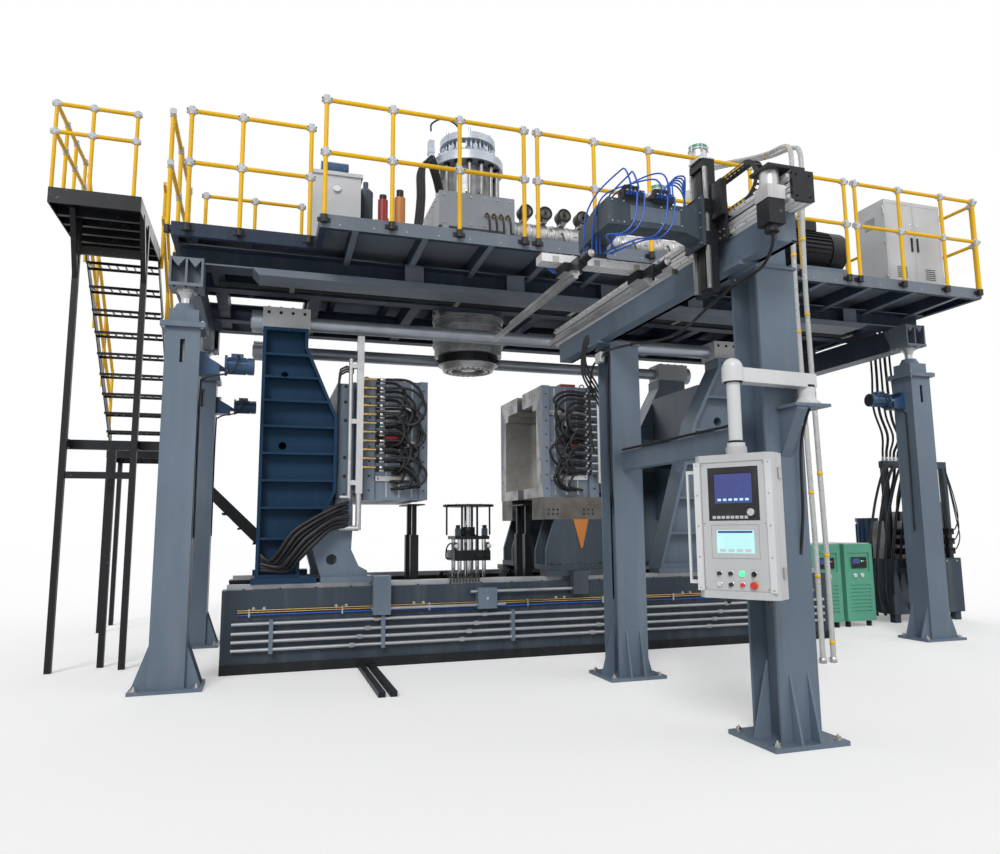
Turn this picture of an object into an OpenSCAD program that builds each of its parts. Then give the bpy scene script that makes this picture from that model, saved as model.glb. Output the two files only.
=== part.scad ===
// Blow moulding machine for large hollow containers: a lifting extruder platform on four screw
// columns, an accumulator head with its die, a sliding clamp unit below it, a blow unit,
// a take-out robot, a swivelling control pendant, a stair tower and a hydraulic station.
// Origin on the floor under the die axis, +X along the machine front, +Y to its rear, +Z up.

/* [Platform] */
// Height of the walking surface at the lower stop of the platform
deck_z = 4260; // [4200:10:4500]
// Travel of the platform on its screws
lift = 300; // [100:10:400]
// Distance of the left end from the die axis
deck_left = 3300; // [3250:10:3500]
// Distance of the right end from the die axis
deck_right = 5950; // [5900:10:6300]
// Where the walkway steps forward, left of the die axis
step_x = 1985; // [1900:5:2100]
// Front edge of the left walkway
front_left = 1610; // [1600:5:1700]
// Front edge of the other walkways
front_main = 2170; // [2100:5:2250]
// Rear edge of the left walkway behind the die axis
rear_left = 250; // [200:10:350]
// Rear edge of the platform
rear_main = 1450; // [1400:10:1600]
// Depth of the edge channel
fascia_h = 130; // [100:5:150]
// Depth of the long girders
girder_h = 200; // [160:5:240]
// Depth of the end beams that rest on the screws
end_beam_h = 280; // [240:5:300]
// Thickness of the deck plate
deck_t = 10; // [6:1:16]
// Thickness of girder webs and flanges
girder_t = 16; // [10:1:22]

/* [Columns] */
// Width of a platform column
col_w = 300; // [260:5:340]
// Wall of a platform column
col_t = 14; // [8:1:20]
// Distance of the left columns from the die axis
col_left = 3150; // [3100:5:3200]
// Distance of the right columns from the die axis
col_right = 5500; // [5450:5:5600]
// Distance of the front columns from the die axis
col_front = 1450; // [1430:5:1500]
// Distance of the rear columns from the die axis
col_rear = 1150; // [1100:5:1200]
// Height of a column up to its flange
col_h = 3250; // [3100:10:3270]
// Diameter of a lifting screw
screw_d = 90; // [70:2:110]

/* [Guard rails] */
// Height of the guard rail above the deck
rail_h = 1100; // [1000:10:1200]
// Tube diameter of the guard rail
rail_d = 42; // [34:1:48]

/* [Accumulator head] */
// Diameter of the storage cylinder
head_d = 640; // [560:10:700]
// Diameter of the head flanges
flange_d = 920; // [900:10:1000]
// Number of tie rods round the cylinder
head_rods = 16; // [8:2:20]
// Diameter of a head tie rod
head_rod_d = 46; // [30:2:60]
// Bore of the die ring
die_bore = 420; // [360:10:460]
// Travel of the die mandrel
mandrel_travel = 40; // [10:5:60]
// Stroke of the shot piston
shot_stroke = 320; // [100:10:340]

/* [Extruder] */
// Outside diameter of the barrel
barrel_d = 300; // [240:10:340]
// Diameter of the screw flights
flight_d = 150; // [120:2:180]
// Length of the barrel
barrel_l = 3500; // [3300:50:3600]
// Height of the extruder axis above the deck
extruder_z = 950; // [900:10:1000]

/* [Clamp] */
// Opening of each mould half from the parting plane
mould_open = 680; // [500:10:690]
// Depth of each mould half along the clamp axis
mould_x = 700; // [640:10:740]
// Width of a mould half across the machine
mould_y = 1600; // [1400:10:1640]
// Height of a mould half
mould_h = 1310; // [1200:10:1340]
// Underside of the mould halves
mould_z = 1740; // [1730:5:1760]
// Diameter of a tie bar
tie_d = 150; // [110:5:180]
// Height of the upper tie bars
tie_z = 3600; // [3560:5:3620]
// Distance of the tie bars from the machine's middle plane
tie_y = 700; // [660:10:760]
// Thickness of the mould platens
platen_t = 180; // [140:5:200]

/* [Bed] */
// Height of the clamp bed
bed_z = 800; // [760:10:820]
// Half width of the clamp bed
bed_y = 950; // [930:10:1000]
// Left end of the bed from the die axis
bed_left = 2750; // [2700:10:2900]
// Right end of the bed from the die axis
bed_right = 4400; // [4350:10:4500]

/* [Synchronising gear] */
// Tooth module of the racks and the pinion
gear_m = 6; // [5:0.5:6]
// Number of pinion teeth
gear_n = 19; // [17:1:20]
// Width of the teeth
gear_w = 40; // [30:2:44]

/* [Robot] */
// Height of the robot columns
robot_h = 3170; // [3100:10:3200]
// Place of the robot columns right of the die axis
robot_x = 930; // [900:5:960]
// Distance of the front robot column
robot_front = 4560; // [4500:10:4650]
// Distance of the rear robot column
robot_rear = 2280; // [2200:10:2350]
// Width of a robot column
robot_w = 300; // [260:5:340]
// Travel of the robot carriage towards the moulds
robot_travel = 1850; // [1000:50:1850]
// Travel of the arm on the carriage
arm_travel = 250; // [100:10:280]

/* [Pendant] */
// Width of the control panel
panel_w = 500; // [460:5:540]
// Height of the control panel
panel_h = 880; // [820:10:920]
// Depth of the control panel
panel_d = 200; // [160:5:240]

/* [Stair] */
// Height of the upper landing
landing_z = 4800; // [4780:10:4820]
// Rise of one stair step
step_rise = 225; // [215:5:230]
// Clear width of the stair
stair_w = 800; // [760:10:840]

/* [Hidden] */

$fn = 48;
// Running clearance between parts that slide on each other
run = 0.3;
run_l = 225;
stair_x = -4500;
stair_y0 = -800;
stair_y1 = 720;
stair_low = 2550;
// Clearance round pieces that pass through a hole
gap = 1;
// Running fit of a shaft in its bearing bore
fit = 0.1;

// Levels of the platform, from the deck down to the screws
joist_z = deck_z - fascia_h;
girder_z = joist_z - girder_h;
beam_z = girder_z - end_beam_h;
cap_h = 200;
col_flange_t = 50;
cap_z = col_h + col_flange_t;
front_girder_y = -col_front + 150;
rear_girder_y = col_rear;
girder_w = 240;
well = 520;

// Levels of the head above and below the deck
die_z = 3330;
die_ring_h = 180;
plate_z = 5300;
plate_h = 160;
rods_h = 480;
ring_h = 160;
ring_z = plate_z + plate_h + rods_h;
top_z = ring_z + ring_h + 160;
ext_z = deck_z + extruder_z;
barrel_x = 480;
feed_x = barrel_x + barrel_l - 520;

// Clamp levels and places
gear_r = gear_m * gear_n / 2;
gear_x = -75;
gear_y = -bed_y - 60;
gear_z = 650;
shaft_d = 30;
rack_d = 36;
rack_z = gear_r + rack_d / 2 - gear_m * 1.1;
mould_back = mould_open + mould_x;
platen_x = mould_back + 110;
platen_back = platen_x + platen_t;
platen_z = mould_z - 100;
platen_h = mould_h;
guide_y = bed_y - 130;
guide_w = 70;
guide_h = 50;
shoe_z = bed_z + guide_h + run;
carriage_h = 60;
carriage_z = shoe_z + carriage_h;
frame_back = 2450;
cyl_z = 2350;
cyl_bore = 260;
cyl_d = 380;
rod_d = 180;

// Blow unit levels and places
blow_z = 700;
blow_d = 120;
post_pitch = 300;
post_x = 700;

// Robot levels and places
rail_x = 750;
rail_z = robot_h + 230;
rail_w = 160;
rail_hh = 200;
rail_y0 = -5200;
rail_y1 = -1230;
carr_y = -4400;
carr_w = 420;
grip_x = -50;
grip_y = -4300;
grip_z = 3170;

// Pendant places
pend_x = 1050;
pend_y = -4800;
pend_z = 2180;
elbow_x = 440;
elbow_y = -4860;
panel_a = -56;
panel_z = 950;

// A box from its low corner to its high corner
module block(lo, hi) {
    translate(lo) cube(hi - lo);
}

// A cylinder that lies along X, from x0 to x1
module rod_x(x0, x1, y, z, d) {
    translate([x0, y, z]) rotate([0, 90, 0]) cylinder(h = x1 - x0, d = d);
}

// A cylinder that lies along Y, from y0 to y1
module rod_y(x, y0, y1, z, d) {
    translate([x, y1, z]) rotate([90, 0, 0]) cylinder(h = y1 - y0, d = d);
}

// A profile drawn in X and Z, given a thickness along Y from y0 to y1
module slab_y(y0, y1) {
    translate([0, y1, 0]) rotate([90, 0, 0]) linear_extrude(height = y1 - y0) children();
}

// A profile drawn in Y and Z, given a thickness along X from x0 to x1
module slab_x(x0, x1) {
    translate([x0, 0, 0]) rotate([90, 0, 90]) linear_extrude(height = x1 - x0) children();
}

// An I-beam along X
module beam_x(x0, x1, y, z, w, h, t) {
    slab_x(x0, x1) translate([y, z]) union() {
        translate([-w / 2, 0]) square([w, t]);
        translate([-w / 2, h - t]) square([w, t]);
        translate([-t / 2, 0]) square([t, h]);
    }
}

// An I-beam along Y
module beam_y(x, y0, y1, z, w, h, t) {
    slab_y(y0, y1) translate([x, z]) union() {
        translate([-w / 2, 0]) square([w, t]);
        translate([-w / 2, h - t]) square([w, t]);
        translate([-t / 2, 0]) square([t, h]);
    }
}

// A triangular gusset in the plane of X and Z, its corner at the origin
module gusset(w, h, t) {
    slab_y(-t / 2, t / 2) polygon([[0, 0], [w, 0], [0, h]]);
}

// Four copies round a rectangle's corners
module corners(dx, dy) {
    for (sx = [-1, 1])
        for (sy = [-1, 1])
            translate([sx * dx / 2, sy * dy / 2, 0]) children();
}

// A hexagon bolt head standing on z = 0
module bolt(d) {
    cylinder(h = d * 0.65, d = d * 1.8, $fn = 6);
}

// Clamp bed: two long beams on feet, cross members, ground guide rails and floor rails
module base_frame() {
    color("darkslategray") {
        for (s = [-1, 1])
            beam_x(-bed_left, bed_right, s * (bed_y - 120), 90, 240, bed_z - 90, 30);
        for (s = [-1, 1])
            block([-bed_left, s * (bed_y - 120) - 150, 0], [bed_right, s * (bed_y - 120) + 150, 90]);
        for (x = [-bed_left, -1900, -500, 440, 1700, 3000, bed_right - 60])
            block([x, -bed_y + 135, 200], [x + 60, bed_y - 135, 480]);
        block([-bed_left, -bed_y, 90], [bed_right, -bed_y + 12, bed_z]);
        block([-250, -bed_y + 270, 0], [250, bed_y - 270, 60]);
        difference() {
            block([-post_x - 160, -bed_y + 135, blow_z - 60], [post_x + 160, bed_y - 135, blow_z]);
            translate([0, 0, blow_z - 70]) cylinder(h = 80, d = blow_d + 4 * gap);
        }
    }
    color("silver")
        for (s = [-1, 1])
            block([-bed_left + 40, s * guide_y - guide_w / 2, bed_z],
                [bed_right - 40, s * guide_y + guide_w / 2, bed_z + guide_h]);
    color("dimgray")
        for (x = [-1430, -1330])
            block([x, -2430, 0], [x + 60, -bed_y - 30, 45]);
}

// Housing of the synchronising pinion, with the bores for both rack bars and the shaft
module sync_gear_block() {
    h = rack_z + rack_d / 2 + 22;
    color("slategray") difference() {
        translate([gear_x - 105, -bed_y - 120, gear_z - h]) cube([210, 120, 2 * h]);
        for (s = [-1, 1])
            rod_x(gear_x - 120, gear_x + 120, gear_y, gear_z + s * rack_z, rack_d + 2 * gap);
        rod_y(gear_x, gear_y - gear_w / 2 - gap, gear_y + gear_w / 2 + gap, gear_z,
            2 * (gear_r + gear_m + gap));
        rod_y(gear_x, -bed_y - 130, -bed_y - 10, gear_z, shaft_d + fit);
    }
}

// Four pipes along the front of the bed with their brackets
module front_pipes() {
    color("silver")
        for (z = [230, 310, 390, 480])
            rod_x(-bed_left + 100, bed_right - 100, -bed_y - 55, z, 34);
    color("slategray") difference() {
        for (x = [-2300, -1200, 200, 1750, 3300])
            block([x, -bed_y - 85, 190], [x + 40, -bed_y, 515]);
        for (z = [230, 310, 390, 480])
            rod_x(-bed_left + 50, bed_right, -bed_y - 55, z, 34 + 2 * run);
    }
}

// One hollow screw column with its foot, gussets, slot, flange and screw cap
module column() {
    difference() {
        union() {
            translate([-300, -225, 0]) cube([600, 450, 30]);
            translate([-col_w / 2, -col_w / 2, 30]) cube([col_w, col_w, col_h - 30]);
            for (a = [0, 180])
                rotate([0, 0, a])
                    for (y = [-col_w / 2 + 40, col_w / 2 - 40])
                        translate([col_w / 2, y, 30]) gusset(300 - col_w / 2 - 15, 380, 16);
            translate([-col_w / 2 - 45, -col_w / 2 - 45, col_h])
                cube([col_w + 90, col_w + 90, col_flange_t]);
            translate([-130, -130, cap_z]) cube([260, 260, cap_h * 0.65]);
            translate([0, 0, cap_z + cap_h * 0.65]) cylinder(h = cap_h * 0.35, d1 = 240, d2 = 170);
        }
        translate([-col_w / 2 + col_t, -col_w / 2 + col_t, 60])
            cube([col_w - 2 * col_t, col_w - 2 * col_t, col_h - 60]);
        translate([0, 0, col_h - 10]) cylinder(h = 500, d = screw_d + 2 * run);
        translate([-20, -col_w, col_h - 330]) cube([40, col_w, 220]);
        corners(500, 350) translate([0, 0, -1]) cylinder(h = 40, r = 17);
    }
}

// The four columns of the platform
module platform_columns() {
    color("slategray") column_places() column();
}

// Puts a child at each column
module column_places() {
    translate([-col_left, -col_front, 0]) children();
    translate([col_right, -col_front, 0]) children();
    translate([-col_left, col_rear, 0]) children();
    translate([col_right, col_rear, 0]) children();
}

// Geared motors that turn the nuts of the screws, on the inner side of each column
module jack_drives() {
    for (s = [[-col_left + col_w / 2, -col_front + 60, 1], [-col_left + col_w / 2, col_rear, 1],
            [col_right - col_w / 2, -col_front + 60, -1], [col_right - col_w / 2, col_rear, -1]])
        translate([s[0], s[1], col_h - 330]) mirror([s[2] < 0 ? 1 : 0, 0, 0]) jack_drive();
}

// One worm gearbox with its motor and fan cover
module jack_drive() {
    color("darkgreen") difference() {
        union() {
            translate([run, -85, -70]) cube([170, 170, 210]);
            rod_x(170, 215, 0, 35, 120);
        }
        translate([40, -90, 105]) rotate([0, 30, 0]) cube([300, 200, 200]);
    }
    color("midnightblue") {
        rod_x(215, 235, 0, 35, 200);
        rod_x(235, 420, 0, 35, 150);
        rod_x(420, 480, 0, 35, 165);
        for (a = [0:30:330])
            translate([240, 0, 35]) rotate([a, 0, 0]) translate([0, -3, 70]) cube([170, 6, 14]);
        translate([270, -50, 100]) cube([110, 100, 45]);
    }
}

// Robot stand: two H-columns on bolted feet, cross beam, carrying beam and pendant bracket
module robot_frame() {
    color("slategray") {
        difference() {
            union() {
                translate([robot_x, -robot_front, 0]) h_column(robot_h);
                translate([robot_x, -robot_rear, 0]) h_column(robot_h);
                block([robot_x - 60, -robot_front + robot_w / 2, 1930],
                    [robot_x + 60, -robot_rear - robot_w / 2, 2100]);
            }
            for (y = [-robot_front, -robot_rear])
                translate([robot_x, y, 0]) corners(460, 400)
                    translate([0, 0, -1]) cylinder(h = 40, r = 15);
        }
        for (y = [-robot_front, -robot_rear])
            block([rail_x - 90, y - 120, robot_h], [robot_x + 120, y + 120, robot_h + 30]);
        block([rail_x - 60, -5050, robot_h + 30], [rail_x + 90, -1350, rail_z]);
    }
    color("dimgray") {
        translate([robot_x, -robot_front - robot_w / 2, pend_z - 340])
            slab_x(-40, 40) polygon([[0, 0], [0, 340], [-190, 340], [-190, 300]]);
        block([robot_x - 60, pend_y - 110, pend_z - 20], [pend_x + 100, -robot_front - robot_w / 2, pend_z]);
    }
}

// An H-column with foot plate, gussets and top plate
module h_column(h) {
    difference() {
        translate([-robot_w / 2, -robot_w / 2, 30]) cube([robot_w, robot_w, h - 50]);
        for (s = [-1, 1])
            translate([s * robot_w / 2, 0, h / 2]) cube([robot_w - 40, robot_w - 44, h * 2], center = true);
    }
    translate([-280, -250, 0]) cube([560, 500, 30]);
    translate([-robot_w / 2 - 15, -robot_w / 2 - 15, h - 20]) cube([robot_w + 30, robot_w + 30, 20]);
    for (a = [0, 180])
        rotate([0, 0, a]) {
            translate([robot_w / 2 - 22, 0, 30]) gusset(280 - robot_w / 2, 480, 16);
            for (x = [-70, 70])
                translate([x, -robot_w / 2, 30]) rotate([0, 0, -90]) gusset(240 - robot_w / 2, 420, 16);
        }
}

// Slotted aluminium profile that the carriage runs on, with its two rails and black cover
module robot_rail_profile() {
    color("lightgray") slab_y(rail_y0, rail_y1) translate([rail_x - 60, rail_z]) difference() {
        union() {
            square([rail_w, rail_hh]);
            for (z = [20, rail_hh - 44])
                translate([-24, z]) square([24, 24]);
        }
        for (z = [52, 88, 124])
            translate([-1, z]) square([15, 12]);
        for (x = [30, 80, 130]) {
            translate([x, rail_hh - 14]) square([12, 15]);
            translate([x, -1]) square([12, 15]);
        }
        translate([30, 45]) square([rail_w - 60, rail_hh - 90]);
    }
    color("black")
        block([rail_x - 60, rail_y0 - 26, rail_z], [rail_x - 60 + rail_w, rail_y0, rail_z + rail_hh]);
    color("black")
        block([rail_x - 60, rail_y1, rail_z], [rail_x - 60 + rail_w, rail_y1 + 20, rail_z + rail_hh + 14]);
}

// Belt drive of the carriage: angle gearbox and servo motor hanging at the near end
module robot_drive() {
    x = rail_x - 60 - 24 - 75;
    y = rail_y0 + 70;
    color("dimgray") block([x - 75, y - 95, rail_z + rail_hh], [x + 199, y + 95, rail_z + rail_hh + 20]);
    color("gray") {
        translate([x, y, rail_z + rail_hh - 100]) cylinder(h = 100, d = 120);
        translate([x - 65, y - 65, rail_z + rail_hh - 190]) cube([130, 130, 90]);
        rod_x(x, rail_x - 60, y, rail_z + rail_hh / 2, 70);
    }
    color("black") {
        translate([x - 60, y - 60, rail_z + rail_hh - 350]) cube([120, 120, 160]);
        translate([x, y, rail_z + rail_hh - 390]) cylinder(h = 40, d = 90);
    }
}

// Steel stair tower with its landings, stringers and grating treads
module stair_tower() {
    x0 = stair_x;
    x1 = x0 + stair_w;
    legs = [x0 + 130, x1 - 10];
    low = stair_low;
    z = landing_z;
    treads = floor((z - low) / step_rise) - 1;
    y2 = stair_y1 + (treads + 1) * run_l;
    color("black") {
        for (x = legs) {
            block([x - 30, -270, 0], [x + 30, -210, z - 100]);
            block([x - 30, -220, 2255], [x + 30, -20, 2345]);
            slab_x(x - 25, x + 25) polygon([[-250, z - 800], [-250, z - 690], [-500, z - 100],
                [-570, z - 100]]);
        }
        block([legs[0], -260, z - 480], [legs[1], -220, z - 390]);
        block([legs[0], -260, 1930], [legs[1], -220, 2000]);
        block([legs[0] - 30, -70, 2250], [legs[1] + 220, -10, 2350]);
        block([-3970, -70, 0], [-3910, -10, 2300]);
        tray(x0 - 40, x1 + 10, stair_y0, stair_y1, z, 160);
        block([x0 - 35, stair_y0 + 5, z - 60], [x1 + 5, stair_y1 - 5, z - 52]);
        for (y = [stair_y0 + 330:250:stair_y1 - 100])
            block([x0 - 35, y, z - 150], [x1 + 5, y + 50, z - 55]);
        tray(x0 - 40, x1 + 40, y2 - 60, y2 + 900, low, 120);
        for (x = [x0 - 5, x1 + 5])
            for (y = [y2 - 25, y2 + 865])
                translate([x - 30, y - 30, 0]) cube([60, 60, low - 20]);
        for (x = [x0, x1 - 12])
            slab_x(x, x + 12) polygon([[stair_y1 - 5, z - 150], [stair_y1 - 5, z - 20],
                [stair_y1 + 20, z - 20], [y2 - 20, low + 190], [y2 - 20, low - 20], [y2 - 50, low - 20]]);
        for (i = [1:treads])
            translate([x0 + 12, stair_y1 + (i - 1) * run_l + 20, z - i * step_rise - 30])
                tread(stair_w - 24, run_l + 15);
        lower_flight(x1 + 40, y2, low);
    }
}

// A framed landing of grating bars with its top at z
module tray(x0, x1, y0, y1, z, h) {
    difference() {
        block([x0, y0, z - h], [x1, y1, z]);
        block([x0 + 10, y0 + 10, z - h - 1], [x1 - 10, y1 - 10, z + 1]);
    }
    for (x = [x0 + 10:90:x1 - 20])
        block([x, y0 + 5, z - 40], [x + 8, y1 - 5, z - 5]);
    for (y = [y0 + 200:300:y1 - 20])
        block([x0 + 5, y, z - 36], [x1 - 5, y + 8, z - 8]);
}

// One grating tread between the stringers
module tread(w, d) {
    for (y = [0, d - 8])
        translate([-5, y, 0]) cube([w + 10, 8, 34]);
    for (x = [30:95:w - 8])
        translate([x, 4, 6]) cube([8, d - 8, 26]);
}

// The last flight down to the floor behind the machine's left end
module lower_flight(x, y, z) {
    n = floor(z / step_rise) - 1;
    l = run_l;
    w = 760;
    for (yy = [y + 60, y + 60 + w])
        slab_y(yy, yy + 12)
            polygon([[x - 12, z - 160], [x - 12, z], [x + 30, z], [x + (n + 1) * l, 160],
                [x + (n + 1) * l, 0], [x + (n + 1) * l - 120, 0]]);
    for (i = [1:n])
        translate([x + (i - 1) * l + 10 + l, y + 72, z - i * step_rise - 30])
            rotate([0, 0, 90]) tread(w - 12, l - 5);
}

// Yellow handrails of the stair and its upper landing
module stair_rails() {
    xa = stair_x - 40 + 21;
    y0 = stair_y0 + 21;
    y1 = stair_y1;
    z = landing_z;
    treads = floor((z - stair_low) / step_rise) - 1;
    y2 = y1 + (treads + 1) * run_l;
    color("gold") {
        for (h = [600, 900]) {
            rod_x(xa, stair_x + stair_w - 70, y0, z + h, rail_d);
            rod_y(xa, y0, y1 - 200, z + h, rail_d);
        }
        for (x = [xa, stair_x + 320, stair_x + stair_w - 70])
            translate([x, y0, z]) cylinder(h = 900, d = rail_d - 4);
        for (y = [-340, 60, y1 - 200])
            translate([xa, y, z]) cylinder(h = 900, d = rail_d - 4);
    }
    color("gold")
        for (x = [stair_x - rail_d / 2 - run, stair_x + stair_w + rail_d / 2 + run]) {
            for (h = [420, 860])
                slab_x(x - rail_d / 2 + 3, x + rail_d / 2 - 3)
                    polygon([[y1 + 10, z - 30 + h], [y1 + 10, z + 12 + h], [y2 - 60, stair_low + 252 + h],
                        [y2 - 60, stair_low + 210 + h]]);
            for (k = [0.04, 0.35, 0.66, 0.96])
                translate([x, y1 + (y2 - y1) * k, z - 130 - (z - stair_low - 220) * k])
                    cylinder(h = 970, d = rail_d);
        }
}

// Centre of the bed: blow unit guide posts, support plates and their telescopic posts
module blow_unit_frame() {
    color("dimgray") {
        difference() {
            block([-430, -430, blow_z], [430, 430, blow_z + 30]);
            translate([0, 0, blow_z - 1]) cylinder(h = 40, d = blow_d + 4 * gap);
        }
        corners(post_pitch, post_pitch) translate([0, 0, blow_z + 30]) cylinder(h = 560, d = 50);
        translate([0, 0, blow_z + 560]) difference() {
            translate([-210, -190, 0]) cube([420, 380, 40]);
            translate([0, 0, -1]) cylinder(h = 60, d = blow_d + 2 * run);
            corners(post_pitch, post_pitch) translate([0, 0, -1]) cylinder(h = 29, d = 50);
            for (x = [-95, 95])
                translate([x, -60, -1]) cylinder(h = 60, d = 26 + 2 * gap);
        }
    }
    color("black")
        for (s = [-1, 1]) {
            block([s * post_x - 75, -220, blow_z], [s * post_x + 75, 220, blow_z + 20]);
            for (y = [-160, 160]) {
                translate([s * post_x - 45, y - 45, blow_z + 20]) cube([90, 90, 600]);
                translate([s * post_x - 25, y - 25, blow_z + 620]) cube([50, 50, 340]);
            }
            block([s * post_x - 100, -300, blow_z + 960], [s * post_x + 100, 300, blow_z + 975]);
        }
}

// Blow pin with its top plate, cross-head and two round knobs
module blow_head() {
    z = 1675;
    color("dimgray") {
        translate([0, 0, blow_z + 40]) cylinder(h = z - blow_z - 40, d = blow_d);
        translate([0, 0, z - 25]) cylinder(h = 25, d = 620);
        difference() {
            translate([-220, -200, 1010]) cube([440, 400, 120]);
            corners(post_pitch, post_pitch) translate([0, 0, 1000])
                cylinder(h = 140, d = 50 + 2 * run);
        }
        for (x = [-95, 95])
            translate([x, -60, 1130]) cylinder(h = z - 25 - 1130, d = 26);
        for (x = [-270, 270])
            translate([x, 0, 1310]) cylinder(h = z - 25 - 1310, d = 22);
    }
    color("silver")
        for (x = [60, 170])
            rod_y(x, -232, -200, 1070, 54);
}

// Hydraulic station: tank, manifold stack, valves, pump motors and a pale side panel
module hydraulic_station() {
    x0 = 6250;
    y0 = -150;
    color("dimgray") {
        block([x0, y0, 120], [x0 + 1300, y0 + 1100, 900]);
        for (x = [x0 + 40, x0 + 1160])
            for (y = [y0 + 40, y0 + 960])
                block([x, y, 0], [x + 100, y + 100, 120]);
        for (i = [0:2])
            block([x0 + 90 + i * 400, y0 + 120, 900], [x0 + 390 + i * 400, y0 + 420, 1450 + i * 140]);
        block([x0 + 60, y0 + 60, 2230], [x0 + 1240, y0 + 160, 2330]);
        for (x = [x0 + 60, x0 + 1160])
            block([x, y0 + 60, 900], [x + 80, y0 + 140, 2230]);
    }
    color("black")
        for (i = [0:2])
            for (k = [0:2]) {
                translate([x0 + 240 + i * 400, y0 + 120, 1010 + k * 140])
                    rotate([90, 0, 0]) cylinder(h = 130, d = 90);
                translate([x0 + 190 + i * 400, y0 - 110, 965 + k * 140]) cube([100, 100, 90]);
            }
    color("midnightblue")
        for (i = [0:1])
            translate([x0 + 330 + i * 600, y0 + 760, 900]) {
                cylinder(h = 120, d = 320);
                translate([0, 0, 120]) cylinder(h = 420, d = 300);
                for (a = [0:30:330])
                    rotate([0, 0, a]) translate([145, -4, 150]) cube([22, 8, 360]);
                translate([0, 0, 540]) cylinder(h = 60, d = 330);
            }
    color("gainsboro")
        block([x0 + 60, y0 - 260, 700], [x0 + 560, y0 - 230, 2260]);
    color("dimgray")
        for (x = [x0 + 80, x0 + 500])
            block([x, y0 - 230, 700], [x + 40, y0, 780]);
}

// Two mould temperature units on castor feet
module temperature_units() {
    for (x = [4780, 5330])
        translate([x, -260, 0]) temperature_unit();
}

// One temperature unit: green casing with a panel recess, louvres and feet
module temperature_unit() {
    w = 480;
    d = 800;
    h = 1130;
    color("mediumseagreen") difference() {
        translate([0, 0, 80]) cube([w, d, h - 80]);
        translate([60, -1, h - 380]) cube([w - 120, 16, 260]);
        for (z = [200:50:550])
            translate([70, -1, z]) cube([w - 140, 12, 22]);
    }
    color("black") {
        for (x = [60, w - 60])
            for (y = [80, d - 80])
                translate([x, y, 0]) cylinder(h = 80, d = 70);
        translate([110, -8, h - 330]) cube([w - 220, 23, 150]);
    }
}

// Frame, deck plates, edge channels and brackets of the lifting platform
module platform_frame() {
    color("slategray") {
        difference() {
            union() {
                block([-step_x, -front_main, deck_z - deck_t], [deck_right, rear_main, deck_z]);
                block([-deck_left, -front_left, deck_z - deck_t], [-step_x, rear_left, deck_z]);
            }
            block([-well, -well, deck_z - 50], [well, well, deck_z + 50]);
        }
        edge_x(-step_x, deck_right, -front_main, 1);
        edge_x(-deck_left, -step_x, -front_left, 1);
        edge_x(-step_x, deck_right, rear_main, -1);
        edge_x(-deck_left, -step_x, rear_left, -1);
        edge_y(-front_left, rear_left, -deck_left, 1);
        edge_y(-front_main, rear_main, deck_right, -1);
        edge_y(-front_main, -front_left + 8, -step_x, 1);
        edge_y(rear_left - 8, rear_main, -step_x, 1);
        girders();
        for (x = [-step_x + 330:660:deck_right - 100])
            cantilever(x);
        end_beams();
    }
}

// An edge channel along X whose lip points inwards
module edge_x(x0, x1, y, s) {
    slab_x(x0, x1) translate([y, joist_z]) scale_y(s) polygon([[0, 0], [60, 0], [60, 8],
        [8, 8], [8, fascia_h - deck_t], [0, fascia_h - deck_t]]);
}

// An edge channel along Y whose lip points inwards
module edge_y(y0, y1, x, s) {
    slab_y(y0, y1) translate([x, joist_z]) scale_y(s) polygon([[0, 0], [60, 0], [60, 8],
        [8, 8], [8, fascia_h - deck_t], [0, fascia_h - deck_t]]);
}

// Mirrors a profile left to right where s is negative
module scale_y(s) {
    mirror([s < 0 ? 1 : 0, 0]) children();
}

// Long girders under the deck and the beams between them
module girders() {
    for (y = [front_girder_y, -620, 620, rear_girder_y])
        beam_x(-deck_left + 50, deck_right - 120, y, girder_z, y == front_girder_y ? girder_w : 160,
            girder_h, girder_t);
    slab_y(front_girder_y - 170, front_girder_y + 170)
        polygon([[-2500, girder_z - 70], [deck_right - 1200, girder_z - 70],
            [deck_right - 1050, girder_z], [-2570, girder_z]]);
    for (x = [-2900, -1900, -760, 760, 1900, 3000, 4100, 5200])
        block([x - 60, front_girder_y, girder_z + girder_t], [x + 60, rear_girder_y, girder_z + girder_h]);
    for (x = [-1060, 60, 1180, 2300, 3420, 4540])
        block([x, front_girder_y - girder_w / 2, girder_z + girder_t],
            [x + 200, front_girder_y - girder_t / 2, girder_z + girder_h - girder_t]);
    difference() {
        for (x = [-step_x + 330:660:deck_right - 100])
            block([x - 30, front_girder_y, joist_z], [x + 30, rear_main - 8, deck_z - deck_t]);
        block([-well - 20, -well - 20, joist_z - 1], [well + 20, well + 20, deck_z]);
    }
    for (x = [-deck_left + 200, -deck_left + 700])
        block([x - 30, -front_left + 8, joist_z], [x + 30, rear_left - 8, deck_z - deck_t]);
}

// A tapered bracket that carries the front walkway
module cantilever(x) {
    slab_x(x - 30, x + 30)
        polygon([[-front_main + 8, joist_z], [-front_main + 8, deck_z - deck_t],
            [front_girder_y, deck_z - deck_t], [front_girder_y, joist_z - 40]]);
}

// End beams across the machine, with the brackets that stand on the screws
module end_beams() {
    for (x = [-col_left, col_right]) {
        difference() {
            block([x - 110, -col_front + 150, beam_z], [x + 110, col_rear, girder_z]);
            block([x - 90, -col_front + 170, beam_z + 20], [x + 90, col_rear - 20, girder_z - 20]);
        }
        for (y = [-col_front, col_rear])
            screw_bracket(x, y);
    }
}

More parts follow.
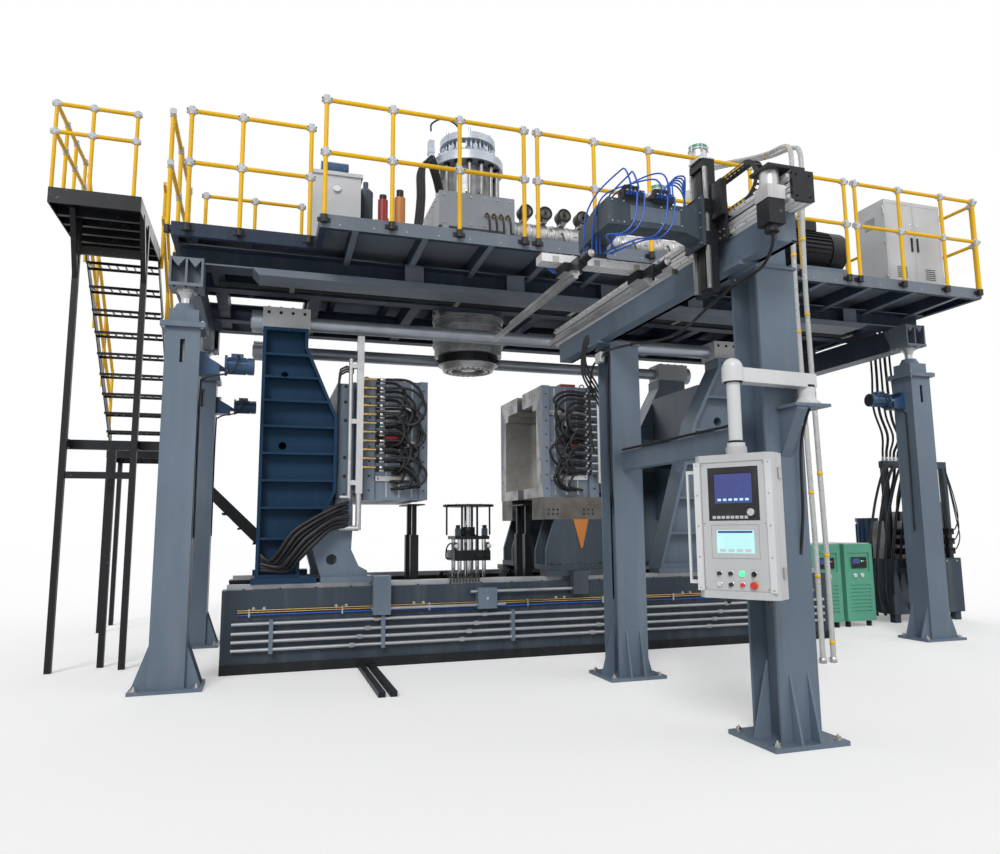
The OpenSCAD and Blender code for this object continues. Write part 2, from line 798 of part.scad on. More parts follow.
// The H-shaped bracket over one screw
module screw_bracket(x, y) {
    w = col_w;
    translate([x, y, beam_z]) {
        translate([-w / 2, -w / 2, 0]) cube([w, w, 30]);
        for (s = [-1, 1])
            translate([s * (w / 2 - 10) - 10, -w / 2 + 10, 30]) cube([20, w - 20, end_beam_h - 30]);
        translate([-w / 2 + 20, -10, 30]) cube([w - 40, 20, end_beam_h - 30]);
        translate([-10, -w / 2 + 20, 30]) cube([20, w / 2 - 30, end_beam_h - 30]);
        for (s = [-1, 1])
            translate([s * 75, -10, end_beam_h - 30]) rotate([90, 0, 0])
                linear_extrude(height = w / 2 - 30) polygon([[-70, 30], [70, 30], [0, -60]]);
    }
}

// Lifting screws that hang from the brackets into the columns
module jack_screws() {
    l = beam_z - col_h + lift + 260;
    color("silver") column_places() translate([0, 0, beam_z - l]) {
        cylinder(h = l, d = screw_d);
        translate([0, 0, l - 30]) cylinder(h = 30, d = screw_d + 90);
        translate([0, 0, l - 90]) cylinder(h = 60, d1 = screw_d, d2 = screw_d + 50);
    }
}

// Rail posts stand on lists of places along each edge
posts_left = [-3160, -2695, -2050];
posts_main = [[-1948, -1328, -673, -9], [135, 759, 1396, 2030, 2660, 3290, 3940],
    [4093, 4735, 5387, 5900]];
posts_back = [[-1900, -1270, -640, -10], [135, 759, 1396, 2030, 2660, 3290, 3940],
    [4093, 4735, 5387, 5900]];
rail_off = 36;

// Horizontal tubes of one straight rail along X
module rail_x(x0, x1, y) {
    for (h = [0.53, 1])
        rod_x(x0, x1, y, deck_z + rail_h * h, rail_d);
}

// Horizontal tubes of one straight rail along Y
module rail_y(x, y0, y1) {
    for (h = [0.53, 1])
        rod_y(x, y0, y1, deck_z + rail_h * h, rail_d);
}

// A rail post beside the deck edge with its two tube tees, turned by a
module post(x, y, a = 0) {
    translate([x, y, deck_z - 90]) cylinder(h = rail_h + 90, d = rail_d);
    for (h = [0.53, 1])
        translate([x, y, deck_z + rail_h * h]) rotate([0, 0, a]) {
            translate([0, 0, -38]) cylinder(h = 76, d = rail_d + 14);
            rod_x(-46, 46, 0, 0, rail_d + 14);
        }
}

// Yellow guard rails round the platform
module guard_rails() {
    yl = -front_left - rail_off;
    ym = -front_main - rail_off;
    yb = rear_main + rail_off;
    xl = -deck_left - rail_off;
    xr = deck_right + rail_off;
    color("gold") {
        for (x = posts_left)
            post(x, yl);
        rail_x(posts_left[0], posts_left[2], yl);
        for (s = posts_main) {
            for (x = s)
                post(x, ym);
            rail_x(s[0], s[len(s) - 1], ym);
        }
        for (s = posts_back) {
            for (x = s)
                post(x, yb);
            rail_x(s[0], s[len(s) - 1], yb);
        }
        for (x = [-3160, -2600, -2050])
            post(x, rear_left + rail_off);
        rail_x(-3160, -2050, rear_left + rail_off);
        for (y = [-front_left + 60, -800, rear_left - 60])
            post(xl, y, 90);
        rail_y(xl, -front_left + 60, rear_left - 60);
        for (y = [-front_main + 60, -1500])
            post(xr, y, 90);
        rail_y(xr, -front_main + 60, -1500);
        for (y = [-700, 0, 700, rear_main - 60])
            post(xr, y, 90);
        rail_y(xr, -700, rear_main - 60);
    }
}

// Black foot clamps that hold the rail posts to the edge channels
module rail_clamps() {
    yl = -front_left - rail_off;
    ym = -front_main - rail_off;
    yb = rear_main + rail_off;
    for (x = posts_left)
        clamp_set(x, yl, 0);
    for (s = posts_main)
        for (x = s)
            clamp_set(x, ym, 0);
    for (s = posts_back)
        for (x = s)
            clamp_set(x, yb, 180);
    for (x = [-3160, -2600, -2050])
        clamp_set(x, rear_left + rail_off, 180);
    for (y = [-front_left + 60, -800, rear_left - 60])
        clamp_set(-deck_left - rail_off, y, -90);
    for (y = [-front_main + 60, -1500, -700, 0, 700, rear_main - 60])
        clamp_set(deck_right + rail_off, y, 90);
}

// The foot clamp of one post, its jaw towards the deck edge
module clamp_set(x, y, a) {
    translate([x, y, 0]) rotate([0, 0, a]) {
        color("black") difference() {
            union() {
                translate([0, 0, deck_z - 95]) cylinder(h = 70, d = rail_d + 22);
                translate([-60, rail_off - 10, deck_z - 80]) cube([120, 10 - run, 40]);
                translate([-25, 0, deck_z - 80]) cube([50, rail_off - 5, 40]);
            }
            translate([0, 0, deck_z - 90]) cylinder(h = 90, d = rail_d + 2 * run);
        }
    }
}

// Accumulator head: die ring, heated lower cylinder, base block on legs, storage cylinder
module head_body() {
    y_in = barrel_d / 2 + 20;
    color("gray") difference() {
        union() {
            translate([0, 0, die_z]) cylinder(h = 70, d1 = die_bore + 200, d2 = die_bore + 270);
            translate([0, 0, die_z + 70]) cylinder(h = die_ring_h - 70, d = die_bore + 330);
            translate([0, 0, die_z + die_ring_h]) cylinder(h = plate_z - die_z - die_ring_h, d = 840);
            for (z = [die_z + die_ring_h + 120, die_z + die_ring_h + 420])
                translate([0, 0, z]) cylinder(h = 240, d = 880);
            translate([-480, -470, plate_z]) cube([960, 940, plate_h]);
            translate([-480, -470, ext_z - 190]) cube([960, 940, plate_z - ext_z + 190]);
            corners(800, 860) translate([-40, -40, deck_z + 15])
                cube([80, 80, plate_z - deck_z - 15]);
            for (s = [-1, 1])
                translate([-620, s * well - 140, deck_z]) cube([1240, 280, 15]);
            translate([0, 0, plate_z + plate_h]) cylinder(h = rods_h - run, d = head_d);
        }
        translate([0, 0, die_z - 1]) cylinder(h = 200, d = die_bore);
        translate([0, 0, die_z + 150]) cylinder(h = ring_z - die_z, d = 401);
        rod_x(400, 600, 0, ext_z, flight_d + 2 * run);
        rod_x(190, 600, 0, ext_z, 120);
    }
    color("black")
        for (a = [0:30:330])
            rotate([0, 0, a]) translate([die_bore / 2 + 100, 0, die_z + 70 + 45])
                rotate([0, 90, 0]) cylinder(h = 86, d = 30);
}

// Head top: tie rods, clamping flange, scalloped ring, upper ring on studs and the cap
module head_top() {
    rod_circle = (head_d + flange_d) / 2;
    color("silver")
        for (i = [0:head_rods - 1])
            rotate([0, 0, (i + 0.5) * 360 / head_rods]) translate([rod_circle / 2, 0, plate_z + plate_h])
                cylinder(h = rods_h, d = head_rod_d);
    color("gray") difference() {
        union() {
            translate([0, 0, ring_z]) cylinder(h = ring_h - 50, d = flange_d);
            translate([0, 0, ring_z + ring_h - 50]) cylinder(h = 50, d1 = flange_d, d2 = flange_d - 90);
            translate([0, 0, ring_z + ring_h]) cylinder(h = 160, d = 500);
            translate([0, 0, top_z]) cylinder(h = 90, d = 720);
            translate([0, 0, top_z + 90]) cylinder(h = 45, d1 = 720, d2 = 560);
            translate([0, 0, top_z + 135]) cylinder(h = 70, d1 = 330, d2 = 250);
            translate([0, 0, top_z + 205]) cylinder(h = 45, d = 150);
            for (i = [0:head_rods - 1])
                rotate([0, 0, i * 360 / head_rods])
                    translate([300, -26, ring_z + ring_h]) cube([90, 52, 70]);
        }
        translate([0, 0, ring_z - 1]) cylinder(h = top_z + 60 - ring_z, d = 401);
    }
    color("black")
        for (i = [0:2 * head_rods - 1])
            rotate([0, 0, i * 180 / head_rods + 5])
                translate([rod_circle / 2 - 80, 0, ring_z + ring_h]) cylinder(h = 160, d = 26);
    color("dimgray") {
        for (a = [20:60:320])
            rotate([0, 0, a]) translate([310, 0, top_z + 100]) cylinder(h = 60, d = 34);
        translate([-560, -170, ring_z + 30]) cube([250, 60, 14]);
        translate([-550, -190, ring_z + 44]) cube([70, 90, 90]);
        translate([-555, -195, ring_z + 134]) cube([80, 100, 60]);
    }
    color("whitesmoke") translate([-550, -190, ring_z + 194]) cube([70, 90, 110]);
}

// Mandrel that sets the die gap, with its rod up through the head
module die_mandrel() {
    color("silver") {
        translate([0, 0, die_z + 15]) cylinder(h = 30, d = 176);
        translate([0, 0, die_z + 45]) cylinder(h = 60, d = die_bore - 30);
        translate([0, 0, die_z + 105]) cylinder(h = 260, d1 = die_bore - 30, d2 = 170);
        translate([0, 0, die_z + 365]) cylinder(h = top_z - die_z - 365, d = 170);
    }
}

// Tubular piston that pushes the stored melt out of the head
module shot_piston() {
    low = ring_z - 520 - shot_stroke;
    color("silver") difference() {
        union() {
            translate([0, 0, low]) cylinder(h = 480, d = 400);
            translate([0, 0, low + 480]) cylinder(h = 300, d = 300);
        }
        translate([0, 0, low - 1]) cylinder(h = 800, d = 171);
    }
}

// Extruder barrel with heater bands, feed throat and cooling blowers
module extruder_barrel() {
    x0 = barrel_x;
    x1 = x0 + barrel_l;
    n = 5;
    pitch = 520;
    color("silver") difference() {
        union() {
            rod_x(x0, x1, 0, ext_z, barrel_d - 60);
            rod_x(x0, x0 + 60, 0, ext_z, barrel_d + 90);
            rod_x(x1 - 60, x1, 0, ext_z, barrel_d + 120);
            for (i = [0:n - 1])
                rod_x(x0 + 110 + i * pitch, x0 + 110 + i * pitch + pitch - 50, 0, ext_z, barrel_d);
            translate([feed_x - 110, -130, ext_z]) cube([220, 260, barrel_d / 2 + 60]);
        }
        rod_x(x0 - 1, x1 + 1, 0, ext_z, flight_d + 2 * run);
        translate([feed_x - 80, -80, ext_z]) cube([160, 160, barrel_d]);
    }
    color("black")
        for (i = [0:n - 1])
            translate([x0 + 250 + i * 265, -60, ext_z + barrel_d / 2 + 90]) blower();
    color("slategray")
        for (x = [x0 + 900, x0 + 2400])
            translate([x, -110, deck_z]) difference() {
                cube([120, 220, extruder_z - 40]);
                translate([-1, 110, extruder_z]) rotate([0, 90, 0]) cylinder(h = 140, d = barrel_d + run);
            }
}

// One radial blower with its intake ring and the duct down to the barrel
module blower() {
    difference() {
        rod_y(0, -150, -20, 0, 190);
        rod_y(0, -151, -130, 0, 150);
    }
    rod_y(0, -140, -30, 0, 60);
    rod_y(0, -20, 40, 0, 90);
    translate([-40, -90, -110]) cube([80, 120, 60]);
}

// Extruder gearbox, plinth and main motor
module extruder_drive() {
    x0 = barrel_x + barrel_l;
    color("slategray") {
        difference() {
            block([x0, -330, deck_z + 300], [x0 + 620, 330, ext_z + 320]);
            rod_x(x0 - 1, x0 + 160, 0, ext_z, flight_d - 50 + fit);
            for (s = [-1, 1])
                translate([x0 + 310, s * 330, ext_z + 320]) rotate([45, 0, 0])
                    cube([700, 90, 90], center = true);
        }
        block([x0 - 60, -360, deck_z], [x0 + 1860, 360, deck_z + 300]);
        block([x0 + 760, -300, deck_z + 300], [x0 + 1780, 300, deck_z + 860]);
        rod_x(x0 + 620, x0 + 800, 0, ext_z + 230, 240);
    }
    color("black") {
        rod_x(x0 + 800, x0 + 1500, 0, ext_z + 230, 600);
        rod_x(x0 + 1500, x0 + 1760, 0, ext_z + 230, 640);
        for (a = [0:12:348])
            translate([x0 + 840, 0, ext_z + 230]) rotate([a, 0, 0]) translate([0, -5, 290])
                cube([640, 10, 34]);
        translate([x0 + 950, -200, ext_z + 500]) cube([360, 400, 150]);
    }
}

// Screw inside the barrel: root shaft with one helical flight
module extruder_screw() {
    turns = 14;
    color("silver") translate([barrel_x - 10, 0, ext_z]) rotate([0, 90, 0]) {
        cylinder(h = barrel_l + 150, d = flight_d - 50);
        linear_extrude(height = barrel_l - 270, twist = -360 * turns, slices = turns * 10, $fn = 4)
            polygon([[-10, 30], [10, 30], [7, flight_d / 2 - 0.5], [-7, flight_d / 2 - 0.5]]);
    }
}

// Vacuum loaders with green lids over the feed throat and a side hopper
module material_loaders() {
    z1 = ext_z + barrel_d / 2 + 60;
    x2 = feed_x - 690;
    color("silver") {
        translate([feed_x, 0, z1 + 40]) cylinder(h = 340, d1 = 200, d2 = 500);
        translate([feed_x, 0, z1 + 380]) cylinder(h = 330, d = 500);
        translate([feed_x, 0, z1]) cylinder(h = 40, d = 240);
        translate([feed_x, 0, z1 + 710]) cylinder(h = 650, d = 250);
        translate([x2, 0, z1 + 130]) cylinder(h = 520, d = 220);
        translate([x2, 0, z1]) cylinder(h = 130, d1 = 90, d2 = 220);
        translate([x2 - 40, -40, ext_z + barrel_d / 2 + run]) cube([80, 80, 60 - run]);
        for (i = [0, 1])
            rod_x(feed_x, feed_route[0][0], feed_route[0][1] + i * feed_pitch[1], feed_route[0][2], feed_d);
    }
    color("mediumseagreen") {
        translate([feed_x, 0, z1 + 1360]) cylinder(h = 60, d = 270);
        translate([feed_x, 0, z1 + 1420]) cylinder(h = 40, d1 = 270, d2 = 120);
        translate([x2, 0, z1 + 650]) cylinder(h = 60, d = 240);
    }
}

// Hydraulic unit of the head: pale tank, accumulator bottle, motor and filters on the deck
module head_power_unit() {
    z = deck_z;
    color("gainsboro") {
        block([-2000, -1000, z + 60], [-1480, -500, z + 950]);
        block([-2020, -1020, z + 950], [-1460, -480, z + 990]);
        for (x = [-1980, -1540])
            for (y = [-980, -560])
                block([x, y, z], [x + 40, y + 40, z + 60]);
    }
    color("dimgray") {
        block([-1460, -1000, z], [-900, -500, z + 420]);
        translate([-1380, -600, z + 420]) cylinder(h = 560, d = 170);
        translate([-1380, -600, z + 980]) cylinder(h = 60, d1 = 170, d2 = 60);
        translate([-1380, -600, z + 1040]) cylinder(h = 60, d = 60);
        translate([-1180, -760, z + 420]) cylinder(h = 90, d = 150);
    }
    color("darkgreen") {
        rod_x(-1900, -1600, -750, z + 1120, 190);
        block([-1880, -830, z + 990], [-1620, -670, z + 1060]);
    }
    color("firebrick")
        translate([-1230, -950, z + 420]) cylinder(h = 330, d = 110);
    color("orangered")
        translate([-1040, -950, z + 420]) cylinder(h = 380, d = 120);
    color("black") {
        translate([-1040, -950, z + 800]) cylinder(h = 90, d = 80);
        translate([-1230, -950, z + 750]) cylinder(h = 60, d = 80);
    }
}

// Electrical cabinet shell, open at the front behind its two doors
cab_x0 = 5010;
cab_x1 = 5910;
cab_y0 = -1700;
cab_y1 = -1250;
cab_h = 1250;
cab_t = 3;
cab_plinth = 100;

module electrical_cabinet() {
    z0 = deck_z + cab_plinth;
    z1 = deck_z + cab_h;
    color("gainsboro") difference() {
        block([cab_x0, cab_y0, z0], [cab_x1, cab_y1, z1]);
        block([cab_x0 + cab_t, cab_y0 - 1, z0 + cab_t], [cab_x1 - cab_t, cab_y1 - cab_t, z1 - cab_t]);
        for (i = [0:5])
            block([cab_x0 - 1, cab_y0 + 140, z1 - 330 + i * 26], [cab_x0 + cab_t + 1, cab_y0 + 310,
                z1 - 320 + i * 26]);
    }
    color("dimgray")
        block([cab_x0 + 10, cab_y0 + 20, deck_z], [cab_x1 - 10, cab_y1 - 10, z0]);
    color("gray")
        block([cab_x0 + 60, cab_y1 - 30, z0 + 80], [cab_x1 - 60, cab_y1 - cab_t, z1 - 80]);
}

// One door of the cabinet, s = 1 hinged at the left and s = -1 at the right
module cabinet_door(s) {
    w = (cab_x1 - cab_x0) / 2 - 3;
    z0 = deck_z + cab_plinth;
    z1 = deck_z + cab_h;
    xh = s > 0 ? cab_x0 : cab_x1;
    translate([xh, cab_y0 - run, 0]) mirror([s < 0 ? 1 : 0, 0, 0]) {
        color("gainsboro") difference() {
            block([0, -20, z0 + 2], [w, 0, z1 - 2]);
            block([2, -18, z0 + 4], [w - 2, 1, z1 - 4]);
            for (i = [0:5])
                block([w / 2 - 80, -21, z0 + 130 + i * 26], [w / 2 + 80, -17, z0 + 142 + i * 26]);
        }
        color("gainsboro")
            for (z = [z0 + 120, z1 - 200]) {
                translate([-9, -11.7, z]) cylinder(h = 80, d = 14);
                block([-9, -18.7, z], [1, -8, z + 80]);
            }
        color("black")
            block([w - 55, -34, (z0 + z1) / 2 - 90], [w - 30, -20, (z0 + z1) / 2 + 90]);
    }
}

module cabinet_door_left() {
    cabinet_door(1);
}

module cabinet_door_right() {
    cabinet_door(-1);
}

// Outline of the left frame in X and Z, drawn inwards by t
module left_outline(t) {
    z0 = carriage_z;
    polygon([[-frame_back + t, z0 + t], [-frame_back + t, tie_z - 100 - t],
        [-frame_back + 460 - t, tie_z - 100 - t], [-frame_back + 460 - t, tie_z - 300],
        [-platen_back - t, 2560 - t * 0.1], [-platen_back - t, 1780 + t * 0.1],
        [-frame_back + 430 - t, z0 + 180], [-frame_back + 430 - t, z0 + t]]);
}

// Left outer frame: two ribbed side beams, cross web, caps for the tie bars and shoes
module left_strongback() {
    z0 = carriage_z;
    y1 = tie_y + 200;
    color("steelblue") {
        for (s = [-1, 1])
            mirror([0, s > 0 ? 1 : 0, 0]) difference() {
                slab_y(-y1, -y1 + 300) left_outline(0);
                slab_y(-y1 - 1, -y1 + 120) left_pockets();
                for (z = [2260, 3010])
                    rod_y(-frame_back + 230, -y1 - 2, -y1 + 310, z, 80);
                slab_y(-y1 + 150, -y1 + 301) left_outline(40);
            }
        block([-platen_back - 60, -y1 + 300, 1780], [-platen_back - 20, y1 - 300, 2560]);
        block([-frame_back, -y1 + 300, 1500], [-frame_back + 40, y1 - 300, 3300]);
        for (s = [-1, 1])
            block([-frame_back - 40, s * guide_y - 120, shoe_z], [-frame_back + 600, s * guide_y + 120, z0]);
    }
    color("lightgray")
        for (s = [-1, 1])
            difference() {
                block([-frame_back - 8, s * tie_y - 150, tie_z - 100], [-frame_back + 478, s * tie_y + 150,
                    tie_z + 130]);
                rod_x(-frame_back - 20, -frame_back + 500, s * tie_y, tie_z, tie_d + run);
            }
}

// Pockets between the horizontal ribs of the left side beams
module left_pockets() {
    levels = [900, 1290, 1600, 1880, 2160, 2440, 2710, 2960, 3200, 3480];
    intersection() {
        left_outline(34);
        for (i = [0:len(levels) - 2])
            translate([-3000, levels[i] + 24]) square([1600, levels[i + 1] - levels[i] - 24]);
    }
}

// Left mould platen, cast pedestals and the water manifold with its nipples
module left_platen() {
    y1 = mould_y / 2;
    color("slategray") {
        block([-platen_back, -y1, platen_z], [-platen_x, y1, platen_z + platen_h]);
        block([-platen_x, -y1 + 100, mould_z + 60], [-mould_back, y1 - 100, mould_z + mould_h - 60]);
        for (s = [-1, 1])
            mirror([0, s > 0 ? 1 : 0, 0]) slab_y(-y1 - 60, -y1 + 200) difference() {
                polygon([[-platen_back, platen_z], [-platen_back - 20, 1500], [-frame_back + 540, 1250],
                    [-frame_back + 640, carriage_z], [-1330, carriage_z], [-1330, 960],
                    [-1420, 1010], [-1500, 1180], [-platen_x, 1400], [-platen_x, platen_z]]);
                translate([-1700, 1080]) circle(d = 110);
            }
        for (s = [-1, 1])
            block([-frame_back + 640, s * guide_y - 120, shoe_z], [-1290, s * guide_y + 120, carriage_z]);
        sync_arm(-1, -1290);
    }
    color("lightgray") {
        y = -y1 - 110;
        translate([-platen_x + 50, y, 1760]) translate([-35, -35, 0]) cube([70, 70, 1690]);
        translate([-platen_x + 50, y, 1380]) cylinder(h = 380, d = 60);
        translate([-platen_x - 50, y, 1700]) cylinder(h = 1500, d = 44);
        rod_x(-platen_x - 150, -platen_x + 50, y - 40, 1400, 56);
        rod_x(-platen_x - 150, -platen_x - 50, y - 40, 1720, 44);
        for (z = [1850, 2500, 3100])
            block([-platen_x - 40, y + 35, z], [-platen_x - 10, -y1, z + 50]);
        for (z = [1850, 2500, 3100])
            block([-platen_x - 40, y - 20, z], [-platen_x + 20, y + 40, z + 50]);
    }
    color("gold")
        for (i = [0:hose_n - 1])
            rod_x(-platen_x + 85, -platen_x + 125, -y1 - 110, hose_z + i * hose_pitch, 34);
    color("silver")
        for (i = [0:hose_n - 1])
            rod_x(-platen_x + 125, -platen_x + 225, -y1 - 110, hose_z + i * hose_pitch, 26);
}

// The arm that reaches over the bed's edge and holds one rack bar
module sync_arm(s, x) {
    z = gear_z + s * rack_z;
    difference() {
        union() {
            block([x, gear_y - 55, z - 60], [x + 180, -bed_y - 4, carriage_z - 20]);
            block([x, gear_y - 55, shoe_z], [x + 180, -guide_y - 115, carriage_z]);
        }
        rod_x(x - 5, x + 185, gear_y, z, rack_d + run);
        if (s < 0)
            rod_x(x - 5, x + 185, gear_y, gear_z + rack_z, rack_d + 6 * gap);
    }
}

// One mould half: cast block with cavity, frame, dowels, side plates and lifting eyes
module mould_half() {
    y1 = mould_y / 2;
    d = 470;
    color("gray") difference() {
        union() {
            translate([mould_x - 120, -y1, 0]) cube([120, mould_y, mould_h]);
            translate([0, -y1 + 40, 0]) cube([mould_x - 120, mould_y - 80, mould_h]);
            translate([0, -y1, 0]) cube([90, mould_y, mould_h]);
        }
        mould_cavity(d);
        translate([-1, 0, mould_h - 200]) slab_y(-100, 100) square([240, 201]);
        translate([-1, -110, -1]) cube([140, 220, 130]);
    }
    color("firebrick") {
        translate([260, -y1 + 60, mould_h]) cube([190, 160, 36]);
        translate([260, -y1 + 8, 590]) cube([200, 32, 110]);
    }
    color("silver")
        for (z = [90, mould_h - 90])
            for (y = [-y1 + 60, y1 - 60])
                translate([30, y, z]) rotate([0, 90, 0]) cylinder(h = 61, d = 60);
    color("dimgray")
        for (y = [-y1 + 300, y1 - 300])
            translate([mould_x - 60, y, mould_h]) eye_bolt();
}

// Room of the product in one half, with round vertical edges
module mould_cavity(d) {
    r = 120;
    w = 1180;
    h = 1000;
    translate([0, 0, 120]) union() {
        translate([-1, -w / 2 + r, 0]) cube([d + 1, w - 2 * r, h - 80]);
        translate([-1, -w / 2, 0]) cube([d + 1 - r, w, h - 80]);
        for (s = [-1, 1])
            translate([d - r, s * (w / 2 - r), 0]) cylinder(h = h - 80, r = r);
        translate([-1, -w / 2 + r, 0]) cube([d + 1 - r, w - 2 * r, h]);
    }
}

// A lifting eye standing on z = 0
module eye_bolt() {
    cylinder(h = 24, d = 50);
    translate([0, 0, 54]) rotate([90, 0, 0]) rotate_extrude() translate([30, 0]) circle(d = 16);
    translate([0, 0, 20]) cylinder(h = 12, d = 20);
}

module left_mould() {
    translate([-mould_open, 0, mould_z - 40]) mirror([1, 0, 0]) mould_half();
}

module right_mould() {
    translate([mould_open, 0, mould_z]) mould_half();
}

// Lean of the hose loops away from the mould, which keeps each one clear of the next
hose_lean = 20;
hose_d = 30;
hose_bend = 45;
hose_z = 2040;
hose_n = 11;
hose_pitch = 95;
hose_pitch_right = 92;

// A hose loop: out along X by a, a half turn of radius r, back by b and in by c to the mould
module hose_loop(a, r, b, c) {
    rotate([0, 90, 0]) cylinder(h = a, d = hose_d);
    translate([a, 0, -r]) rotate([90, 0, 0]) rotate([0, 0, -90]) rotate_extrude(angle = 180)
        translate([r, 0]) circle(d = hose_d);
    translate([a - b, 0, -2 * r]) rotate([0, 90, 0]) cylinder(h = b, d = hose_d);
    translate([a - b, hose_bend, -2 * r]) rotate([0, 0, 180]) rotate_extrude(angle = 90)
        translate([hose_bend, 0]) circle(d = hose_d);
    translate([a - b - hose_bend, hose_bend, -2 * r]) rotate([-90, 0, 0]) cylinder(h = c, d = hose_d);
}

// A row of hose loops at one pitch, from nipples that stand off the mould's side by far
module hose_row(n, pitch, far) {
    r = 1.25 * pitch * cos(hose_lean);
    c = (far + 2 * r * sin(hose_lean) - run - hose_d / 2 * sin(hose_lean)) / cos(hose_lean) - hose_bend;
    for (i = [0:n - 1])
        translate([0, 0, i * pitch]) rotate([-hose_lean, 0, 0])
            hose_loop(240 + 70 * (i * 5 % 4), r, 130 + 70 * (i * 5 % 4) - 30 * (i % 3), c);
}

// Water hoses of the left mould and the feed hoses of its manifold
module left_hoses() {
    y1 = mould_y / 2;
    y = -y1 - 110;
    color("black") {
        translate([-platen_x + 225, y, hose_z]) hose_row(hose_n, hose_pitch, 150);
        feed_hose(-platen_x - 150, y - 40, 1400, 56);
        feed_hose(-platen_x - 150, y - 40, 1720, 44);
    }
}

// A thick hose that leaves a manifold elbow to the left and drops to the foot of the frame
module feed_hose(x, y, z, d) {
    translate([x, y, z - 260]) rotate([90, 0, 0]) rotate([0, 0, 90]) rotate_extrude(angle = 58)
        translate([260, 0]) circle(d = d);
}

// Hoses of the right mould from its manifold to the block
module right_hoses() {
    color("black") translate([mould_back - 120, -mould_y / 2 - 70, hose_z]) mirror([1, 0, 0])
        hose_row(hose_n, hose_pitch_right, 110);
}

// Right outer frame: two ribbed side beams, cross plate for the cylinder, caps and shoes
module right_outer_frame() {
    z0 = carriage_z;
    y1 = tie_y + 200;
    color("dimgray") {
        for (s = [-1, 1])
            mirror([0, s > 0 ? 1 : 0, 0]) difference() {
                slab_y(-y1, -y1 + 300) right_outline(0);
                slab_y(-y1 - 1, -y1 + 120) right_pockets();
                for (z = [1500, 2700])
                    rod_y(3050, -y1 - 2, -y1 + 310, z, 110);
            }
        difference() {
            block([2900, -y1 + 300, 1500], [3000, y1 - 300, 3200]);
            rod_x(2890, 3010, 0, cyl_z, cyl_d + run);
        }
        for (s = [-1, 1])
            block([2060, s * guide_y - 120, shoe_z], [3500, s * guide_y + 120, z0]);
    }
    color("gray")
        for (s = [-1, 1])
            difference() {
                block([3010, s * tie_y - 150, tie_z - 100], [3470, s * tie_y + 150, tie_z + 130]);
                rod_x(3000, 3480, s * tie_y, tie_z, tie_d + run);
            }
}

// Outline of the right frame in X and Z, drawn inwards by t
module right_outline(t) {
    z0 = carriage_z;
    polygon([[2100 + t, z0 + t], [2640 + t, 2680], [3020 + t, 3380], [3020 + t, tie_z - 100 - t],
        [3450 - t, tie_z - 100 - t], [3450 - t, z0 + t]]);
}

// Pockets between the ribs of the right side beams
module right_pockets() {
    levels = [880, 1300, 1720, 2140, 2560, 2980, 3480];
    intersection() {
        right_outline(50);
        for (i = [0:len(levels) - 2])
            translate([1900, levels[i] + 30]) square([1700, levels[i + 1] - levels[i] - 30]);
    }
}

// Tie bars from frame to frame with their nuts at both ends
module tie_bars() {
    color("slategray")
        for (s = [-1, 1]) {
            rod_x(-frame_back - 130, 3560, s * tie_y, tie_z, tie_d);
            rod_x(-frame_back - 118, -frame_back - 8, s * tie_y, tie_z, tie_d + 90);
            rod_x(3470, 3550, s * tie_y, tie_z, tie_d + 90);
        }
}

// Clamp cylinder barrel with its mounting flange, open towards the rod
module clamp_cylinder() {
    color("gray") difference() {
        union() {
            rod_x(2250, 4020, 0, cyl_z, cyl_d);
            rod_x(3000, 3060, 0, cyl_z, cyl_d + 180);
            rod_x(2250, 2330, 0, cyl_z, cyl_d + 60);
        }
        rod_x(2330, 3980, 0, cyl_z, cyl_bore);
        rod_x(2200, 2340, 0, cyl_z, rod_d + run);
        for (a = [0:45:315])
            translate([2990, 0, cyl_z]) rotate([a, 0, 0]) translate([0, 0, cyl_d / 2 + 50])
                rotate([0, 90, 0]) cylinder(h = 80, d = 28);
    }
}

// Piston rod between the right platen and the clamp cylinder
module clamp_rod() {
    color("silver") {
        rod_x(platen_back + 40, 3900, 0, cyl_z, rod_d);
        rod_x(3820, 3940, 0, cyl_z, cyl_bore - 1);
        rod_x(platen_back, platen_back + 60, 0, cyl_z, rod_d + 140);
    }
}

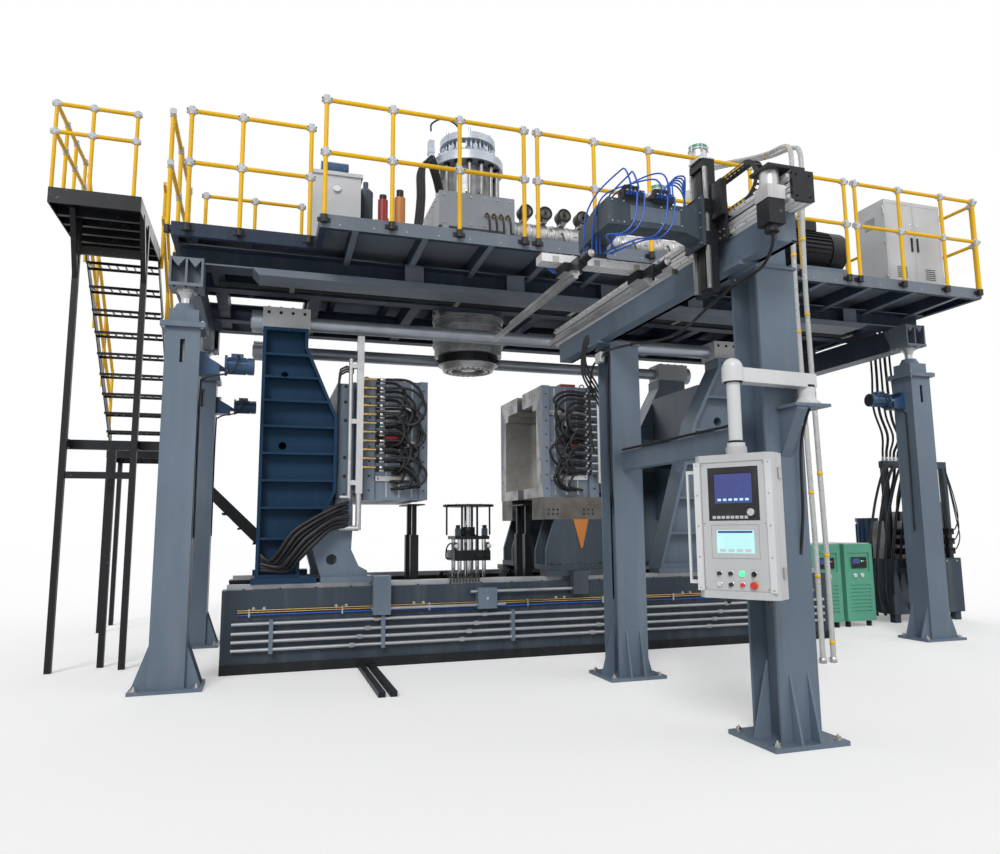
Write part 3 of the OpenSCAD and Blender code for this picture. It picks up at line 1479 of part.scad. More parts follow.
// Carriage of the right mould: platen, bolster plates with holes, trestles and shoes
module right_carriage() {
    y1 = mould_y / 2;
    z1 = mould_z - 255;
    color("slategray") {
        block([platen_x, -y1, z1], [platen_back, y1, mould_z + mould_h + 40]);
        block([mould_back, -y1 + 100, mould_z + 60], [platen_x, y1 - 100, mould_z + mould_h - 60]);
        for (s = [-1, 1])
            mirror([0, s > 0 ? 1 : 0, 0]) {
                for (y = [-y1, -y1 + 350])
                    slab_y(y, y + 40) polygon([[mould_open + 130, z1], [mould_open + 20, 1130],
                        [mould_open + 20, carriage_z], [1540, carriage_z], [1540, 1130], [1440, z1]]);
                slab_y(-y1 + 20, -y1 + 370)
                    polygon([[1010, z1], [960, carriage_z], [1200, carriage_z], [1170, z1]]);
                block([mould_open + 20, -y1 - 40, carriage_z], [1540, -y1 + 410, carriage_z + 60]);
                block([platen_x, -y1 + 60, carriage_z], [platen_back, -y1 + 330, z1]);
            }
        for (s = [-1, 1])
            block([mould_open - 20, s * guide_y - 120, shoe_z], [1700, s * guide_y + 120, carriage_z]);
        sync_arm(1, 920);
    }
    color("lightgray")
        for (s = [-1, 1])
            mirror([0, s > 0 ? 1 : 0, 0]) difference() {
                block([mould_open + 10, -y1, z1], [platen_x, -y1 + 420, mould_z]);
                for (x = [60:55:610])
                    for (z = [60, 110])
                        if (x < 200 || x > 470)
                            rod_y(mould_open + x, -y1 - 1, -y1 + 30, z1 + z, 22);
            }
    color("darkorange")
        slab_y(-y1 - 12, -y1)
            polygon([[1040, z1], [1230, z1], [1150, z1 - 330], [1130, z1 - 330]]);
    color("lightgray") {
        translate([mould_back - 45, -y1 - 95, 1900]) cube([60, 50, 1150]);
        for (z = [1950, 2900])
            block([mould_back + run, -y1 - 50, z], [mould_back + 40, -y1 + 120, z + 60]);
    }
    color("silver")
        for (i = [0:hose_n - 1])
            rod_x(mould_back - 120, mould_back - 45, -y1 - 70, hose_z + i * hose_pitch_right, 26);
}

// Teeth of a rack: one tooth space after another along X, pitch line at z = 0
module rack_profile(l, s) {
    p = PI * gear_m;
    n = floor(l / p);
    a = gear_m * tan(20);
    q = p / 4 - 0.35;
    difference() {
        translate([0, -rack_d - 10]) square([l, rack_d + 10 + gear_m]);
        for (i = [-1:n + 1])
            translate([(i + 0.5 + s) * p, 0])
                polygon([[-(p / 2 - q) - a - tan(20), gear_m + 1],
                    [-(p / 2 - q) + 1.25 * a, -1.25 * gear_m],
                    [(p / 2 - q) - 1.25 * a, -1.25 * gear_m],
                    [(p / 2 - q) + a + tan(20), gear_m + 1]]);
    }
}

// A round bar with rack teeth cut along it, from x0 to x1
module rack_bar(x0, x1, s) {
    p = PI * gear_m;
    phase = (gear_x - x0) / p;
    intersection() {
        rod_x(x0, x1, gear_y, gear_z + s * rack_z, rack_d);
        translate([x0, gear_y + rack_d, gear_z + s * gear_r]) mirror([0, 0, s > 0 ? 1 : 0])
            rotate([90, 0, 0]) linear_extrude(height = 2 * rack_d)
                rack_profile(x1 - x0, phase - floor(phase) - (s > 0 || gear_n % 2 == 0 ? 0.5 : 0));
    }
}

// Rack of the right carriage, above the pinion
module upper_rack() {
    color("silver") rack_bar(-250, 920 + 190, 1);
}

// Rack of the left frame, below the pinion
module lower_rack() {
    color("silver") rack_bar(-1300, 140, -1);
}

// A point of the involute of a base circle at roll angle a in degrees
function involute(rb, a) = [rb * (cos(a) + a * PI / 180 * sin(a)), rb * (sin(a) - a * PI / 180 * cos(a))];

// Pinion with involute teeth and its shaft
module sync_pinion() {
    rb = gear_r * cos(20);
    ra = gear_r + gear_m;
    rf = gear_r - 1.25 * gear_m;
    roll = sqrt(ra * ra / rb / rb - 1) * 180 / PI;
    at_pitch = tan(20) * 180 / PI - 20;
    half = 90 / gear_n - 0.25 + at_pitch;
    color("gray") translate([gear_x, gear_y + gear_w / 2, gear_z]) rotate([90, 0, 0]) {
        linear_extrude(height = gear_w) rotate(90) union() {
            circle(r = rf);
            for (i = [0:gear_n - 1])
                rotate(i * 360 / gear_n) polygon(concat([[0, 0], [rf - 1, -0.85 * gear_m]],
                    [for (k = [0:5]) turn(involute(rb, roll * k / 5), -half)],
                    [for (k = [5:-1:0]) turn(flip(involute(rb, roll * k / 5)), half)],
                    [[rf - 1, 0.85 * gear_m]]));
        }
        translate([0, 0, gear_y + bed_y + gear_w / 2 + 12]) cylinder(h = 106, d = shaft_d);
    }
}

// A point turned about the origin by a degrees
function turn(p, a) = [p[0] * cos(a) - p[1] * sin(a), p[0] * sin(a) + p[1] * cos(a)];

// A point mirrored in the X axis
function flip(p) = [p[0], -p[1]];

// Carriage plate on the linear rails, with guide blocks, the vertical axis and its motor
module robot_carriage() {
    xf = rail_x - 60 - 24 - run;
    y0 = carr_y - carr_w / 2;
    z0 = rail_z - 380;
    z1 = rail_z + 310 + arm_travel;
    color("black") {
        for (z = [14, rail_hh - 50])
            for (y = [y0 + 20, y0 + carr_w - 120])
                difference() {
                    block([xf - 20, y, rail_z + z], [rail_x - 60 - 2, y + 100, rail_z + z + 36]);
                    block([xf, y - 1, rail_z + z + 6 - run], [rail_x, y + 101, rail_z + z + 30 + run]);
                }
        block([xf - 44, y0, rail_z - 30], [xf - 20, y0 + carr_w, rail_z + rail_hh + 40]);
        block([xf - 104, carr_y - 110, z0], [xf - 44, carr_y + 110, z1]);
        block([xf - 124, carr_y - 90, z1], [xf - 30, carr_y + 90, z1 + 60]);
        block([xf - 90, carr_y - 240, rail_z + rail_hh - 60], [xf - 44, carr_y - 110, rail_z + rail_hh + 200]);
    }
    color("silver")
        for (y = [carr_y - 95, carr_y + 75])
            block([xf - 124, y, z0 + 30], [xf - 104, y + 20, z1 - 5]);
}

// Energy chain: the run on the beam, the bend and the run back to the carriage's bracket
module energy_chain() {
    r = 130;
    x = rail_x - 50;
    x0 = rail_x - 60 - 24 - run - 44;
    zc = rail_z + rail_hh + run + 16 + r;
    y_bend = carr_y - 330;
    pitch = 45;
    n = floor(PI * r / pitch);
    color("black") {
        for (i = [0:7])
            chain_link(x, y_bend + i * pitch, zc + r, pitch - run);
        for (i = [0:11])
            chain_link(x, y_bend + i * pitch, zc - r, pitch - run);
        for (i = [1:n - 1])
            translate([0, y_bend, zc]) rotate([90 + i * 180 / n, 0, 0]) translate([0, r, 0])
                rotate([-90, 0, 0]) chain_link(x, 0, 0, pitch - run);
        block([x0, y_bend + 7 * pitch - 20, zc + r - 30], [x + 60, y_bend + 8 * pitch + 60, zc + r - 16]);
        block([x0, carr_y - 60, rail_z + rail_hh + 40], [x0 + 24, carr_y + 60, zc + r - 16]);
    }
}

// One link of the energy chain, l long, with its two side plates and cross bars
module chain_link(x, y, z, l) {
    translate([x, y, z]) {
        for (s = [0, 52])
            translate([s, -20, -16]) cube([8, l, 32]);
        translate([0, -8, 10]) cube([60, 16, 6]);
        translate([0, -8, -16]) cube([60, 16, 6]);
    }
}

// Arm with its slide blocks, cranked box arm, valve blocks and cross-bar
module robot_arm() {
    xf = rail_x - 60 - 24 - run - 104;
    x0 = xf - 20;
    z = rail_z + 60;
    ax = x0 - 760;
    color("black") {
        for (y = [carr_y - 95, carr_y + 75])
            for (dz = [-90, 150])
                difference() {
                    block([x0 - 24, y - 18, z + dz], [xf - 4, y + 38, z + dz + 90]);
                    block([x0 - run, y - run, z + dz - 1], [xf, y + 20 + run, z + dz + 91]);
                }
        block([x0 - 48, carr_y - 120, z - 110], [x0 - 24, carr_y + 120, z + 260]);
    }
    color("slategray") {
        slab_y(carr_y - 80, carr_y + 80)
            polygon([[x0 - 48, z - 60], [x0 - 48, z + 230], [x0 - 150, z + 170], [ax, z + 170],
                [ax, z - 20], [x0 - 150, z - 20]]);
        slab_x(ax - 10, ax + 160)
            polygon([[carr_y + 80, z - 20], [carr_y + 80, z + 170], [grip_y + 300, z + 90],
                [grip_y + 300, z - 60]]);
        block([ax, grip_y + 160, grip_z + 150], [ax + 150, grip_y + 300, z - 40]);
    }
    color("lightgray") difference() {
        block([grip_x - 520, grip_y + 170, grip_z + 90], [grip_x + 520, grip_y + 290, grip_z + 150]);
        for (y = [grip_y + 200, grip_y + 245])
            block([grip_x - 530, y, grip_z + 89], [grip_x + 530, y + 14, grip_z + 100]);
    }
    color("black") {
        block([x0 - 420, carr_y - 110, z + 170], [x0 - 260, carr_y - 20, z + 232]);
        block([x0 - 650, carr_y - 110, z + 170], [x0 - 490, carr_y - 20, z + 232]);
        for (i = [0:7])
            translate([x0 - 630 + i * 28 + (i > 3 ? 120 : 0), carr_y - 80, z + 232])
                cylinder(h = 34, d = 18);
        block([x0 - 490, carr_y - 80, z + 170], [x0 - 420, carr_y - 40, z + 200]);
    }
}

// One gripper jaw: slide block under the cross-bar, cylinder and the long prong
module gripper_jaw(s) {
    x = grip_x + s * 290;
    color("black") {
        block([x - 70, grip_y + 150, grip_z + 20], [x + 70, grip_y + 310, grip_z + 90 - run]);
        block([x - 34, grip_y - 20, grip_z + 20], [x + 34, grip_y + 150, grip_z + 80]);
        rod_y(x, grip_y - 160, grip_y - 20, grip_z + 50, 60);
    }
    color("gray") {
        slab_x(x - 14, x + 14) polygon([[grip_y + 100, grip_z + 20], [grip_y + 100, grip_z - 40],
            [grip_y + 2100, grip_z - 20], [grip_y + 2100, grip_z + 20]]);
        block([x - 34, grip_y + 120, grip_z - 10], [x + 34, grip_y + 1500, grip_z + 20]);
    }
}

module gripper_jaw_left() {
    gripper_jaw(-1);
}

module gripper_jaw_right() {
    gripper_jaw(1);
}

// Swivelling arm of the pendant: foot, horizontal box arm and the drop tube
module hmi_arm() {
    a = atan2(elbow_y - pend_y, elbow_x - pend_x);
    l = norm([elbow_x - pend_x, elbow_y - pend_y]);
    color("whitesmoke") {
        translate([pend_x, pend_y, pend_z + run]) {
            cylinder(h = 14, d = 176);
            translate([0, 0, 14]) cylinder(h = 40, d1 = 160, d2 = 110);
            translate([0, 0, 54]) cylinder(h = 110, d = 110);
        }
        translate([pend_x, pend_y, pend_z + 164]) rotate([0, 0, a]) {
            translate([-50, -48, -46]) cube([l + 50, 96, 92]);
            translate([l, 0, -46]) cylinder(h = 92, d = 136);
            translate([l, 0, 46]) sphere(d = 128);
        }
        translate([elbow_x, elbow_y, panel_z + panel_h + 50])
            cylinder(h = pend_z + 164 - 46 - panel_z - panel_h - 50, d = 84);
        translate([elbow_x, elbow_y, panel_z + panel_h + 50]) cylinder(h = 26, d = 112);
    }
}

// Puts a child in the pendant's own frame: X across, Y into the panel, Z up from its foot
module panel_place() {
    translate([elbow_x, elbow_y, panel_z]) rotate([0, 0, panel_a]) children();
}

// Control panel: housing with chamfered corners, side profiles, screens and handle
module hmi_panel() {
    w = panel_w;
    d = panel_d;
    h = panel_h;
    f = -d / 2;
    panel_place() {
        color("lightgray") difference() {
            linear_extrude(height = h) polygon([[-w / 2, f + 40], [-w / 2 + 40, f], [w / 2 - 40, f],
                [w / 2, f + 40], [w / 2, d / 2 - 30], [w / 2 - 30, d / 2], [-w / 2 + 30, d / 2],
                [-w / 2, d / 2 - 30]]);
            translate([-w / 2 + 46, f - 1, 46]) cube([w - 92, 7, h - 92]);
            translate([-160, f - 1, 470]) cube([320, 20, 330]);
            translate([-150, f - 1, 240]) cube([300, 20, 205]);
            for (i = [0:3])
                for (k = [0:1])
                    control_place(i, k) translate([0, -21, 0]) rotate([-90, 0, 0]) cylinder(h = 60, d = 20);
            translate([110, f + 40, 520]) rotate([90, 0, 0]) cylinder(h = 60, d = 12.6);
        }
        color("black") translate([-158, f + 6, 472]) difference() {
            cube([316, 13, 326]);
            translate([38, -1, 100]) cube([240, 4, 190]);
            translate([268, 14, 48]) rotate([90, 0, 0]) cylinder(h = 16, d = 12.6);
        }
        color("darkgray") translate([-148, f + 6, 242]) difference() {
            cube([296, 13, 201]);
            translate([28, -1, 28]) cube([240, 4, 146]);
        }
        color("whitesmoke") {
            translate([0, 0, h]) cylinder(h = 50 - run, d = 130);
            for (s = [-1, 1])
                translate([s * (w / 2 - 24) - 20, f - 8, 44]) cube([40, 8, h - 88]);
        }
        color("whitesmoke") {
            for (z = [80, h - 110])
                translate([-w / 2 - 60, f + 50, z]) cube([60, 14, 22]);
            translate([-w / 2 - 74, f + 50, 80]) cube([14, 14, h - 168]);
        }
    }
    control_lamp();
}

// Puts a child at a control's place on the panel's front, its axis along Y
module control_place(i, k) {
    translate([-108 + i * 72, -panel_d / 2 + 6, 150 - k * 66]) children();
}

// The lit lamp between the buttons
module control_lamp() {
    panel_place() control_place(2, 0) color("lime") {
        rotate([90, 0, 0]) cylinder(h = 10, d = 34);
        rotate([-90, 0, 0]) cylinder(h = 20, d = 20);
    }
}

// A push button with its cap, collar gap and stem
module push_button(i, k, c) {
    panel_place() control_place(i, k) color(c) {
        translate([0, -6, 0]) rotate([90, 0, 0]) cylinder(h = 10, d = 26);
        translate([0, 22, 0]) rotate([90, 0, 0]) cylinder(h = 28, d = 19.4);
    }
}

module button_black_one() {
    push_button(0, 0, "black");
}

module button_black_two() {
    push_button(1, 0, "black");
}

module button_white() {
    push_button(0, 1, "white");
}

module button_black_three() {
    push_button(1, 1, "black");
}

module button_red() {
    push_button(2, 1, "firebrick");
}

// Selector switch with a raised grip
module selector_knob() {
    panel_place() control_place(3, 0) color("black") {
        translate([0, -2, 0]) rotate([90, 0, 0]) cylinder(h = 8, d = 32);
        translate([-5, -26, -15]) cube([10, 18, 30]);
        translate([0, 22, 0]) rotate([90, 0, 0]) cylinder(h = 26, d = 19.4);
    }
}

// Emergency stop with a mushroom cap
module stop_button() {
    panel_place() control_place(3, 1) color("red") {
        translate([0, -10, 0]) rotate([90, 0, 0]) cylinder(h = 12, d = 44);
        translate([0, -22, 0]) rotate([90, 0, 0]) cylinder(h = 6, d1 = 44, d2 = 30);
        translate([0, 22, 0]) rotate([90, 0, 0]) cylinder(h = 36, d = 19.4);
    }
}

// Round dial of the upper display
module display_knob() {
    panel_place() translate([110, -panel_d / 2 + 5, 520]) color("silver") {
        rotate([90, 0, 0]) cylinder(h = 18, d = 46);
        translate([0, -18, 0]) rotate([90, 0, 0]) cylinder(h = 4, d1 = 46, d2 = 38);
        translate([0, 24, 0]) rotate([90, 0, 0]) cylinder(h = 24, d = 12);
    }
}

// Round tube swept along a route of points, as one closed surface
function route_dir(p, i) = let (a = p[max(i - 1, 0)], b = p[min(i + 1, len(p) - 1)])
    (b - a) / norm(b - a);
module hose(p, d) {
    n = 8;
    rings = [for (i = [0:len(p) - 1]) let (t = route_dir(p, i),
        u = abs(t[2]) > 0.9 ? [0, 1, 0] : [0, 0, 1], a = cross(t, u) / norm(cross(t, u)),
        b = cross(a, t)) for (k = [0:n - 1])
            p[i] + d / 2 * (cos(k * 360 / n) * a + sin(k * 360 / n) * b)];
    m = len(p);
    polyhedron(points = rings, faces = concat([[for (k = [0:n - 1]) k]],
        [for (i = [0:m - 2]) for (k = [0:n - 1])
            [i * n + k, (i + 1) * n + k, (i + 1) * n + (k + 1) % n, i * n + (k + 1) % n]],
        [[for (k = [n - 1:-1:0]) (m - 1) * n + k]]));
}

// Two clear feed hoses from the loader's elbows over the deck edge and down to the floor
feed_route = [[3650, 0, 6600], [3720, 0, 6600], [3830, -180, 6580], [3840, -620, 6420],
    [3700, -1200, 6180], [3480, -1800, 5940], [3250, -2180, 5640], [3120, -2330, 5200],
    [3030, -2400, 4600], [2990, -2430, 3900], [2990, -2440, 3200], [3010, -2430, 2500],
    [3050, -2400, 1800], [3090, -2370, 1100], [3100, -2360, 500], [3100, -2360, run]];
feed_pitch = [0, 130, 0];
feed_gap = [130, 0, 0];
feed_d = 56;
module material_hoses() {
    color("whitesmoke")
        for (i = [0, 1])
            hose([for (k = [0:len(feed_route) - 1]) feed_route[k] + (k == 0 ? [run, 0, 0] : [0, 0, 0])
                + i * (feed_pitch + (feed_gap - feed_pitch) * min(1, max(0, k - 1) / 4))], feed_d);
}

base_frame();
sync_gear_block();
front_pipes();
platform_columns();
jack_drives();
robot_frame();
robot_rail_profile();
robot_drive();
stair_tower();
stair_rails();
blow_unit_frame();
hydraulic_station();
temperature_units();
material_hoses();
platform_frame();
guard_rails();
rail_clamps();
jack_screws();
head_body();
head_top();
extruder_barrel();
extruder_drive();
material_loaders();
head_power_unit();
electrical_cabinet();
cabinet_door_left();
cabinet_door_right();
die_mandrel();
shot_piston();
extruder_screw();
left_strongback();
left_platen();
left_mould();
left_hoses();
right_outer_frame();
tie_bars();
lower_rack();
clamp_cylinder();
clamp_rod();
right_carriage();
right_mould();
right_hoses();
upper_rack();
sync_pinion();
blow_head();
robot_carriage();
energy_chain();
robot_arm();
gripper_jaw_left();
gripper_jaw_right();
hmi_arm();
hmi_panel();
button_black_one();
button_black_two();
button_white();
button_black_three();
button_red();
selector_knob();
stop_button();
display_knob();
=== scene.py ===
"""Looks of a large accumulator-head blow moulding machine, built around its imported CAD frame."""
from __future__ import annotations

import logging
import math
import random
from dataclasses import dataclass
from enum import Enum
from itertools import product
from typing import Callable, Iterable, Sequence

import bpy
from mathutils import Matrix, Quaternion, Vector


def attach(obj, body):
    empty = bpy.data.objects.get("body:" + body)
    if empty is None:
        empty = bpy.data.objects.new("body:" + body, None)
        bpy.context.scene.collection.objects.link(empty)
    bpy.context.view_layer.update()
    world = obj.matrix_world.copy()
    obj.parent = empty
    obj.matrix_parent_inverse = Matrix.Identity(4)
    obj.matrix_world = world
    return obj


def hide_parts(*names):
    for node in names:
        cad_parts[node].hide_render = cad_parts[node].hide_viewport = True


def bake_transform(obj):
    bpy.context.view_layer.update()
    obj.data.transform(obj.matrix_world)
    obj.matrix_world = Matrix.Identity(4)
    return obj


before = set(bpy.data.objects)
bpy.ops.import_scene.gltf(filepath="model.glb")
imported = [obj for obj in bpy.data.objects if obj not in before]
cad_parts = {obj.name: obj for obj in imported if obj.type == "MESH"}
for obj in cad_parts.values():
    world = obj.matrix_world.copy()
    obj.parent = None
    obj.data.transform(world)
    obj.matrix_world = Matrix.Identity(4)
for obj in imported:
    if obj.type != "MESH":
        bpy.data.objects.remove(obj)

LOG = logging.getLogger("blow_moulder")
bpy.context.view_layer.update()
Point = Sequence[float]
CORNERS = tuple(product((-1, 1), repeat=2))
UP, DOWN = (0, 0, 1), (0, 0, -1)
FAR = 9.0  # any place ahead of everything, for the direction of a turned piece


def feed(tree: bpy.types.NodeTree, node: bpy.types.Node, inputs: dict[object, object]) -> None:
    """Give inputs of a node, by name or index, a plain value or a link from a socket."""
    for key, value in inputs.items():
        if isinstance(value, bpy.types.NodeSocket):
            tree.links.new(value, node.inputs[key])
        else:
            node.inputs[key].default_value = value


def add_node(tree: bpy.types.NodeTree, kind: str, inputs: dict[object, object] | None = None,
             **props: object) -> bpy.types.Node:
    """Add one node, set its properties and feed its inputs.

    Args:
        tree: Tree that gets the node.
        kind: Type of the node.
        inputs: Input names or indices with a socket or a plain value.
        props: Node properties.

    Returns:
        The new node.
    """
    made = tree.nodes.new(kind)
    for key, value in props.items():
        setattr(made, key, value)
    feed(tree, made, inputs or {})
    return made


def new_group(name: str, kind: str, ins: dict[str, tuple[str, object]], outs: dict[str, str]) -> tuple:
    """Start a node group with named sockets.

    Args:
        name: Name of the group.
        kind: Type of its tree.
        ins: Input names with their socket type and default, or None.
        outs: Output names with their socket type.

    Returns:
        The tree, the sockets that come in and the sockets that go out.
    """
    tree = bpy.data.node_groups.new(name, kind)
    for label, (sort, value) in ins.items():
        socket = tree.interface.new_socket(label, in_out="INPUT", socket_type="NodeSocket" + sort)
        if value is not None:
            socket.default_value = value
    for label, sort in outs.items():
        tree.interface.new_socket(label, in_out="OUTPUT", socket_type="NodeSocket" + sort)
    return tree, add_node(tree, "NodeGroupInput").outputs, add_node(tree, "NodeGroupOutput").inputs


def link_object(name: str, data: bpy.types.ID) -> bpy.types.Object:
    """Make an object of some data and put it in the scene."""
    made = bpy.data.objects.new(name, data)
    bpy.context.scene.collection.objects.link(made)
    return made


class Shades:
    """One shader node group for a surface effect that several finishes share."""

    made: dict[str, bpy.types.NodeTree] = {}

    def __init__(self, name: str, ins: dict[str, tuple[str, object]]) -> None:
        """Start a group that gives a colour, a roughness and a height.

        Args:
            name: Name of the group.
            ins: Input names with their socket type and default.
        """
        outs = {"Colour": "Color", "Roughness": "Float", "Height": "Float"}
        self.tree, self.ins, self.outs = new_group(name, "ShaderNodeTree", ins, outs)
        self.made[name] = self.tree

    def noise(self, vector: object, scale: object, detail: float = 4.0, low: float = 0.35,
              high: float = 0.65) -> bpy.types.NodeSocket:
        """Noise spread to the full range between two of its levels, as a value socket."""
        tex = add_node(self.tree, "ShaderNodeTexNoise", {"Vector": vector, "Scale": scale, "Detail": detail})
        level = {"Value": tex.outputs["Fac"], "From Min": low, "From Max": high}
        return add_node(self.tree, "ShaderNodeMapRange", level).outputs["Result"]

    def place(self, stretch: object = (1, 1, 1)) -> bpy.types.NodeSocket:
        """Object coordinates stretched by a vector."""
        where = add_node(self.tree, "ShaderNodeTexCoord").outputs["Object"]
        return add_node(self.tree, "ShaderNodeMapping", {"Vector": where, "Scale": stretch}).outputs["Vector"]

    def mix(self, amount: object, a: object, b: object) -> bpy.types.NodeSocket:
        """Colour mixed from a to b."""
        return add_node(self.tree, "ShaderNodeMix", {0: amount, 6: a, 7: b}, data_type="RGBA").outputs[2]

    def shade(self, value: float) -> bpy.types.NodeSocket:
        """The group's own colour made darker."""
        inputs = {"Color": self.ins["Colour"], "Value": value}
        return add_node(self.tree, "ShaderNodeHueSaturation", inputs).outputs[0]

    def maths(self, how: str, a: object, b: object) -> bpy.types.NodeSocket:
        """One operation on two values, as a value socket."""
        return add_node(self.tree, "ShaderNodeMath", {0: a, 1: b}, operation=how).outputs[0]

    def times(self, a: object, b: object) -> bpy.types.NodeSocket:
        """Product of two values, as a value socket."""
        return self.maths("MULTIPLY", a, b)

    def plus(self, a: object, b: object) -> bpy.types.NodeSocket:
        """Sum of two values, as a value socket."""
        return self.maths("ADD", a, b)

    def give(self, colour: object, rough: object, height: object) -> bpy.types.NodeTree:
        """Link the three results and return the tree."""
        for label, value in (("Colour", colour), ("Roughness", rough), ("Height", height)):
            self.tree.links.new(value, self.outs[label])
        return self.tree

    @classmethod
    def enamel(cls) -> bpy.types.NodeTree:
        """Machine enamel: slow shade drift, run-down dust, small chips and an orange-peel skin."""
        g = cls("enamel", {
            "Colour": ("Color", (0.2, 0.25, 0.3, 1)), "Dust": ("Color", (0.5, 0.5, 0.48, 1)),
            "Bare": ("Color", (0.3, 0.3, 0.3, 1)), "Dust Amount": ("Float", 0.3), "Chips": ("Float", 0.3),
            "Patch Scale": ("Float", 1.2), "Roughness": ("Float", 0.45)})
        drift = g.noise(g.place((1, 1, 0.7)), g.ins["Patch Scale"], 6)
        runs = g.noise(g.place((9, 9, 0.8)), 1.0, 5, 0.48, 0.8)
        fine = g.place()
        speck, zone = g.noise(fine, 38.0, 6, 0.66, 0.7), g.noise(fine, 3.1, 2, 0.5, 0.62)
        chips = g.times(g.times(speck, zone), g.ins["Chips"])
        base = g.mix(drift, g.ins["Colour"], g.shade(0.8))
        dusty = g.mix(g.times(runs, g.ins["Dust Amount"]), base, g.ins["Dust"])
        rough = g.plus(g.plus(g.ins["Roughness"], g.times(runs, 0.2)), g.times(drift, -0.08))
        peel = g.noise(fine, 160.0, 2, 0.3, 0.7)
        height = g.maths("SUBTRACT", g.times(peel, 0.25), chips)
        return g.give(g.mix(chips, dusty, g.ins["Bare"]), rough, height)

    @classmethod
    def machined(cls) -> bpy.types.NodeTree:
        """Cut or rolled metal: tool lines along one direction, stains and a film of oil."""
        g = cls("machined", {
            "Colour": ("Color", (0.6, 0.6, 0.6, 1)), "Stain": ("Color", (0.2, 0.17, 0.14, 1)),
            "Stain Amount": ("Float", 0.3), "Lines": ("Vector", (60.0, 60.0, 2.0)),
            "Roughness": ("Float", 0.35)})
        lines = g.noise(g.place(g.ins["Lines"]), 1.0, 3, 0.3, 0.7)
        spots = g.noise(g.place(), 4.5, 7, 0.46, 0.72)
        smear = g.noise(g.place((1.4, 1.4, 0.5)), 2.2, 4, 0.4, 0.7)
        stain = g.times(spots, g.ins["Stain Amount"])
        lined = g.mix(g.times(lines, 0.8), g.ins["Colour"], g.shade(0.78))
        rough = g.plus(g.plus(g.ins["Roughness"], g.times(smear, 0.16)), g.times(stain, 0.3))
        return g.give(g.mix(stain, lined, g.ins["Stain"]), rough, g.plus(g.times(lines, 0.4), spots))

    @classmethod
    def grain(cls) -> bpy.types.NodeTree:
        """Moulded plastic or rubber: a leather-like grain and pale rubbed places."""
        g = cls("grain", {
            "Colour": ("Color", (0.03, 0.03, 0.03, 1)), "Rubbed": ("Color", (0.12, 0.12, 0.12, 1)),
            "Rubbing": ("Float", 0.4), "Grain Scale": ("Float", 300.0), "Roughness": ("Float", 0.5)})
        where = g.place()
        rub = g.noise(where, 7.0, 5, 0.5, 0.75)
        cells = add_node(g.tree, "ShaderNodeTexVoronoi", {"Vector": where, "Scale": g.ins["Grain Scale"]})
        colour = g.mix(g.times(rub, g.ins["Rubbing"]), g.ins["Colour"], g.ins["Rubbed"])
        return g.give(colour, g.plus(g.ins["Roughness"], g.times(rub, 0.15)), cells.outputs["Distance"])


class Skin(Enum):
    """Which surface effect a finish is made of."""

    ENAMEL = "enamel"
    MACHINED = "machined"
    GRAIN = "grain"


@dataclass(frozen=True)
class Finish:
    """One finish of the machine and the numbers that make it."""

    name: str
    colour: tuple[float, float, float]
    skin: Skin = Skin.ENAMEL
    rough: float = 0.45
    metal: float = 0.0
    second: tuple[float, float, float] = (0.42, 0.41, 0.38)
    amount: float = 0.25
    chips: float = 0.25
    scale: float = 1.2
    lines: tuple[float, float, float] = (60.0, 60.0, 2.0)
    coat: float = 0.0
    bump: float = 0.12
    depth: float = 0.0004
    glow: float = 0.0
    clear: float = 0.0
    spec: float = 0.35

    def material(self) -> bpy.types.Material:
        """The Blender material of this finish, built at its first use."""
        name = "fin_" + self.name
        if name in bpy.data.materials:
            return bpy.data.materials[name]
        mat = bpy.data.materials.new(name)
        mat.use_nodes = True
        tree, skin = mat.node_tree, self.skin.value
        second = (*self.second, 1)
        own = {
            Skin.ENAMEL: {"Dust": second, "Dust Amount": self.amount, "Chips": self.chips,
                          "Patch Scale": self.scale},
            Skin.MACHINED: {"Stain": second, "Stain Amount": self.amount, "Lines": self.lines},
            Skin.GRAIN: {"Rubbed": second, "Rubbing": self.amount, "Grain Scale": self.scale},
        }[self.skin]
        group = add_node(tree, "ShaderNodeGroup", {"Colour": (*self.colour, 1), "Roughness": self.rough, **own},
                         node_tree=Shades.made.get(skin) or getattr(Shades, skin)())
        bump = add_node(tree, "ShaderNodeBump", {"Strength": self.bump, "Distance": self.depth,
                                                 "Height": group.outputs["Height"]})
        inputs = {"Metallic": self.metal, "Coat Weight": self.coat, "Coat Roughness": 0.12,
                  "Specular IOR Level": self.spec, "Base Color": group.outputs["Colour"],
                  "Roughness": group.outputs["Roughness"], "Normal": bump.outputs["Normal"]}
        if self.glow:
            inputs |= {"Emission Strength": self.glow, "Emission Color": group.outputs["Colour"]}
        if self.clear:
            inputs |= {"Transmission Weight": self.clear, "IOR": 1.35}
        feed(tree, tree.nodes["Principled BSDF"], inputs)
        return mat


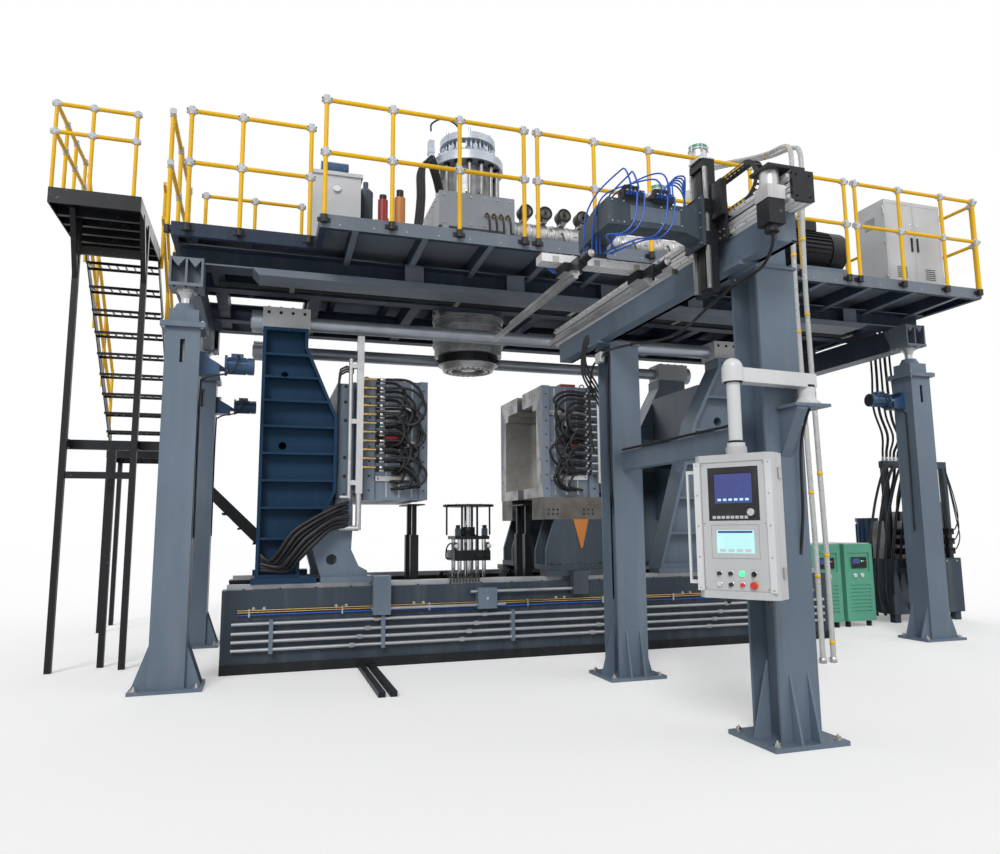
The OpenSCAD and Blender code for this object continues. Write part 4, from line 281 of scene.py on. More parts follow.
SLATE = Finish("slate_enamel", (0.140, 0.190, 0.250), rough=0.42, amount=0.12, chips=0.4, coat=0.1)
# Darker copy of the platform enamel for the deck's underside and the girders' inner faces: painted shade, not a
# paint of its own.
PAINTED_SHADE = Finish("underdeck_painted_shade", (0.040, 0.056, 0.088), rough=0.5, amount=0.06, chips=0.3, spec=0.12)
DARK = Finish("dark_slate_enamel", (0.060, 0.080, 0.104), rough=0.42, amount=0.10, chips=0.5, spec=0.25)
SIDE = Finish("mould_enamel", (0.200, 0.250, 0.320), rough=0.4, amount=0.2, chips=0.6, coat=0.1)
GREY = Finish("grey_enamel", (0.300, 0.325, 0.360), rough=0.4, amount=0.2, chips=0.4)
NAVY = Finish("navy_enamel", (0.044, 0.062, 0.086), rough=0.4, amount=0.12, chips=0.6, coat=0.05, spec=0.25)
DEEP = Finish("strongback_enamel", (0.016, 0.050, 0.102), rough=0.5, amount=0.03, chips=0.2, spec=0.1)
GIRDER = Finish("platform_enamel", (0.168, 0.200, 0.248), rough=0.45, amount=0.12, chips=0.3, scale=0.8)
YELLOW = Finish("safety_yellow", (0.96, 0.55, 0.014), rough=0.36, amount=0.01, chips=0.05, spec=0.2)
BLACK = Finish("black_enamel", (0.014, 0.015, 0.018), rough=0.4, amount=0.05, chips=0.4, coat=0.05,
               second=(0.2, 0.2, 0.2), spec=0.25)
PALE = Finish("powder_coat", (0.62, 0.635, 0.65), rough=0.4, amount=0.12, chips=0.1, second=(0.4, 0.39, 0.36))
WHITE = Finish("white_enamel", (0.76, 0.775, 0.785), rough=0.35, amount=0.08, chips=0.1, coat=0.2)
GREEN = Finish("green_enamel", (0.10, 0.40, 0.27), rough=0.36, amount=0.1, chips=0.3, coat=0.2)
MOTOR = Finish("motor_blue", (0.025, 0.075, 0.17), rough=0.36, amount=0.12, chips=0.4, coat=0.25)
RED = Finish("valve_red", (0.36, 0.022, 0.022), rough=0.4, amount=0.12, chips=0.3, coat=0.2)
ORANGE = Finish("orange_enamel", (0.62, 0.22, 0.04), rough=0.4, amount=0.2, chips=0.5, coat=0.1)
CAST = Finish("cast_steel", (0.36, 0.365, 0.375), Skin.MACHINED, 0.4, 0.7, (0.09, 0.075, 0.06), 0.5,
              lines=(24, 24, 24), bump=0.3, depth=0.0008)
HEAT = Finish("heated_steel", (0.62, 0.625, 0.635), Skin.MACHINED, 0.34, 0.6, (0.06, 0.055, 0.05), 0.5,
              lines=(18, 18, 18), bump=0.35, depth=0.001)
TIE = Finish("tie_bar_steel", (0.55, 0.60, 0.68), Skin.MACHINED, 0.3, 0.5, (0.2, 0.19, 0.17), 0.2,
             lines=(1.5, 70, 70))
STEEL = Finish("ground_steel", (0.66, 0.665, 0.68), Skin.MACHINED, 0.3, 0.8, (0.2, 0.18, 0.16), 0.3,
               lines=(90, 90, 3))
STEEL_X = Finish("drawn_bar", (0.52, 0.535, 0.56), Skin.MACHINED, 0.32, 0.65, (0.2, 0.19, 0.17), 0.25,
                 lines=(1.5, 70, 70))
CHROME = Finish("hard_chrome", (0.78, 0.79, 0.81), Skin.MACHINED, 0.08, 1.0, (0.5, 0.5, 0.5), 0.12,
                lines=(3, 120, 120), bump=0.04)
ZINC = Finish("zinc_bolt", (0.55, 0.55, 0.53), Skin.MACHINED, 0.32, 1.0, (0.25, 0.2, 0.1), 0.4,
              lines=(40, 40, 40))
BLACK_BOLT = Finish("black_bolt", (0.03, 0.03, 0.032), Skin.MACHINED, 0.4, 0.8, (0.12, 0.08, 0.05), 0.4,
                    lines=(40, 40, 40))
WORN = Finish("worn_plate", (0.18, 0.172, 0.160), Skin.MACHINED, 0.42, 0.4, (0.08, 0.06, 0.045), 0.6)
BRASS = Finish("brass_nipple", (0.72, 0.50, 0.19), Skin.MACHINED, 0.25, 1.0, (0.3, 0.18, 0.08), 0.3,
               lines=(60, 60, 60))
MOULD = Finish("milled_mould", (0.40, 0.405, 0.415), Skin.MACHINED, 0.36, 0.85, (0.1, 0.09, 0.085), 0.45,
               lines=(3, 55, 55), bump=0.25)
CAVITY = Finish("blasted_cavity", (0.55, 0.54, 0.52), Skin.MACHINED, 0.5, 0.8, (0.25, 0.2, 0.16), 0.3,
                lines=(20, 20, 20))
PROFILE = Finish("anodised_profile", (0.90, 0.90, 0.915), Skin.MACHINED, 0.32, 0.4, (0.35, 0.35, 0.35), 0.12,
                 lines=(70, 1.5, 70))
PLASTIC = Finish("black_moulding", (0.020, 0.020, 0.022), Skin.GRAIN, 0.45, second=(0.08, 0.08, 0.085),
                 amount=0.4, scale=260)
RUBBER = Finish("black_rubber", (0.014, 0.014, 0.016), Skin.GRAIN, 0.42, second=(0.06, 0.06, 0.062),
                amount=0.5, scale=180, bump=0.2)
BLUE_TUBE = Finish("blue_tube", (0.012, 0.10, 0.52), Skin.GRAIN, 0.28, second=(0.06, 0.22, 0.7), amount=0.3,
                   scale=120, coat=0.3)
CLEAR = Finish("clear_hose", (0.64, 0.66, 0.65), Skin.GRAIN, 0.22, second=(0.55, 0.55, 0.5), amount=0.5,
               scale=90, coat=0.4, clear=0.35)
GLASS = Finish("screen_blue", (0.020, 0.030, 0.16), Skin.GRAIN, 0.12, second=(0.03, 0.05, 0.24), amount=0.7,
               scale=30, coat=0.8, glow=0.5, bump=0.0)
TEAL = Finish("screen_teal", (0.40, 0.70, 0.70), Skin.GRAIN, 0.15, second=(0.52, 0.80, 0.79), amount=0.6,
              scale=30, coat=0.6, glow=0.45, bump=0.0)
LAMP = Finish("lit_green", (0.05, 0.85, 0.25), Skin.GRAIN, 0.2, second=(0.5, 1.0, 0.6), amount=0.6,
              scale=60, coat=0.5, glow=1.6, bump=0.0)
RED_CAP = Finish("red_cap", (0.62, 0.03, 0.02), Skin.GRAIN, 0.25, second=(0.7, 0.1, 0.06), amount=0.3,
                 scale=200, coat=0.5)

NODE_FINISH: dict[Finish, tuple[str, ...]] = {
    NAVY: ("base_frame", "hydraulic_station", "clamp_cylinder", "robot_drive"),
    SLATE: ("platform_columns", "robot_frame", "left_platen", "right_carriage", "sync_gear_block",
            "extruder_drive", "right_outer_frame"),
    DARK: ("robot_arm",),
    GIRDER: ("platform_frame",),
    DEEP: ("left_strongback",),
    STEEL_X: ("front_pipes", "lower_rack", "upper_rack"),
    TIE: ("tie_bars",),
    MOTOR: ("jack_drives",),
    PROFILE: ("robot_rail_profile",),
    BLACK: ("stair_tower", "robot_carriage", "blow_unit_frame", "blow_head"),
    YELLOW: ("stair_rails", "guard_rails"),
    GREEN: ("temperature_units",),
    PLASTIC: ("rail_clamps", "energy_chain", "button_black_one", "button_black_two", "button_black_three",
              "selector_knob"),
    STEEL: ("jack_screws", "die_mandrel", "shot_piston", "extruder_screw", "extruder_barrel",
            "material_loaders", "sync_pinion", "gripper_jaw_left", "gripper_jaw_right", "display_knob"),
    CAST: ("head_body", "head_top"),
    PALE: ("head_power_unit", "electrical_cabinet", "cabinet_door_left", "cabinet_door_right", "hmi_panel"),
    WHITE: ("hmi_arm", "button_white"),
    MOULD: ("left_mould", "right_mould"),
    RUBBER: ("left_hoses", "right_hoses"),
    CHROME: ("clamp_rod",),
    CLEAR: ("material_hoses",),
    RED_CAP: ("button_red", "stop_button"),
}


class Shape:
    """Faces and finishes of one piece, gathered in metres before they become an object."""

    def __init__(self) -> None:
        """Start empty."""
        self.points: list[Vector] = []
        self.faces: list[tuple[int, ...]] = []
        self.kinds: list[int] = []
        self.smooth: list[bool] = []
        self.finishes: list[Finish] = []

    def _kind(self, finish: Finish) -> int:
        """Material index of a finish, added at its first use."""
        if finish not in self.finishes:
            self.finishes.append(finish)
        return self.finishes.index(finish)

    def add(self, points: Iterable[Point], faces: Iterable[Sequence[int]], finish: Finish,
            smooth: bool = False) -> "Shape":
        """Append faces over their own points."""
        start, kind = len(self.points), self._kind(finish)
        self.points.extend(Vector(p) for p in points)
        for one in faces:
            self.faces.append(tuple(start + i for i in one))
            self.kinds.append(kind)
            self.smooth.append(smooth)
        return self

    def block(self, lo: Point, hi: Point, finish: Finish, bevel: float = 0.003,
              place: Matrix | None = None) -> "Shape":
        """A block with chamfered edges.

        Args:
            lo: Lowest corner.
            hi: Highest corner.
            finish: Its finish.
            bevel: Width of the chamfer.
            place: Turn and shift of the block, or None.

        Returns:
            This shape.
        """
        lo, hi = Vector(lo), Vector(hi)
        mid, half = (lo + hi) / 2, (hi - lo) / 2
        b = min(bevel, *(h * 0.45 for h in half))
        pts, index = [], {}
        for *signs, axis in product((-1, 1), (-1, 1), (-1, 1), range(3)):
            p = Vector([s * (h - b) for s, h in zip(signs, half)])
            p[axis] = signs[axis] * half[axis]
            index[(*signs, axis)] = len(pts)
            pts.append(mid + p)

        def at(axis: int, s: int, a: int, c: int, kind: int) -> int:
            """Index of the point of one corner that lies in the face across an axis."""
            key = [0, 0, 0]
            key[axis], key[(axis + 1) % 3], key[(axis + 2) % 3] = s, a, c
            return index[(*key, kind)]

        faces = []
        for axis in range(3):
            u, v = (axis + 1) % 3, (axis + 2) % 3
            for s in (-1, 1):
                ring = [at(axis, s, a, c, axis) for a, c in ((-1, -1), (1, -1), (1, 1), (-1, 1))]
                faces.append(ring[::s])
            for a, c in CORNERS:
                quad = [at(axis, s, a, c, kind) for s, kind in ((-1, u), (1, u), (1, v), (-1, v))]
                faces.append(quad[::-a * c])
        for signs in product((-1, 1), repeat=3):
            faces.append([index[(*signs, k)] for k in range(3)][::math.prod(signs)])
        if place is not None:
            pts = [place @ p for p in pts]
        return self.add(pts, faces, finish)

    def lathe(self, base: Point, tip: Point, rings: Sequence[tuple[float, float]], finish: Finish,
              sides: int = 24, smooth: bool = True) -> "Shape":
        """A turned piece from (distance, radius) rings along the line from base to tip.

        Args:
            base: Point where distances start.
            tip: Any point ahead on the axis.
            rings: Distance along the axis and radius, in order.
            finish: Its finish.
            sides: Points around.
            smooth: True to shade it round.

        Returns:
            This shape.
        """
        base = Vector(base)
        axis = (Vector(tip) - base).normalized()
        side = axis.orthogonal().normalized()
        other = axis.cross(side)
        pts = [p for d, r in rings for p in circle(base + axis * d, side, other, r, sides)]
        return self._wrap(pts, sides, finish, smooth)

    def _wrap(self, pts: list[Vector], sides: int, finish: Finish, smooth: bool = True) -> "Shape":
        """Close the skin over rings of points, with a flat face at each end."""
        faces = [(i + k, i + (k + 1) % sides, i + sides + (k + 1) % sides, i + sides + k)
                 for i in range(0, len(pts) - sides, sides) for k in range(sides)]
        self.add(pts, faces, finish, smooth)
        self.add(pts[:sides][::-1], [range(sides)], finish)
        return self.add(pts[-sides:], [range(sides)], finish)

    def rod(self, a: Point, b: Point, r: float, finish: Finish, sides: int = 20,
            edge: float = 0.0015) -> "Shape":
        """A round bar with chamfered ends."""
        length = (Vector(b) - Vector(a)).length
        e = min(edge, r * 0.4, length * 0.3)
        return self.lathe(a, b, [(0, r - e), (e, r), (length - e, r), (length, r - e)], finish, sides, sides > 8)

    def tube(self, path: Sequence[Point], r: float, finish: Finish, sides: int = 10,
             step: float = 0.03) -> "Shape":
        """A bent tube or cable swept along a smooth line through points.

        Args:
            path: Points that the line passes.
            r: Radius.
            finish: Its finish.
            sides: Points around.
            step: Distance between rings.

        Returns:
            This shape.
        """
        line = smooth_line(path, step)
        up = (line[1] - line[0]).orthogonal().normalized()
        pts = []
        for i, p in enumerate(line):
            t = (line[min(i + 1, len(line) - 1)] - line[max(i - 1, 0)]).normalized()
            up = (up - t * up.dot(t)).normalized()
            pts += circle(p, up, t.cross(up), r, sides)
        return self._wrap(pts, sides, finish)

    def build(self, name: str, body: str | Span, slot: str = "",
              replaces: Sequence[str] = ()) -> bpy.types.Object:
        """Make the object, give it its finishes and let it ride on its body, or leave it fixed where it spans
        two.

        Args:
            name: Name of the piece.
            body: CAD body that carries it, or a span of two bodies, which leaves it fixed in place.
            slot: Record slot of its main finish; not used.
            replaces: CAD nodes that it stands for.

        Returns:
            The finished object.
        """
        mesh = bpy.data.meshes.new(name)
        mesh.from_pydata([tuple(p) for p in self.points], [], self.faces)
        for finish in self.finishes:
            mesh.materials.append(finish.material())
        mesh.polygons.foreach_set("material_index", self.kinds)
        mesh.polygons.foreach_set("use_smooth", self.smooth)
        mesh.update()
        return carry(link_object(name, mesh), body, replaces)


@dataclass(frozen=True)
class Span:
    """Two bodies that a piece spans, with the points where the span starts and ends; the piece is not stretched
    between them.
    """

    low: str
    high: str
    start: Point
    end: Point


def carry(piece: bpy.types.Object, body: str | Span,
          replaces: Sequence[str] = ()) -> bpy.types.Object:
    """Let a piece ride on a body, or fix it in place when it spans two, and hide the nodes that it stands for.
    """
    if isinstance(body, Span):
        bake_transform(piece)
    else:
        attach(piece, body)
    if replaces:
        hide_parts(*replaces)
    LOG.info("%s: %d faces on %s", piece.name, len(piece.data.polygons), body)
    return piece


def circle(centre: Vector, side: Vector, other: Vector, r: float, sides: int) -> list[Vector]:
    """Points of a circle that two directions span."""
    angles = [2 * math.pi * k / sides for k in range(sides)]
    return [centre + (side * math.cos(a) + other * math.sin(a)) * r for a in angles]


def collar(inner: float, outer: float, length: float) -> list[tuple[float, float]]:
    """Rings of a plain sleeve for a turned piece."""
    return [(0, inner), (0, outer), (length, outer), (length, inner)]


def smooth_line(path: Sequence[Point], step: float) -> list[Vector]:
    """Points at an even step on a Catmull-Rom line through the path."""
    pts = [Vector(p) for p in path]
    ends = [pts[0] * 2 - pts[1], *pts, pts[-1] * 2 - pts[-2]]
    line = [pts[0]]
    for i in range(1, len(ends) - 2):
        a, b, c, d = ends[i - 1:i + 3]
        n = max(2, int((c - b).length / step))
        for k in range(1, n + 1):
            t = k / n
            line.append(0.5 * ((2 * b) + (c - a) * t + (2 * a - 5 * b + 4 * c - d) * t * t
                               + (3 * b - a - 3 * c + d) * t ** 3))
    return line


class Sort(Enum):
    """Small item that is set at many points."""

    HEX_BOLT = "hex_bolt"
    SOCKET_SCREW = "socket_screw"
    ANCHOR_NUT = "anchor_nut"
    SLEEVE = "sleeve"
    NIPPLE = "nipple"
    HOLE = "hole"


@dataclass(frozen=True)
class Turned:
    """One turned part of an item: its radius, height, offset and top radius per unit of size, and its sides."""

    radius: float
    height: float
    offset: float
    sides: int
    top: float = 0.0


ITEMS: dict[Sort, tuple[Turned, ...]] = {
    Sort.HEX_BOLT: (Turned(1.15, 0.22, 0.0, 16), Turned(0.95, 0.65, 0.22, 6, 0.88)),
    Sort.SOCKET_SCREW: (Turned(0.85, 0.9, 0.0, 14, 0.8), Turned(0.45, 0.06, 0.88, 6)),
    Sort.ANCHOR_NUT: (Turned(1.5, 0.25, 0.0, 16), Turned(1.0, 0.9, 0.25, 6, 0.94),
                      Turned(0.55, 1.5, 0.3, 10, 0.48)),
    Sort.SLEEVE: (Turned(1.0, 2.0, -1.0, 18, 0.97),),
    Sort.NIPPLE: (Turned(1.25, 0.8, 0.0, 6), Turned(0.8, 1.6, 0.8, 12), Turned(1.0, 0.5, 1.6, 12, 0.9)),
    Sort.HOLE: (Turned(1.0, 0.04, 0.0, 14), ),
}


def setter(sort: Sort) -> bpy.types.NodeTree:
    """Geometry Nodes tree that sets one sort of item at points with their own turn and size."""
    tree, ins, outs = new_group("set_" + sort.value, "GeometryNodeTree", {
        "Points": ("Geometry", None), "Item Size": ("Float", 1.0), "Finish": ("Material", None)},
        {"Items": "Geometry"})
    join = add_node(tree, "GeometryNodeJoinGeometry")
    for part in ITEMS[sort]:
        cone = add_node(tree, "GeometryNodeMeshCone", {
            "Vertices": part.sides, "Depth": part.height, "Radius Bottom": part.radius,
            "Radius Top": part.radius * (part.top or 1.0)})
        lift = add_node(tree, "GeometryNodeTransform", {"Geometry": cone.outputs["Mesh"],
                                                        "Translation": (0, 0, part.offset)})
        tree.links.new(lift.outputs[0], join.inputs[0])
    turn, size = (add_node(tree, "GeometryNodeInputNamedAttribute", {"Name": label}, data_type="FLOAT_VECTOR")
                  for label in ("turn", "size"))
    scale = add_node(tree, "ShaderNodeVectorMath", {0: size.outputs["Attribute"], "Scale": ins["Item Size"]},
                     operation="SCALE")
    put = add_node(tree, "GeometryNodeInstanceOnPoints", {
        "Points": ins["Points"], "Instance": join.outputs[0], "Rotation": turn.outputs["Attribute"],
        "Scale": scale.outputs["Vector"]})
    finish_group(tree, put, ins, outs)
    return tree


def finish_group(tree: bpy.types.NodeTree, last: bpy.types.Node, ins: object, outs: object) -> None:
    """Make a tree's result real, give it the finish and send it out."""
    real = add_node(tree, "GeometryNodeRealizeInstances", {0: last.outputs[0]})
    coat = add_node(tree, "GeometryNodeSetMaterial", {0: real.outputs[0], "Material": ins["Finish"]})
    tree.links.new(coat.outputs[0], outs[0])


class Fixings:
    """Items of one sort on one body, gathered as points and made one mesh."""

    trees: dict[Sort, bpy.types.NodeTree] = {}

    def __init__(self, sort: Sort, finish: Finish) -> None:
        """Start without points.

        Args:
            sort: The item.
            finish: Its finish.
        """
        self.sort, self.finish = sort, finish
        self.rows: list[tuple[Vector, Vector, tuple[float, float, float]]] = []

    def at(self, point: Point, along: Point = UP,
           size: float | tuple[float, float, float] = 0.012) -> "Fixings":
        """Set one item at a point with its axis along a direction."""
        turn = Vector(UP).rotation_difference(Vector(along).normalized()).to_euler()
        scale = size if isinstance(size, tuple) else (size, size, size)
        self.rows.append((Vector(point), Vector(turn), scale))
        return self

    def grid(self, origin: Point, a: Point, na: int, b: Point, nb: int, along: Point, size: float) -> "Fixings":
        """Set items on a grid of steps a and b from an origin."""
        for i in range(na):
            for k in range(nb):
                self.at(Vector(origin) + Vector(a) * i + Vector(b) * k, along, size)
        return self

    def ring(self, centre: Point, radius: float, count: int, axis: Point = UP, size: float = 0.012,
             start: float = 0.0) -> "Fixings":
        """Set items on a circle about an axis, each along that axis."""
        axis = Vector(axis).normalized()
        side = axis.orthogonal().normalized()
        for k in range(count):
            arm = Quaternion(axis, start + 2 * math.pi * k / count) @ side
            self.at(Vector(centre) + arm * radius, axis, size)
        return self

    def build(self, name: str, body: str, slot: str = "") -> bpy.types.Object:
        """Run the tree over the points and keep the result as a plain mesh.

        Args:
            name: Name of the piece.
            body: CAD body that carries it.
            slot: Record slot of its finish; not used.

        Returns:
            The finished object.
        """
        cloud = bpy.data.meshes.new(name + "_points")
        cloud.from_pydata([tuple(p) for p, _, _ in self.rows], [], [])
        for label, pick in (("turn", 1), ("size", 2)):
            layer = cloud.attributes.new(label, "FLOAT_VECTOR", "POINT")
            layer.data.foreach_set("vector", [c for row in self.rows for c in row[pick]])
        if self.sort not in self.trees:
            self.trees[self.sort] = setter(self.sort)
        values = {"Item Size": 1.0, "Finish": self.finish.material()}
        return run_tree(link_object(name + "_points", cloud), self.trees[self.sort], values, name, body)


def run_tree(holder: bpy.types.Object, tree: bpy.types.NodeTree, values: dict[str, object], name: str,
             body: str | Span, replaces: Sequence[str] = ()) -> bpy.types.Object:
    """Evaluate a Geometry Nodes tree on an object and keep a plain mesh.

    Args:
        holder: Object that feeds the tree, removed afterwards.
        tree: The tree.
        values: Input names with their values.
        name: Name of the piece.
        body: CAD body that carries it, or a span of two bodies, which leaves it fixed in place.
        replaces: CAD nodes that it stands for.

    Returns:
        The finished object.
    """
    modifier = holder.modifiers.new("build", "NODES")
    modifier.node_group = tree
    for item in tree.interface.items_tree:
        if item.item_type == "SOCKET" and item.in_out == "INPUT" and item.name in values:
            modifier[item.identifier] = values[item.name]
    bpy.context.view_layer.update()
    graph = bpy.context.evaluated_depsgraph_get()
    mesh = bpy.data.meshes.new_from_object(holder.evaluated_get(graph), preserve_all_data_layers=True,
                                           depsgraph=graph)
    bpy.data.objects.remove(holder)
    mesh.name = name
    return carry(link_object(name, mesh), body, replaces)


@dataclass
class Studio:
    """Camera at the photograph's viewpoint, soft lamps, pale floor and white surround."""

    eye: tuple[float, float, float] = (-2.4, -8.9, 1.383)
    yaw: float = 17.55
    pitch: float = 7.72
    roll: float = -0.47
    lens: float = 27.0
    floor_level: float = -0.0005
    floor_size: float = 140.0
    ambient: float = 0.48
    floor_tone: tuple[float, float] = (0.78, 0.81)
    floor_glow: float = 0.28

    def build(self) -> None:
        """Make the camera, the lamps, the world and the floor."""
        self.camera()
        self.lamps()
        self.world()
        self.floor()
        bpy.context.scene.view_settings.view_transform = "Standard"

    def camera(self) -> None:
        """Set the camera where the photograph was taken."""
        yaw, pitch, roll = (math.radians(a) for a in (self.yaw, self.pitch, self.roll))
        ahead = Vector((math.sin(yaw) * math.cos(pitch), math.cos(yaw) * math.cos(pitch), math.sin(pitch)))
        right = Vector((math.cos(yaw), -math.sin(yaw), 0))
        up = right.cross(ahead)
        r = right * math.cos(roll) + up * math.sin(roll)
        u = up * math.cos(roll) - right * math.sin(roll)
        data = bpy.data.cameras.new("camera")
        data.lens, data.sensor_width, data.sensor_fit = self.lens, 36.0, "HORIZONTAL"
        data.clip_start, data.clip_end = 0.05, 300.0
        camera = link_object("camera", data)
        turn = Matrix((r, u, -ahead)).transposed().to_4x4()
        camera.matrix_world = Matrix.Translation(self.eye) @ turn
        bpy.context.scene.camera = camera

    def lamp(self, name: str, way: Point, strength: float, spread: float) -> None:
        """Add one far soft lamp.

        Args:
            name: Its name.
            way: Direction in which its light goes.
            strength: Light on a facing surface, where pi shows a colour as it is written.
            spread: Its angle in degrees, for soft shadows.
        """
        data = bpy.data.lights.new(name, "SUN")
        data.energy, data.angle = strength, math.radians(spread)
        turn = Vector(DOWN).rotation_difference(Vector(way).normalized())
        link_object(name, data).rotation_euler = turn.to_euler()

    def lamps(self) -> None:
        """Key from the front left, fill from the right and a low lift from the front."""
        self.lamp("key", (0.42, 0.78, -0.62), 1.6, 22)
        self.lamp("fill", (-0.75, 0.45, -0.5), 0.2, 40)
        self.lamp("back", (-0.2, -0.9, -0.7), 0.36, 40)

    def world(self) -> None:
        """White surround for the camera, gloss and glass, a softer level for the rest."""
        world = bpy.data.worlds.new("surround")
        bpy.context.scene.world = world
        world.use_nodes = True
        tree = world.node_tree
        tree.nodes.clear()
        ray = add_node(tree, "ShaderNodeLightPath").outputs
        bright = ray["Is Camera Ray"]
        for label in ("Is Glossy Ray", "Is Transmission Ray"):
            more = add_node(tree, "ShaderNodeMath", {0: bright, 1: ray[label]}, operation="MAXIMUM")
            bright = more.outputs[0]
        level = add_node(tree, "ShaderNodeMapRange", {"Value": bright, "To Min": self.ambient, "To Max": 1.0})
        back = add_node(tree, "ShaderNodeBackground", {"Color": (1, 1, 1, 1), "Strength": level.outputs[0]})
        add_node(tree, "ShaderNodeOutputWorld", {0: back.outputs[0]})

    def floor(self) -> None:
        """Pale plain floor under everything."""
        mat = bpy.data.materials.new("floor_white")
        mat.use_nodes = True
        tree, (low, high) = mat.node_tree, self.floor_tone
        where = add_node(tree, "ShaderNodeTexCoord").outputs["Object"]
        noise = add_node(tree, "ShaderNodeTexNoise", {"Scale": 0.6, "Vector": where})
        tone = add_node(tree, "ShaderNodeMapRange", {
            "To Min": low, "To Max": high, "Value": noise.outputs["Fac"]})
        ray = add_node(tree, "ShaderNodeLightPath").outputs["Is Camera Ray"]
        lift = add_node(tree, "ShaderNodeMath", {0: ray, 1: self.floor_glow}, operation="MULTIPLY")
        feed(tree, tree.nodes["Principled BSDF"], {
            "Roughness": 0.9, "Specular IOR Level": 0.1, "Base Color": tone.outputs[0],
            "Emission Color": (1, 1, 1, 1), "Emission Strength": lift.outputs[0]})
        h, z = self.floor_size / 2, self.floor_level
        mesh = bpy.data.meshes.new("floor")
        mesh.from_pydata([(-h, -h, z), (h, -h, z), (h, h, z), (-h, h, z)], [], [(0, 1, 2, 3)])
        mesh.materials.append(mat)
        link_object("floor", mesh)


def dress() -> None:
    """Put the main finish on each CAD node."""
    named = {n for names in NODE_FINISH.values() for n in names}
    missing = set(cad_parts) ^ named
    if missing:
        LOG.warning("nodes without or beyond a finish: %s", sorted(missing))
    for finish, names in NODE_FINISH.items():
        for name in names:
            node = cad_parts.get(name)
            if node:
                node.data.materials.clear()
                node.data.materials.append(finish.material())
                LOG.info("%s: %s", name, finish.name)


def patch(node: str, finish: Finish, test: Callable[[Vector], bool]) -> None:
    """Give the faces of a node whose middle passes a test another finish.

    Args:
        node: The CAD node.
        finish: The other finish.
        test: Says for a face's middle whether it gets it.
    """
    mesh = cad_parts[node].data
    mesh.materials.append(finish.material())
    last = len(mesh.materials) - 1
    for face in mesh.polygons:
        if test(face.center):
            face.material_index = last


